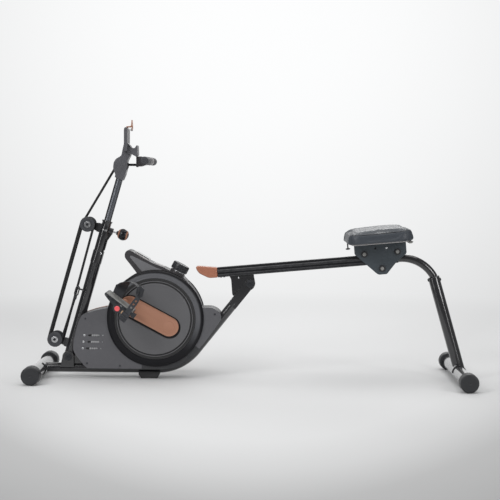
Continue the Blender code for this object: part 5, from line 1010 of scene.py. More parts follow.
pod_plastic = finish_of(
    "pod_plastic", "casing_plastic", (0.034, 0.031, 0.034), (0.09, 0.09, 0.095), 0.38, grain=1400.0, depth=0.00004,
    dust=0.12,
)
panel_plastic = finish_of(
    "panel_plastic", "casing_plastic", (0.17, 0.17, 0.18), (0.18, 0.18, 0.185), 0.42, grain=1500.0, depth=0.00004,
    dust=0.1,
)
bezel_plastic = finish_of(
    "bezel_plastic", "black_plastic", (0.55, 0.53, 0.53), (0.62, 0.61, 0.6), 0.36, grain=1100.0, depth=0.00002,
)
glass = finish_of(
    "display_glass", "casing_plastic", (0.01, 0.011, 0.013), (0.03, 0.03, 0.03), 0.08, grain=120.0, depth=0.000004,
    swing=0.03, wear=0.1, dust=0.1, Coat_Weight=0.6,
)

knob_slope = Vector((math.cos(KNOB_TILT), 0.0, -math.sin(KNOB_TILT)))
knob_rise = Vector((math.sin(KNOB_TILT), 0.0, math.cos(KNOB_TILT)))
collar_seat = Vector((KNOB_SEAT_X, 0.0, KNOB_SEAT_Z)) - knob_rise * 0.0115 + knob_slope * 0.029
underside = arc((CRANK_X, CRANK_Z), RING_RADIUS + 0.0004, math.radians(48.9), math.radians(112.4), 24)
pod = plate(underside + POD_TOP + [(collar_seat.x, collar_seat.z), (-0.229, 0.3608)], -POD_HALF_WIDTH, POD_HALF_WIDTH)
keys_frame = frame_at(KEY_X, KEY_Z, KEY_LEAN)
key_pocket = moved(block(-0.0222, 0.0222, -0.0125, 0.0125, -0.012, 0.02), keys_frame)
collar = moved(turned([(0.0, -0.0145), (0.0285, -0.0145), (0.0285, -0.0052), (0.0273, -0.004), (0.0, -0.004)], 64),
               knob_frame)
stem_hole = moved(rod(0.0058, -0.04, 0.01, 24), knob_frame)
pod = machined(pod, joins=[collar], cuts=[key_pocket, stem_hole])
piece("console_pod_moulded", pod, pod_plastic, "base", ("console_pod",), ease=0.004, steps=4)
panel = PANEL + arc((CRANK_X, CRANK_Z), RING_RADIUS + 0.0004, math.radians(82.6), math.radians(106.0), 14)
panels = [plate(panel, side * POD_HALF_WIDTH - 0.001, side * POD_HALF_WIDTH + 0.001) for side in (-1, 1)]
piece("console_side_panels", panels, panel_plastic, "base", ease=0.0008)
# A bright zinc ring fills the gap under the knob: it stands in for the light seen through that gap, a painted
# highlight.
gap_light_ring = moved(pipe(0.0205, 0.014, -0.0045, -0.0006, 48), knob_frame)
piece("tension_knob_gap_light_ring", gap_light_ring, zinc, "base", ease=0.0004)

# The display is a clear window over a black screen, in a pale bezel that stands a little proud of the slope. Both are
# moulded, and the window is pushed into the bezel.
DISPLAY_X, DISPLAY_Z = -0.3905, 0.4468
DISPLAY_LEAN = math.atan2(0.4705 - 0.4397, 0.438 - 0.3834)
display_frame = frame_at(DISPLAY_X, DISPLAY_Z, DISPLAY_LEAN)
rim = mm((-28.5, -4), (28.5, -4), (28.5, 1.6), (27.8, 2.3), (-27.8, 2.3), (-28.5, 1.6))
window_cut = block(-0.0235, 0.0235, -0.0235, 0.0235, 0.001, 0.01)
bezel = moved(machined(plate(rim, -0.029, 0.029), cuts=[window_cut]), display_frame)
piece("display_bezel", bezel, bezel_plastic, "base", ease=0.0007)
window = mm((-23.3, 0.8), (23.3, 0.8), (23.3, 2.3), (27, 2.3), (26.2, 5.2), (-26.2, 5.2), (-27, 2.3), (-23.3, 2.3))
window = moved(plate(window, -0.0262, 0.0262), display_frame)
piece("display_window", window, glass, "base", ease=0.0005)

# The key pad is one soft moulding that is pressed down as a whole, with three domed keys on it. It lies in a pocket
# of the pod, and its edges are rounded.
key_dome = [(0.0048 * math.cos(a), 0.002 + 0.0012 * math.sin(a)) for a in (0.0, 0.3, 0.6, 0.9, 1.2)]
keys = [shifted(turned([(0.0, 0.001), (0.0048, 0.001)] + key_dome + [(0.0, 0.0032)], 32), x, 0.0, 0.0)
        for x in (-0.013, 0.0, 0.013)]
pad = [moved(part, keys_frame) for part in [block(-0.0217, 0.0217, -0.012, 0.012, -0.006, 0.0022)] + keys]
piece("console_key_pad", pad, bezel_plastic, "button", ("console_button",), ease=0.0007)

# The tension knob is a thick black moulding with finger flutes round its side, a polished bevel and a pointer line.
# Its stem goes down through the collar into the pod.
knob_plastic = finish_of(
    "knob_plastic", "black_plastic", (0.018, 0.019, 0.022), (0.1, 0.1, 0.105), 0.36, grain=1300.0, depth=0.00004,
    Specular_IOR_Level=0.38,
)
knob_profile = mm(
    (0, -14.8), (5, -14.8), (5, -0.4), (30, -0.4), (31.3, 0.8), (31.5, 3), (31.5, 22.5), (30.6, 24.5), (28.8, 25.9),
    (26.2, 26.5), (18, 26.5), (16.8, 25.6), (0, 25.6),
)
turns = [2 * math.pi * i / 24 for i in range(24)]
flutes = [shifted(rod(0.0022, 0.003, 0.04, 12), 0.0328 * math.cos(a), 0.0328 * math.sin(a), 0.0) for a in turns]
knob = moved(machined(turned(knob_profile, 96), cuts=flutes), knob_frame)
piece("tension_knob_fluted", knob, knob_plastic, "tension", ("tension_knob",), sharp=40.0)
pointer = moved(block(-0.0285, -0.019, -0.0008, 0.0008, 0.0258, 0.0268), knob_frame)
piece("tension_knob_pointer", pointer, bezel_plastic, "tension", ease=0.0002)

# Each pedal is a ribbed block of black nylon on the crank's spindle. It has a rubber mat with a raised rail on both
# sides, a round boss with a red reflector in its end, and a small amber lens beside it.
PEDAL_INNER = 0.105
PEDAL_OUTER = 0.205
PEDAL_TILT = math.radians(36.6)
PEDAL_OUTLINE = mm(
    (-68.5, 10.5), (-70.5, 7), (-69.2, 3.8), (-66, 1), (-53, -2.8), (-40, -6), (-20, -10), (-16, -15), (-13, -19),
    (-8.5, -21.6), (-3, -23), (3, -22.8), (8, -21.5), (30, -16), (39, -11.5), (46, -6), (49.8, -1), (51, 4),
    (49, 10.5),
)
BOSS_X, BOSS_Z = -0.0033, -0.011

pedal_nylon = finish_of(
    "pedal_nylon", "black_plastic", (0.022, 0.024, 0.028), (0.1, 0.1, 0.105), 0.42, grain=1500.0, depth=0.00005,
    wear=0.6, dust=0.14,
)
# The red reflector glows faintly by its emission: painted light, as it is no lamp.
reflector_red_glowing = finish_of(
    "reflector_red_glowing", "black_plastic", (0.78, 0.1, 0.11), (0.8, 0.3, 0.3), 0.16, grain=900.0, depth=0.0001, dust=0.04,
    Coat_Weight=0.8, Emission_Color=(0.75, 0.12, 0.12, 1.0), Emission_Strength=0.1,
)
amber = finish_of(
    "reflector_amber", "black_plastic", (0.5, 0.32, 0.19), (0.6, 0.4, 0.3), 0.2, grain=900.0, depth=0.00006,
    dust=0.04,
)
tread_rubber = finish_of(
    "tread_rubber", "black_plastic", (0.27, 0.27, 0.26), (0.36, 0.36, 0.35), 0.66, grain=1500.0, depth=0.00008,
    dust=0.2,
)


def set_on_pedal(meshes, side, angle):
    """Moves solids made in the pedal's own axes on to the spindle of one crank."""
    x = CRANK_X + CRANK_LENGTH * math.cos(angle)
    z = CRANK_Z + CRANK_LENGTH * math.sin(angle)
    return [sided(moved(mesh, frame_at(x, z, PEDAL_TILT)), side) for mesh in meshes]


def plug(radius, low, high, x, z, edge=0.0, sides=48):
    return across(rod(radius, low, high, sides, edge), x, z)


for word, side, angle in CRANKS:
    rib_slots = [block(-0.06 + 0.016 * i, -0.051 + 0.016 * i, 0.12, 0.192, 0.002, 0.04) for i in range(7)]
    side_slots = [block(-0.056 + 0.018 * i, -0.045 + 0.018 * i, 0.202, 0.22, 0.002, 0.007) for i in range(6)]
    bore = plug(0.0076, 0.095, 0.2022, 0.0, 0.0)
    boss = plug(0.0162, PEDAL_INNER, 0.2056, BOSS_X, BOSS_Z, 0.0012)
    toe = block(0.049, 0.064, 0.18, 0.205, -0.005, 0.0105)
    body = plate(PEDAL_OUTLINE, PEDAL_INNER, PEDAL_OUTER)
    body = machined(body, joins=[boss, toe], cuts=[bore] + rib_slots + side_slots)
    reflector = mm((0, 205), (9.5, 205), (9.5, 206.2), (8.5, 207.3), (0, 207.8))
    lens = block(0.0155, 0.0215, 0.2035, 0.2062, -0.017, -0.0045)
    treads = [block(-0.066, 0.048, low, high, 0.0102, 0.0126) for low, high in ((0.106, 0.118), (0.1935, 0.2045))]
    treads.append(block(-0.0655, 0.047, 0.1175, 0.194, 0.0098, 0.0112))
    parts = set_on_pedal([body, across(turned(reflector, 40), BOSS_X, BOSS_Z), lens] + treads, side, angle)
    rides = f"pedal_{word}"
    piece(f"pedal_block_{word}", parts[0], pedal_nylon, rides, (f"pedal_{word}",), ease=0.0009)
    piece(f"pedal_reflector_{word}", parts[1], reflector_red_glowing, rides)
    piece(f"pedal_side_lens_{word}", parts[2], amber, rides, ease=0.001)
    piece(f"pedal_treads_{word}", parts[3:], tread_rubber, rides, ease=0.0006)

# A moulded rubber strap goes over each pedal: a flat holed band on the outside, a wide bridge over the foot, and a
# flat end screwed to the inner side. Its outer end passes through a buckle and hangs below as a ribbed tail.
STRAP_KNOTS = (
    (0.0345, -0.004, 1.0, 0.01), (0.0345, 0.018, 1.0, 0.01), (0.034, 0.044, 1.0, 0.0105),
    (0.0325, 0.064, 1.0, 0.012), (0.0255, 0.0845, 0.93, 0.015), (0.006, 0.0925, 0.78, 0.018),
    (-0.02, 0.0885, 0.58, 0.021), (-0.037, 0.071, 0.33, 0.0225), (-0.04, 0.051, 0.1, 0.0215),
    (-0.039, 0.033, 0.0, 0.02), (-0.0365, 0.02, 0.0, 0.019), (-0.033, 0.001, 0.0, 0.018),
)
STRAP_MIDDLE = 0.04
STRAP_HALF_THICKNESS = 0.00125
STRAP_FINE = 5
BUCKLE = mm((13.9, 103.9), (33.3, 100.1), (43.4, 74.4), (31, 61.3), (15.1, 75.2), (7.1, 93.2))

strap_rubber = finish_of(
    "strap_rubber", "black_rubber", (0.034, 0.036, 0.042), (0.09, 0.09, 0.095), 0.46, grain=1300.0, depth=0.00007,
    dust=0.16,
)


def between(values, share):
    """The middle stretch of a smooth curve through four values."""
    a, b, c, d = values
    return 0.5 * (2 * b + (c - a) * share + (2 * a - 5 * b + 4 * c - d) * share ** 2
                  + (3 * b - a - 3 * c + d) * share ** 3)


def strap_band():
    knots = []
    last = len(STRAP_KNOTS) - 1
    for i in range(last):
        four = [STRAP_KNOTS[min(max(i + k, 0), last)] for k in (-1, 0, 1, 2)]
        for step in range(STRAP_FINE):
            share = step / STRAP_FINE
            place = (i + share) / last
            knots.append([between([knot[k] for knot in four], share) for k in range(4)] + [place])
    knots.append(list(STRAP_KNOTS[-1]) + [1.0])
    inner = PEDAL_INNER - 0.0004 - STRAP_HALF_THICKNESS
    outer = PEDAL_OUTER + 0.0004 + STRAP_HALF_THICKNESS
    reach = outer - inner
    centres = [Vector((x, inner + reach * min(1.0, max(0.0, deep)), z)) for x, z, deep, half, place in knots]
    rows = []
    for i, centre in enumerate(centres):
        way = (centres[min(i + 1, len(centres) - 1)] - centres[max(i - 1, 0)]).normalized()
        half, place = knots[i][3:]
        out = (centre - Vector((0.0, centre.y, STRAP_MIDDLE))).normalized()
        over = min(1.0, max(0.0, (place - 0.12) / 0.26)) * min(1.0, max(0.0, (0.79 - place) / 0.2))
        flat = Vector((0.0, 1.0 if place < 0.5 else -1.0, 0.0))
        facing = (out * over + flat * (1 - over)).normalized()
        wide = facing.cross(way).normalized()
        facing = way.cross(wide).normalized()
        lift, edge = STRAP_HALF_THICKNESS, half - 0.001
        section = ((-edge, -lift), (edge, -lift), (half, 0.0), (edge, lift), (edge - 0.0012, lift * 0.62),
                   (0.0012 - edge, lift * 0.62), (-edge, lift), (-half, 0.0))
        rows.append([centre + wide * aside + facing * up for aside, up in section])
    return skin(rows)


for word, side, angle in CRANKS:
    holes = [plug(0.0036, 0.2, 0.212, 0.0343, z, 0.0, 20) for z in (0.05, 0.036, 0.022)]
    band = machined(strap_band(), cuts=holes)
    tail = machined(
        block(0.019, 0.047, 0.186, 0.2078, -0.037, -0.005),
        cuts=[block(0.0215, 0.0445, 0.206, 0.22, z, z + 0.0036) for z in (-0.033, -0.025, -0.017)],
    )
    buckle = plate(BUCKLE, 0.196, 0.2068)
    screw = mirrored(across(dome_head(0.0042, 0.0018), -0.0345, 0.006))
    screw = shifted(screw, 0.0, PEDAL_INNER - 0.0029, 0.0)
    parts = set_on_pedal([band, tail, buckle, screw], side, angle)
    rides = f"pedal_{word}"
    piece(f"strap_band_{word}", parts[0], strap_rubber, rides, (f"pedal_strap_{word}",), sharp=50.0)
    piece(f"strap_tail_{word}", parts[1], strap_rubber, rides, ease=0.0008)
    piece(f"strap_buckle_{word}", parts[2], pedal_nylon, rides, ease=0.0014)
    piece(f"strap_screw_{word}", parts[3], zinc, rides)

# The mast is a gloss black steel post that leans forward, with a collar swaged on its top. A chromed clamp screw and
# a stop pin stand in the collar, and a small tab for the rope's hook is welded to its front.
POST_RADIUS = 0.0194
POST_WALL = 0.0015
POST_TOP = 0.4047
COLLAR_BOTTOM = 0.3587
HOOK_X, HOOK_S = -0.0345, 0.242
HOOK_HALF_LENGTH = 0.0165
HOOK_HALF_WIDTH = 0.0062
HOOK_WIRE = 0.0025
PULLEY_Y = 0.0235
CLAMP_X, CLAMP_S = 0.0108, 0.3972

chrome = finish_of(
    "polished_steel", "bright_steel", (0.72, 0.725, 0.74), (0.8, 0.8, 0.8), 0.16, metallic=1.0, grain=500.0,
    depth=0.000006, swing=0.04, wear=0.1, dust=0.03,
)


def in_mast(mesh):
    return moved(mesh, mast_frame)


def along_x(mesh, x=0.0, z=0.0):
    """Turns a solid made along Z so that it runs along +X from a point."""
    return moved(mesh, frame_at(x, z, math.pi / 2))


def rounded(radius, half, steps):
    """The profile of a ball, or of an oval that stands on Z."""
    turns = [math.pi * i / steps for i in range(1, steps)]
    return [(0.0, -half)] + [(radius * math.sin(a), -half * math.cos(a)) for a in turns] + [(0.0, half)]


room = MAST_Z - TUBE_AXIS_Z - TUBE_RADIUS - 0.0031
post_foot = (POST_RADIUS * math.sin(MAST_LEAN) - room) / math.cos(MAST_LEAN)
post_profile = [
    (POST_RADIUS, post_foot), (POST_RADIUS, COLLAR_BOTTOM - 0.003), (0.0198, COLLAR_BOTTOM - 0.0012),
    (COLLAR_RADIUS, COLLAR_BOTTOM), (COLLAR_RADIUS, POST_TOP - 0.0012), (COLLAR_RADIUS - 0.0012, POST_TOP),
    (POST_RADIUS - POST_WALL, POST_TOP), (POST_RADIUS - POST_WALL, post_foot),
]
hook_tab_x = HOOK_X + HOOK_HALF_WIDTH
hook_tab = block(hook_tab_x - 0.0055, -0.009, -PULLEY_Y - 0.0052, -0.012, 0.249, 0.2545)
post_bolt_hole = across(rod(0.0054, -0.05, 0.05, 24), 0.0, 0.0)
hook_hole = shifted(rod(HOOK_WIRE + 0.0007, 0.0, 0.03, 20), hook_tab_x, -PULLEY_Y, 0.24)
post = machined(turned(post_profile, 72, ring=True), joins=[hook_tab], cuts=[post_bolt_hole, hook_hole])
piece("mast_post_tube", in_mast(post), gloss_black, "base", ("mast_post",))
clamp = on_side(dome_head(0.0046, 0.003, 0.42), -1, CLAMP_X, CLAMP_S, 0.016)
clamp_seat = on_side(rod(0.0062, 0.0, 0.0022, 32, 0.0006), -1, CLAMP_X, CLAMP_S, 0.015)
piece("collar_clamp_screw", in_mast(clamp), chrome, "base")
piece("collar_clamp_seat", in_mast(clamp_seat), satin_plastic, "base")

# The sleeve plugs into the post and carries the lock knob. It has a turned neck, a flange at its top, a welded boss
# for the knob's shaft with a gusset under it, and a flat strip down its rear.
SLEEVE_NECK = 0.0172
SLEEVE_BORE = 0.0132
SLEEVE_TOP = 0.519
KNOB_S = 0.4853
KNOB_X = 0.0683
sleeve_profile = [
    (0.0174, POST_TOP - 0.075), (0.0174, POST_TOP + 0.0006), (0.0186, POST_TOP + 0.0006), (0.0188, POST_TOP + 0.002),
    (0.0188, 0.479), (0.0183, 0.4835), (SLEEVE_NECK, 0.486), (SLEEVE_NECK, 0.511), (0.018, 0.5128),
    (0.019, 0.5132), (0.0192, 0.514), (0.0192, 0.5182), (0.0184, SLEEVE_TOP), (SLEEVE_BORE, SLEEVE_TOP),
    (SLEEVE_BORE, POST_TOP - 0.075),
]
boss = mm((0, 0), (11.5, 0), (11.5, 15), (10.5, 16), (0, 16))
boss = along_x(turned(boss, 40), 0.015, KNOB_S)
web = plate([(0.016, 0.436), (0.03, 0.476), (0.03, 0.479), (0.016, 0.479)], -0.0025, 0.0025)
strip = block(0.018, 0.0205, -0.007, 0.007, 0.412, 0.479)
knob_bore = along_x(rod(0.0045, 0.0, 0.05, 24), 0.008, KNOB_S)
sleeve = machined(turned(sleeve_profile, 72, ring=True), joins=[boss, web, strip], cuts=[knob_bore])
piece("mast_sleeve_turned", in_mast(sleeve), gloss_black, "base", ("mast_sleeve",), ease=0.0006)
pin = block(0.001, 0.007, -0.0205, -0.015, 0.4805, 0.4868)
piece("sleeve_stop_pin", in_mast(pin), chrome, "base", ease=0.0006)

# The lock knob is a black ball on a bright plunger, with a black ferrule where they meet. A copper coloured band is
# pressed on each side of its waist.
BAND_LOW, BAND_HIGH, BAND_RADIUS = 0.0122, 0.0178, 0.0218
knob_end = 0.0215
ball = along_x(turned(rounded(knob_end, knob_end, 28), 64))
lock_place = mast_frame @ Matrix.Translation((KNOB_X, 0.0, KNOB_S))
plunger = along_x(rod(0.004, 0.0142 - KNOB_X, -knob_end + 0.002, 32, 0.0006))
ferrule = along_x(turned([(0.0, -0.0245), (0.0068, -0.0245), (0.0076, -0.0235), (0.0076, -0.02), (0.0, -0.019)], 40))
bands = []
for side in (-1, 1):
    reaches = [BAND_LOW + (BAND_HIGH - BAND_LOW) * i / 8 for i in range(9)]
    profile = [(math.sqrt(BAND_RADIUS ** 2 - reach ** 2), side * reach) for reach in reaches]
    bands.append(along_x(turned([(0.0, side * BAND_LOW)] + profile + [(0.0, side * BAND_HIGH)], 64)))
knob_gloss = finish_of(
    "knob_gloss", "black_plastic", (0.008, 0.008, 0.01), (0.08, 0.08, 0.085), 0.16, grain=300.0, depth=0.00001,
    dust=0.03, Specular_IOR_Level=0.36,
)
piece("lock_knob_ball", moved(ball, lock_place), knob_gloss, "lock", ("mast_lock_knob",))
piece("lock_knob_ferrule", moved(ferrule, lock_place), satin_plastic, "lock")
piece("lock_knob_plunger", moved(plunger, lock_place), chrome, "lock")
piece("lock_knob_bands", [moved(band, lock_place) for band in bands], copper, "lock")

# Two steel brackets hold the rope's four pulleys in front of the mast. Each is a saddle block with a plate welded to
# it, and a turned axle through the plate that ends in a bolt on both sides.
PULLEY_OFFSET = -0.064
PULLEY_PITCH = 0.0237
PULLEY_RADIUS = 0.027
PULLEY_WIDTH = 0.012
ROPE_RADIUS = 0.0044
LOWER_S = 0.0479
UPPER_S = 0.4868
for word, s, carrier in (("lower", LOWER_S, POST_RADIUS), ("upper", UPPER_S, 0.0174)):
    tip, nose = PULLEY_OFFSET - 0.0085, PULLEY_OFFSET - 0.006
    web = plate([
        (nose, s - 0.0085), (-0.03, s - 0.015), (-0.024, s - 0.015), (-0.024, s + 0.015), (-0.03, s + 0.015),
        (nose, s + 0.0085), (tip, s + 0.005), (tip, s - 0.005),
    ], -0.004, 0.004)
    saddle_cut = rod(carrier + 0.0004, s - 0.1, s + 0.1, 64)
    holder = machined(block(-0.028, -0.006, -0.012, 0.012, s - 0.0165, s + 0.0165), joins=[web], cuts=[saddle_cut])
    axle = across(turned([
        (0.0, -0.03), (0.0045, -0.03), (0.0045, -0.0165), (0.0085, -0.0165), (0.0085, 0.0165), (0.0045, 0.0165),
        (0.0045, 0.03), (0.0, 0.03),
    ], 32), PULLEY_OFFSET, s)
    piece(f"{word}_pulley_holder", in_mast(holder), gloss_black, "base", (f"{word}_pulley_bracket",), ease=0.001)
    piece(f"{word}_pulley_axle", in_mast(axle), zinc, "base")
    washers = near_and_far(lambda: washer(0.0085, 0.0046, 0.0016), PULLEY_OFFSET, s, 0.0302)
    heads = near_and_far(lambda: hex_head(0.0056, 0.003, 0.0022), PULLEY_OFFSET, s, 0.0316)
    piece(f"{word}_axle_washers", [in_mast(part) for part in washers], chrome, "base")
    piece(f"{word}_axle_heads", [in_mast(part) for part in heads], dark_zinc, "base", ease=0.0003)

# The rope pulleys are moulded in dark grey nylon with a grooved tread, a sunk web and a bright bearing ring pressed
# into the hub. They spin on the axles.
pulley_nylon = finish_of(
    "pulley_nylon", "black_plastic", (0.05, 0.052, 0.058), (0.12, 0.12, 0.125), 0.4, grain=1200.0, depth=0.00003,
    dust=0.14,
)


def sheave(pitch, radius, width, bore, hub, sides=72):
    """A grooved wheel about Z with a sunk web between its rim and its hub."""
    half = width / 2
    floor = pitch - ROPE_RADIUS - 0.0004
    groove = []
    for i in range(13):
        turn = math.pi * (i / 12 - 0.5)
        groove.append((pitch - ROPE_RADIUS * 1.02 * math.cos(turn), ROPE_RADIUS * 1.02 * math.sin(turn)))
    edge, sunk = 0.0006, half - 0.0014
    rim = [(radius - edge, -half), (radius, edge - half)] + groove + [(radius, half - edge), (radius - edge, half)]
    near = [(floor - 0.0022, half), (floor - 0.003, sunk), (hub + 0.0016, sunk), (hub + 0.0008, half)]
    far = [(r, -z) for r, z in reversed(near)]
    return turned([(bore, half), (bore, -half)] + far + rim + near, sides, ring=True)


for word, s in (("lower", LOWER_S), ("upper", UPPER_S)):
    for end_word, side in SIDES:
        wheel = sheave(PULLEY_PITCH, PULLEY_RADIUS, PULLEY_WIDTH, 0.005, 0.0082)
        wheel = across(wheel, PULLEY_OFFSET, s, side * PULLEY_Y)
        bearing = across(pipe(0.0118, 0.004, -0.0062, 0.0062), PULLEY_OFFSET, s, side * PULLEY_Y)
        piece(f"{word}_wheel_{end_word}", in_mast(wheel), pulley_nylon, f"{word}_{end_word}",
              (f"{word}_pulley_{end_word}",))
        piece(f"{word}_bearing_{end_word}", in_mast(bearing), chrome, f"{word}_{end_word}", ease=0.0004)

# The elastic rope starts at a closed wire hook on the post, doubles twice over the pulleys, and goes up over the
# small pulley in the head to the handle. Its braided cover has two strands that cross, with a faint fleck.
HEAD_PULLEY_X, HEAD_PULLEY_Z = -0.4785, 0.7674
HEAD_PITCH = 0.013
HEAD_RADIUS = 0.016
SNOUT_X = -0.444
YOKE_FACE = -0.408


def braid(name, colour, fleck):
    """A braided cover: two slanted waves over the UVs raise the strands, and noise flecks their colour."""
    made = finish_of(name, "elastic_cord", colour, (0.05, 0.05, 0.05), 0.66, grain=2600.0, depth=0.00002, dust=0.03)
    tree, shader, plain = shader_of(made)
    place = put(tree, "ShaderNodeTexCoord")
    lay = parted(tree, place.outputs["UV"])
    waves = []
    for way in (1.0, -1.0):
        slanted = math_of(tree, "ADD", math_of(tree, "MULTIPLY", lay["X"], 2600.0 * way),
                          math_of(tree, "MULTIPLY", lay["Y"], 1700.0))
        waves.append(math_of(tree, "SINE", slanted))
    strands = math_of(tree, "MAXIMUM", *waves)
    bump = put(tree, "ShaderNodeBump", Strength=0.8, Distance=0.00025, Height=strands)
    tree.links.new(bump.outputs["Normal"], shader.inputs["Normal"])
    spots = put(tree, "ShaderNodeTexNoise", Scale=700.0, Detail=1.0, Vector=place.outputs["Object"])
    some = ranged(tree, spots.outputs["Fac"], "LINEAR", From_Min=0.62, From_Max=0.7)
    tree.links.new(mixed(tree, some, plain, (*fleck, 1.0)), shader.inputs["Base Color"])
    return made


rope_cover = braid("rope_braid", (0.009, 0.009, 0.01), (0.045, 0.046, 0.05))


def mast_point(x, s, y=0.0):
    return mast_frame @ Vector((x, y, s))


def wrap(centre, radius, start, end, y, steps, y_end=None):
    """Points round a pulley in the mast's axes, from one angle to another, as world points."""
    points = []
    for i in range(steps + 1):
        share = i / steps
        turn = start + (end - start) * share
        here = y if y_end is None else y + (y_end - y) * share
        points.append(mast_point(centre[0] + radius * math.cos(turn), centre[1] + radius * math.sin(turn), here))
    return points


def evenly(points, step):
    """Puts more points on the straight stretches, about a step apart."""
    fine = [points[0]]
    for point in points[1:]:
        count = max(1, round((point - fine[-1]).length / step))
        start = fine[-1]
        fine += [start.lerp(point, (i + 1) / count) for i in range(count)]
    return fine


lower, upper = (PULLEY_OFFSET, LOWER_S), (PULLEY_OFFSET, UPPER_S)
start_s = HOOK_S - HOOK_HALF_LENGTH - HOOK_WIRE - 0.0004
gap = Vector((HOOK_X - lower[0], start_s - lower[1]))
first = math.atan2(gap.y, gap.x) - math.acos(PULLEY_PITCH / gap.length)
head_in_mast = mast_frame.inverted() @ Vector((HEAD_PULLEY_X, 0.0, HEAD_PULLEY_Z))
gap = Vector((head_in_mast.x - PULLEY_OFFSET, head_in_mast.z - UPPER_S))
tangent = math.atan2(gap.y, gap.x) + math.acos((PULLEY_PITCH - HEAD_PITCH) / gap.length)
slant = mast_point(math.sin(tangent), -math.cos(tangent)) - mast_point(0.0, 0.0)
lead = PULLEY_RADIUS * 0.8
run = [mast_point(HOOK_X, start_s + 0.001, -PULLEY_Y)]
run += wrap(lower, PULLEY_PITCH, first, -math.pi, -PULLEY_Y, 28)
run += wrap(upper, PULLEY_PITCH, math.pi, 0.0, -PULLEY_Y, 28)
run.append(mast_point(PULLEY_OFFSET + PULLEY_PITCH, UPPER_S - lead, -PULLEY_Y))
run.append(mast_point(PULLEY_OFFSET + PULLEY_PITCH, LOWER_S + lead, PULLEY_Y))
run += wrap(lower, PULLEY_PITCH, 0.0, -math.pi, PULLEY_Y, 28)
run += wrap(upper, PULLEY_PITCH, math.pi, tangent, PULLEY_Y, 8)
leave = run[-1] + slant * lead
run.append(leave)
arrive = wrap((head_in_mast.x, head_in_mast.z), HEAD_PITCH, tangent, math.pi / 2 + MAST_LEAN, 0.0, 12)
piece("rope_over_pulleys", drawn(evenly(run, 0.02), ROPE_RADIUS, 20), rope_cover, "base",
      ("elastic_rope",), sharp=60.0)


def stretched(name, points, node):
    """A rope run between two bodies. It carries no parent."""
    data = bpy.data.meshes.new(name)
    mesh = drawn(evenly(points, 0.012), ROPE_RADIUS, 20)
    mesh.to_mesh(data)
    mesh.free()
    data.materials.append(rope_cover)
    data.shade_smooth()
    item = bpy.data.objects.new(name, data)
    scene.collection.objects.link(item)
    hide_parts(node)
    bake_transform(item)
    return item


approach = arrive[0] - slant * HEAD_RADIUS
stretched("rope_slanted_run", [leave - slant * 0.0008, approach], "head_strand")
top_z = HEAD_PULLEY_Z + HEAD_PITCH
over_head = [approach - slant * 0.0008] + arrive + [Vector((SNOUT_X, 0.0, top_z))]
over_head = drawn(evenly(over_head, 0.02), ROPE_RADIUS, 20)
piece("rope_in_head", over_head, rope_cover, "head", sharp=60.0)
pull_run = [Vector((SNOUT_X - 0.001, 0.0, top_z)), Vector((YOKE_FACE + 0.001, 0.0, top_z))]
stretched("rope_pull_run", pull_run, "pull_strand")
hook_loop = []
straight = HOOK_HALF_LENGTH - HOOK_HALF_WIDTH
for z, x in stadium(straight, HOOK_HALF_WIDTH, 10):
    hook_loop.append(mast_point(HOOK_X + x, HOOK_S + z, -PULLEY_Y))
hook_loop = [hook_loop[-1].lerp(hook_loop[0], 0.5)] + hook_loop + [hook_loop[-1].lerp(hook_loop[0], 0.5)]
piece("rope_hook_ring", drawn(hook_loop, HOOK_WIRE, 16), dark_zinc, "base", ("rope_hook",), sharp=60.0)
crimp = turned([(0.0, -0.013), (0.0052, -0.013), (0.0058, -0.012), (0.0058, -0.001), (0.005, 0.0), (0.0, 0.0)], 32)
crimp = in_mast(shifted(crimp, HOOK_X, -PULLEY_Y, start_s + 0.001))
piece("rope_end_crimp", crimp, dark_zinc, "base")

# The inner tube is bright steel and telescopes in the sleeve. A head is pressed on its top: a grey moulding with a
# cradle for a phone, a guide for the rope, and a small pulley inside.
INNER_RADIUS = 0.0127
INNER_LOW, INNER_HIGH = 0.4, 0.694
tube_steel = finish_of(
    "brushed_tube", "bright_steel", (0.15, 0.16, 0.18), (0.6, 0.6, 0.6), 0.4, metallic=1.0, grain=500.0,
    depth=0.000002, swing=0.05, wear=0.1, dust=0.02,
)
# Its colour is darkened towards the tube's outline by Layer Weight's Facing: painted shade along its sides.
tree, shader, plain = shader_of(tube_steel)
facing = put(tree, "ShaderNodeLayerWeight", Blend=0.42).outputs["Facing"]
painted_edge_shade = ranged(tree, facing, From_Min=0.12, From_Max=0.5, To_Min=1.0, To_Max=0.05)
shaded = put(tree, "ShaderNodeVectorMath", operation="SCALE", Vector=plain, Scale=painted_edge_shade)
tree.links.new(shaded.outputs["Vector"], shader.inputs["Base Color"])
inner_tube = in_mast(pipe(INNER_RADIUS, 0.0015, INNER_LOW, INNER_HIGH, 64))
piece("mast_inner_tube_bright", inner_tube, tube_steel, "head", ("mast_inner_tube",))

HEAD_COLUMN = mm(
    (-490, 735), (-464, 723), (-459, 732.2), (-454.5, 742.4), (-450.3, 758), (-447, 773.1), (-446.6, 781.5),
    (-447, 789.9), (-442.8, 801), (-437.3, 812.1), (-434, 820.5), (-433.2, 832.5), (-433.4, 844.5), (-438, 852),
    (-444, 858), (-456, 864), (-460.4, 850.9), (-462.8, 840.5), (-464.8, 830.5), (-466.5, 821), (-469, 813.8),
    (-475, 809.2), (-485, 803.5), (-490, 798.5), (-493.5, 793), (-496, 787), (-497.2, 780), (-497.7, 773.7),
    (-497.5, 767.4), (-496.5, 761.6), (-494.5, 756), (-492, 750), (-490.2, 744),
)
BACK_PLATE = mm(
    (-458.5, 830), (-444.5, 830), (-444.5, 906), (-445.3, 910.5), (-447, 913.5), (-450, 915.5), (-453, 915),
    (-455.2, 912.5), (-456.2, 908), (-456.5, 902), (-456.5, 860),
)
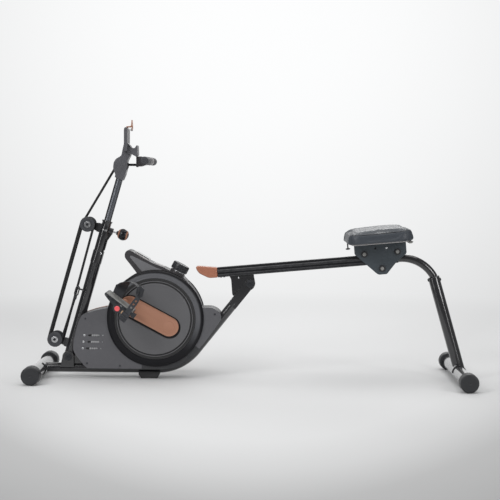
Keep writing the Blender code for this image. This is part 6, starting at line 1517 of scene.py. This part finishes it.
TRAY = mm(
    (-446, 844.5), (-434, 844), (-428, 841.6), (-423, 840.3), (-419.5, 840.8), (-416, 845), (-413.8, 849),
    (-412.2, 850.6), (-410.5, 850.8), (-409.5, 848), (-408.5, 815), (-415.4, 810.5), (-432.2, 819.8), (-446, 819.8),
)
STRAND_LEAN = math.radians(31.5)
SNOUT = mm((-456, 760), (-449, 760), (-444, 772), (-444, 787.4), (-456, 787.4))
head_plastic = finish_of(
    "head_plastic", "casing_plastic", (0.082, 0.082, 0.094), (0.18, 0.18, 0.185), 0.36, grain=1400.0, depth=0.00004,
    dust=0.1,
)
column = plate(HEAD_COLUMN, -0.023, 0.023)
head_joins = [
    plate(BACK_PLATE, -0.045, 0.045), plate(TRAY, -0.03, 0.03), plate(SNOUT, -0.011, 0.011),
    in_mast(turned([(0.0, 0.679), (0.018, 0.679), (0.0186, 0.68), (0.0192, 0.7), (0.0, 0.7)], 64)),
]
strand = Vector((math.sin(STRAND_LEAN), math.cos(STRAND_LEAN)))
aside = Vector((-strand.y, strand.x))
head_hub = Vector((HEAD_PULLEY_X, HEAD_PULLEY_Z))
inner_side, outer_side = head_hub + aside * 0.004, head_hub + aside * (HEAD_PITCH + ROPE_RADIUS + 0.03)
slot = (inner_side, inner_side - strand * 0.06, outer_side - strand * 0.06, outer_side + strand * 0.004)
head_cuts = [
    along_x(rod(ROPE_RADIUS + 0.0016, 0.0, 0.09, 32), HEAD_PULLEY_X, top_z),
    across(rod(HEAD_RADIUS + 0.0016, -0.007, 0.007, 64), HEAD_PULLEY_X, HEAD_PULLEY_Z),
    plate(slot, -0.007, 0.007),
    in_mast(rod(INNER_RADIUS + 0.0004, INNER_HIGH - 0.0804, INNER_HIGH + 0.0004, 48)),
    block(-0.452, -0.447, -0.0085, 0.0085, 0.87, 0.94),
]
head = machined(column, joins=head_joins, cuts=head_cuts)
piece("head_shell", head, head_plastic, "head", ("head_housing",), ease=0.0016, steps=3)
lip = block(-0.415, -0.4085, -0.016, 0.016, 0.772, 0.811)
piece("head_front_plate", lip, pod_plastic, "head", ease=0.0012)
pin = across(rod(0.003, -0.011, 0.011, 24), HEAD_PULLEY_X, HEAD_PULLEY_Z)
piece("head_pulley_pin", pin, zinc, "head")
wheel = across(sheave(HEAD_PITCH, HEAD_RADIUS, PULLEY_WIDTH, 0.0035, 0.0042), HEAD_PULLEY_X, HEAD_PULLEY_Z)
piece("head_wheel_grooved", wheel, pulley_nylon, "head_wheel", ("head_pulley",))
collar_pin = on_side(dome_head(0.003, 0.0014), -1, 0.012, 0.6712, 0.006)
piece("head_collar_pin", in_mast(collar_pin), chrome, "head")

# The phone clip is a sprung copper coloured leaf that slides in the back of the cradle. A pale rubber ball on its
# underside presses on the phone.
CLIP_X, CLIP_Z = -0.4495, 0.9155
CLIP_BALL = 0.0052
leaf = mm(
    (-2.2, 0.9), (16.5, 0.9), (17.8, 0), (18.2, -9), (20, -9), (20.6, -1), (20.5, 4), (19.6, 16), (18.6, 28),
    (16.8, 28), (16, 16), (15.2, 7.2), (12, 5.4), (-2.2, 4.5),
)
clip_place = Matrix.Translation((CLIP_X, 0.0, CLIP_Z))
stem = block(-0.0022, 0.0022, -0.008, 0.008, -0.043, 0.003)
clip = [moved(mesh, clip_place) for mesh in (stem, plate(leaf, -0.012, 0.012))]
piece("phone_clip_leaf", clip, copper, "clip", ("phone_clip",), ease=0.0006)
pale_rubber = finish_of(
    "pale_rubber", "copper_plastic", (0.62, 0.61, 0.6), (0.6, 0.6, 0.6), 0.45, grain=1500.0, depth=0.00003, dust=0.1,
)
ball = moved(turned(rounded(CLIP_BALL, CLIP_BALL, 12), 32), clip_place @ Matrix.Translation((0.0165, 0.0, -0.0078)))
piece("phone_clip_ball", ball, pale_rubber, "clip")

# The pull bar is a bright steel tube with a moulded yoke round its middle, where the rope is knotted in. A foam grip
# with a closed round end is pushed over each half.
BAR_X, BAR_Z = -0.3697, 0.794
foam = finish_of(
    "grip_foam", "black_rubber", (0.05, 0.051, 0.058), (0.12, 0.12, 0.12), 0.62, grain=1100.0, depth=0.00016,
    dust=0.1, wear=0.2,
)
bar = across(rod(0.012, -0.164, 0.164, 48, 0.001), BAR_X, BAR_Z)
piece("pull_bar_steel", bar, chrome, "handle", ("pull_bar",))
yoke = [
    (-0.408, 0.7744), (-0.397, 0.7744), (BAR_X - 0.008, BAR_Z - 0.0135), (BAR_X, BAR_Z - 0.0148),
    (BAR_X + 0.008, BAR_Z - 0.0135), (BAR_X + 0.013, BAR_Z - 0.007), (BAR_X + 0.0145, BAR_Z),
    (BAR_X + 0.013, BAR_Z + 0.007), (BAR_X + 0.008, BAR_Z + 0.0135), (BAR_X, BAR_Z + 0.0148),
    (BAR_X - 0.008, BAR_Z + 0.0135), (-0.397, 0.811), (-0.408, 0.811),
]
piece("pull_bar_yoke", plate(yoke, -0.02, 0.02), pod_plastic, "handle", ease=0.0022, steps=3)
# A pale ring at the inner end of each grip paints the highlight on the grip's rim.
rings = mm((12.6, 0), (15, 0), (15.2, 1), (15, 3.4), (12.6, 3.4))
grip_profile = mm(
    (12.4, 0), (13.8, 0), (14.5, 1), (14.5, 119.5), (14.1, 122.5), (13, 124.6), (11.2, 125.7), (8.8, 126), (6, 126),
    (5.2, 125.3), (0, 125.1), (0, 122.4), (12.4, 122.4),
)
for word, side in SIDES:
    grip = sided(across(turned(grip_profile, 64, ring=True), BAR_X, BAR_Z, 0.044), side)
    ring = sided(across(turned(rings, 64, ring=True), BAR_X, BAR_Z, 0.0404), side)
    piece(f"grip_foam_{word}", grip, foam, "handle", (f"grip_{word}",))
    piece(f"grip_highlight_ring_{word}", ring, bezel_plastic, "handle")

# The seat rail is an extrusion of black anodised aluminium, sawn square at both ends. It has a running ridge on top,
# a rounded shoulder down each side, and a deep and a fine groove in each flank.
RAIL_SLOPE = math.radians(5.17)
RAIL_FRONT, RAIL_REAR = -0.115, 0.5446
RAIL_FLANK = mm(
    (0, 32.5), (18.8, 32.5), (20, 33.7), (20, 37.2), (19.2, 37.6), (19.2, 38.4), (20, 38.8), (20, 43.2), (19.4, 43.8),
    (17.5, 44.3), (17.5, 48.7), (19.4, 49.2), (20, 49.8), (20, 54.5), (19.6, 56.8), (18.6, 58.6), (17, 59.7),
    (15.5, 60), (9.4, 60), (9, 60.4), (9, 67.5), (8, 68.5), (0, 68.5),
)

black_anodised = finish_of(
    "black_anodised", "black_aluminium", (0.02, 0.021, 0.024), (0.22, 0.22, 0.23), 0.3, metallic=0.55, grain=1400.0,
    depth=0.00001, swing=0.05, wear=0.5, dust=0.08,
)
rail_frame = frame_at(FOLD_X, FOLD_Z, -RAIL_SLOPE)


def in_rail(*meshes):
    return [moved(mesh, rail_frame) for mesh in meshes]


def extruded(flank, low, high):
    """A bar along X from half of its section in YZ, mirrored about its middle."""
    section = list(flank) + [(-y, z) for y, z in reversed(flank) if y > 0.0]
    return skin([[(x, y, z) for y, z in section] for x in (low, high)])


rail_bar = in_rail(extruded(RAIL_FLANK, RAIL_FRONT, RAIL_REAR))
piece("seat_rail_extrusion", rail_bar, black_anodised, "rail", ("seat_rail",), sharp=28.0)
bumper = mm((0, -3.4), (2.2, -3.1), (3.6, -1.8), (4, 0), (4, 0.4), (0, 0.4))
bumpers = [shifted(turned(bumper, 24), t, 0.0, 0.0325) for t in (-0.104, -0.093)]
piece("rail_bumpers", in_rail(*bumpers), black_rubber, "rail")

# The rail's front end is closed by a copper coloured nose, moulded in plastic with a rounded beak. It is a push fit
# in the rail.
NOSE_END = -0.1154
NOSE_TIP = -0.1924
NOSE = [
    (NOSE_END, 0.0318), (NOSE_END, 0.0685), (NOSE_END - 0.015, 0.0709), (NOSE_END - 0.03, 0.073),
    (NOSE_END - 0.043, 0.0754), (NOSE_END - 0.056, 0.0775), (NOSE_END - 0.063, 0.0787), (NOSE_END - 0.069, 0.0794),
    (NOSE_END - 0.073, 0.0788), (NOSE_TIP + 0.0012, 0.0768), (NOSE_TIP, 0.0735), (NOSE_TIP + 0.0008, 0.07),
    (NOSE_TIP + 0.004, 0.0625), (NOSE_END - 0.068, 0.0545), (NOSE_END - 0.062, 0.0495), (NOSE_END - 0.0545, 0.045),
    (NOSE_END - 0.044, 0.0389), (NOSE_END - 0.038, 0.0355), (NOSE_END - 0.033, 0.0335), (NOSE_END - 0.026, 0.0322),
]
nose_copper = finish_of(
    "nose_copper", "copper_plastic", (0.46, 0.19, 0.118), (0.6, 0.34, 0.24), 0.26, metallic=0.2, grain=800.0,
    depth=0.00002, swing=0.05, dust=0.05, mottle=0.05,
)
nose = in_rail(plate(NOSE, -0.02, 0.02))
piece("rail_nose_moulded", nose, nose_copper, "rail", ("rail_nose",), ease=0.0045, steps=5)

# The fold bracket is a pressed and welded channel under the rail. It holds the hinge bolt and a hole for the lock
# pin, and it is painted with the base. A bright screw fixes it to the rail on each side.
BRACKET = mm(
    (-72.5, 32.1), (-69, 23), (-68, 17.5), (-68.5, -30), (-68, -35.5), (-65.5, -39), (-62.2, -42.2), (-58, -43),
    (-54, -42.4), (-30, -35), (5, -22.5), (10.8, -18), (15, -12), (17.3, -7.5), (18.5, -3), (18.2, 4), (16.5, 18),
    (16, 32.1),
)
BRACKET_HALF = 0.0125
LOCK_HOLE = (-0.058, -0.03)
bracket = machined(plate(BRACKET, -BRACKET_HALF, BRACKET_HALF), cuts=[
    block(-0.1, 0.05, -0.0095, 0.0095, -0.08, 0.0291), across(rod(0.0055, -0.05, 0.05, 32), 0.0, 0.0),
    across(rod(0.0042, -0.05, 0.05, 32), *LOCK_HOLE),
])
piece("fold_bracket_channel", in_rail(bracket), gloss_black, "rail", ("fold_bracket",), ease=0.0008)
hole_plugs = near_and_far(lambda: dome_head(0.0056, 0.0022, 0.5), *LOCK_HOLE, BRACKET_HALF)
piece("fold_bracket_plugs", in_rail(*hole_plugs), black_rubber, "rail")
bracket_screws = near_and_far(lambda: dome_head(0.003, 0.0014), -0.04, 0.0245, BRACKET_HALF)
piece("fold_bracket_screws", in_rail(*bracket_screws), zinc, "rail")

# The rear leg is a bent steel tube that plugs into the rail and into a thicker lower leg, which is welded to a saddle
# on the rear foot. Both are painted gloss black, and two screws clamp them at the mouth of the lower leg.
LEG_AXIS_H = 0.0475
LEG_RADIUS = 0.0145
LEG_LEAN = math.radians(16.2)
LEG_FOOT_X = REAR_FOOT_X + 0.0065
LOWER_LEG_RADIUS = 0.021
LOWER_LEG_TOP = 0.381
LEG_INSERT = 0.06


def rail_point(t, h):
    point = rail_frame @ Vector((t, 0.0, h))
    return Vector((point.x, point.z))


def leg_x(z):
    return LEG_FOOT_X - (z - FOOT_AXIS_Z) * math.tan(LEG_LEAN)


def leg_bend(mouth_z, steps=40):
    """The arc that leaves the rail square and ends on the leg's line, and the angle that it still lacks there."""
    start = rail_point(RAIL_REAR + 0.0044, LEG_AXIS_H)
    slope, lean = math.tan(RAIL_SLOPE), math.tan(LEG_LEAN)
    corner_x = (LEG_FOOT_X + (FOOT_AXIS_Z - start.y + slope * start.x) * lean) / (1 + slope * lean)
    corner = Vector((corner_x, start.y + slope * (corner_x - start.x)))
    drop = (Vector((leg_x(mouth_z), mouth_z)) - corner).length
    turn = math.pi / 2 - LEG_LEAN + RAIL_SLOPE
    ahead = drop * math.cos(turn) + (corner - start).length
    below = drop * math.sin(turn)
    radius = (ahead * ahead + below * below) / (2 * below)
    swing = math.atan2(ahead, radius - below)
    centre = start + Vector((math.sin(RAIL_SLOPE), -math.cos(RAIL_SLOPE))) * radius
    first = math.pi / 2 + RAIL_SLOPE
    return arc(centre, radius, first, first - swing, steps), turn - swing


kink = leg_bend(LOWER_LEG_TOP)[1]
leg_rise = LEG_RADIUS * math.tan(kink / 2) + 0.0016
bend = leg_bend(LOWER_LEG_TOP + leg_rise * math.cos(LEG_LEAN))[0]
down = Vector((math.sin(LEG_LEAN), -math.cos(LEG_LEAN)))
leg_start = rail_point(RAIL_REAR + 0.0004, LEG_AXIS_H)
leg_end = Vector(bend[-1]) + down * LEG_INSERT
leg = drawn([tuple(leg_start)] + bend + [tuple(leg_end)], LEG_RADIUS, 56, 0.002)
piece("rear_leg_bent", leg, gloss_black, "rail", ("rear_leg_upper",))
mouth = frame_at(leg_x(LOWER_LEG_TOP), LOWER_LEG_TOP, math.pi - LEG_LEAN)
leg_length = (LOWER_LEG_TOP - FOOT_AXIS_Z - 0.006) / math.cos(LEG_LEAN)
lower_profile = [
    (LEG_RADIUS + 0.0004, 0.0), (0.0186, 0.0), (0.0198, 0.0005), (0.0206, 0.0014), (LOWER_LEG_RADIUS, 0.0026),
    (LOWER_LEG_RADIUS, leg_length), (0.019, leg_length), (0.019, LEG_INSERT + 0.02),
    (LEG_RADIUS + 0.0004, LEG_INSERT + 0.02),
]
fish_mouth = across(rod(FOOT_TUBE_RADIUS + 0.0033, -0.1, 0.1, 72), REAR_FOOT_X, FOOT_AXIS_Z)
lower_leg = machined(moved(turned(lower_profile, 64, ring=True), mouth), cuts=[fish_mouth])
piece("rear_leg_lower_tube", lower_leg, gloss_black, "rail", ("rear_leg_lower",))
rear_saddle = saddle(REAR_FOOT_X, math.radians(5), math.radians(185))
piece("rear_saddle", rear_saddle, gloss_black, "rail", ease=0.0007)
side_turn = Matrix.Rotation(math.pi / 2, 4, "Y")
front_screw = moved(dome_head(0.006, 0.004), mouth @ Matrix.Translation((-0.0205, 0.0, 0.016)) @ side_turn.inverted())
rear_screw = moved(dome_head(0.0058, 0.0042), mouth @ Matrix.Translation((0.02, 0.0, 0.008)) @ side_turn)
piece("rear_leg_clamp_screws", [front_screw, rear_screw], dark_zinc, "rail")

# The seat runs on a folded steel carriage with a satin coat. Two spool rollers sit on the rail's shoulders and a
# third runs under the rail. Each turns on a bolt with a pale plug in its black cap: the plug's paleness paints the
# highlight on the cap's dome.
CARRIAGE = mm(
    (390.8, 113.6), (390.8, 76), (391.8, 71.4), (460, 2), (466, -2.8), (471.5, -4.9), (496.5, -4.9), (500.5, -3.2),
    (534.5, 33.6), (573.5, 63), (576.2, 68), (576.2, 113.6),
)
ROLLERS = (("front", 0.4228, 0.0734), ("rear", 0.5432, 0.0734), ("lower", 0.4835, 0.0166))

carriage_paint = finish_of(
    "carriage_paint", "gloss_black_paint", (0.056, 0.069, 0.08), (0.13, 0.14, 0.145), 0.36, grain=800.0,
    depth=0.00004, dust=0.1, wear=0.5,
)
roller_nylon = finish_of(
    "roller_nylon", "black_plastic", (0.06, 0.06, 0.062), (0.12, 0.12, 0.12), 0.4, grain=1300.0, depth=0.00003,
    dust=0.1,
)
cheeks = [plate(CARRIAGE, side * 0.025, side * 0.028) for side in (-1, 1)]
carriage = cheeks + [
    block(0.3928, 0.5732, -0.075, 0.075, 0.1106, 0.1136), block(0.3908, 0.5762, -0.028, 0.028, 0.1106, 0.1136),
]
piece("seat_carriage_folded", in_rail(*carriage), carriage_paint, "seat", ("seat_carriage",), ease=0.0007)
cap_profile = mm((0, 0), (12, 0), (12, 3), (11.2, 4.1), (9.6, 4.5), (6.8, 4.5), (6.8, 3.4), (0, 3.4))
# Each pale plug paints the highlight on its cap's dome.
highlight_plug_profile = mm((0, 3), (6.4, 3), (6.4, 4), (5.2, 4.7), (3, 5.1), (0, 5.2))
caps, highlight_plugs, bolts = [], [], []
for word, t, h in ROLLERS:
    caps += near_and_far(lambda: turned(cap_profile, 48), t, h, 0.0281)
    highlight_plugs += near_and_far(lambda: turned(highlight_plug_profile, 40), t, h, 0.0281)
    bolts.append(across(rod(0.003, -0.0285, 0.0285, 24), t, h))
piece("carriage_bolt_caps", in_rail(*caps), satin_plastic, "seat")
piece("carriage_cap_highlight_plugs", in_rail(*highlight_plugs), tread_rubber, "seat")
piece("carriage_bolts", in_rail(*bolts), zinc, "seat")
side_screws = near_and_far(lambda: dome_head(0.0042, 0.0022, 0.3), 0.5046, 0.0905, 0.028)
# A dark glossy disc on each side paints the shade in a small hole of the carriage.
hole_shade_disc = [(0.0, 0.0), (0.0036, 0.0), (0.003, 0.0006), (0.0, 0.0003)]
hole_shade_discs = near_and_far(lambda: turned(hole_shade_disc, 28), 0.4647, 0.0919, 0.028)
piece("carriage_side_screws", in_rail(*side_screws), chrome, "seat")
piece("carriage_hole_shade_discs", in_rail(*hole_shade_discs), knob_gloss, "seat")
spool = mm(
    (3.5, -22.7), (11.8, -22.7), (13, -21.5), (13, -11.4), (11.8, -10.2), (4.4, -10.2), (4.4, 10.2), (11.8, 10.2),
    (13, 11.4), (13, 21.5), (11.8, 22.7), (3.5, 22.7),
)
drum = mm((3.5, -24), (14.3, -24), (15.5, -22.8), (15.5, 22.8), (14.3, 24), (3.5, 24))
for (word, t, h), profile in zip(ROLLERS, (spool, spool, drum)):
    roller = in_rail(across(turned(profile, 56, ring=True), t, h))
    piece(f"roller_tyre_{word}", roller, roller_nylon, f"wheel_{word}", (f"roller_{word}",))

# The seat is a padded cushion: vinyl drawn over foam on a thin board. A sewn seam runs round its top edge, its
# sides are drawn in between the corners, and a small black grip hangs from the board at the far front corner.
SEAT_MIDDLE = 0.477
SEAT_LENGTH, SEAT_WIDTH = 0.232, 0.34
SEAT_BASE = 0.114
BOARD_THICKNESS = 0.0026
CUSHION_ROWS = mm(
    (9, 2.8), (4.5, 3.6), (2, 5.2), (0.6, 8.5), (0, 13), (0, 19), (0.3, 26), (0.8, 31), (1.8, 35), (3.4, 37.6),
    (5.8, 39.2), (9, 40.1), (15, 40.9), (26, 41.9), (42, 42.9), (60, 43.8), (80, 44.6), (98, 45),
)
CUSHION_CORNER = 0.045
CUSHION_DRAWN_IN = 0.0016
CUSHION_CROWN = 0.006
CUSHION_WEDGE = 0.004
CUSHION_SHRINK = -0.0018
CUSHION_VOXEL = 0.005
CUSHION_PRESSURE = 4.0
CUSHION_CAP = 0.005
CLOTH_FRAMES = 20
SEAM_RADIUS = 0.0009
SEAT_GRIP_X, SEAT_GRIP_Y = 0.3745, 0.135

vinyl = finish_of(
    "seat_vinyl", "seat_vinyl", (0.046, 0.054, 0.066), (0.12, 0.12, 0.125), 0.44, grain=1000.0, depth=0.00016,
    swing=0.07, wear=0.3, dust=0.12, mottle=0.12,
)
tree, shader, plain = shader_of(vinyl)
place = put(tree, "ShaderNodeTexCoord").outputs["Object"]
pebbles = put(tree, "ShaderNodeTexVoronoi", feature="DISTANCE_TO_EDGE", Scale=420.0, Vector=place)
swell = math_of(tree, "MINIMUM", pebbles.outputs["Distance"], 0.12)
fine = shader.inputs["Normal"].links[0].from_socket
pebble_bump = put(tree, "ShaderNodeBump", Strength=0.5, Distance=0.0003, Height=swell, Normal=fine)
tree.links.new(pebble_bump.outputs["Normal"], shader.inputs["Normal"])


def cushion_ring(inset, lift, steps=12):
    """One level of the cushion, in the rail's axes: a rounded rectangle whose sides are drawn in a little."""
    half_length, half_width = SEAT_LENGTH / 2 - inset, SEAT_WIDTH / 2 - inset
    corner = min(max(0.004, CUSHION_CORNER - inset * 0.6), half_length * 0.98)
    ring = []
    for sx, sy, start in ((1, 1, 0.0), (-1, 1, math.pi / 2), (-1, -1, math.pi), (1, -1, 3 * math.pi / 2)):
        centre = (sx * (half_length - corner), sy * (half_width - corner))
        ring += arc(centre, corner, start, start + math.pi / 2, steps)
    points = []
    for x, y in ring:
        pull = CUSHION_DRAWN_IN * (1 - inset / 0.11)
        in_x, in_y = pull * (1 - (y / half_width) ** 2), pull * (1 - (x / half_length) ** 2)
        x, y = x - math.copysign(in_x, x), y - math.copysign(in_y, y)
        edge = max(abs(x) / (SEAT_LENGTH / 2), abs(y) / (SEAT_WIDTH / 2))
        crown = CUSHION_CROWN * max(0.0, 1.0 - edge * edge) if lift > 0.035 else 0.0
        wedge = CUSHION_WEDGE * x / SEAT_LENGTH if lift > 0.01 else 0.0
        points.append(Vector((SEAT_MIDDLE + x, y, SEAT_BASE + lift + crown + wedge)))
    return points


def cushion_shape(shrink):
    return skin([cushion_ring(inset + shrink, lift) for inset, lift in CUSHION_ROWS])


def filled(mesh, cap):
    """Blows the cover up from inside, with its underside held, and lets no point move further than the cap."""
    item = blank_of(mesh, "cover")
    remesh = item.modifiers.new("even", "REMESH")
    remesh.mode = "VOXEL"
    remesh.voxel_size = CUSHION_VOXEL
    even = bpy.data.meshes.new_from_object(item.evaluated_get(bpy.context.evaluated_depsgraph_get()))
    item.modifiers.remove(remesh)
    spent, item.data = item.data, even
    bpy.data.meshes.remove(spent)
    held = item.vertex_groups.new(name="held")
    held.add([v.index for v in even.vertices if v.co.z < SEAT_BASE + 0.007], 1.0, "REPLACE")
    before = [v.co.copy() for v in even.vertices]
    cloth = item.modifiers.new("pressure", "CLOTH")
    cloth.settings.quality = 6
    cloth.settings.mass = 0.3
    cloth.settings.use_pressure = True
    cloth.settings.uniform_pressure_force = CUSHION_PRESSURE
    cloth.settings.effector_weights.gravity = 0.0
    cloth.settings.vertex_group_mass = "held"
    cloth.point_cache.frame_start = 1
    cloth.point_cache.frame_end = CLOTH_FRAMES
    for step in range(1, CLOTH_FRAMES + 1):
        scene.frame_set(step)
    seen = item.evaluated_get(bpy.context.evaluated_depsgraph_get())
    after = [v.co.copy() for v in seen.data.vertices]
    item.modifiers.remove(cloth)
    for vertex, start, end in zip(even.vertices, before, after):
        move = end - start
        vertex.co = start + move * min(1.0, cap / max(move.length, 0.000001))
    scene.frame_set(1)
    finer = item.modifiers.new("finer", "SUBSURF")
    finer.levels = 1
    result = bmesh.new()
    result.from_object(item, bpy.context.evaluated_depsgraph_get())
    bpy.data.objects.remove(item)
    bpy.data.meshes.remove(even)
    return result


cover = filled(cushion_shape(CUSHION_SHRINK), CUSHION_CAP)
surface = BVHTree.FromBMesh(cover)
cushion = piece("seat_cushion_padded", in_rail(cover), vinyl, "seat", ("seat_cushion",), sharp=80.0)
seam = [surface.find_nearest(point)[0] for point in cushion_ring(0.0048, 0.0395)]
seam = drawn(seam + seam[:1], SEAM_RADIUS, 10)
piece("seat_edge_seam", in_rail(seam), satin_plastic, "seat", sharp=80.0)
edge = cushion_ring(0.012, 0.0)
board = skin([[(point.x, point.y, SEAT_BASE + rise) for point in edge] for rise in (0.0, BOARD_THICKNESS)])
piece("seat_board", in_rail(board), bezel_plastic, "seat", ease=0.0004)
grip_stem = shifted(rod(0.0026, 0.088, SEAT_BASE + 0.0004, 20), SEAT_GRIP_X, SEAT_GRIP_Y, 0.0)
oval = shifted(turned(rounded(0.009, 0.0036, 14), 32), SEAT_GRIP_X, SEAT_GRIP_Y, 0.088)
piece("seat_far_grip", in_rail(grip_stem, oval), satin_plastic, "seat")
board_end = mm((576.6, 113.8), (576.6, 106.8), (584.5, 106.8), (589.5, 110.5), (589.5, 113.8))
piece("seat_board_end", in_rail(plate(board_end, -0.148, 0.148)), tread_rubber, "seat", ease=0.0008)
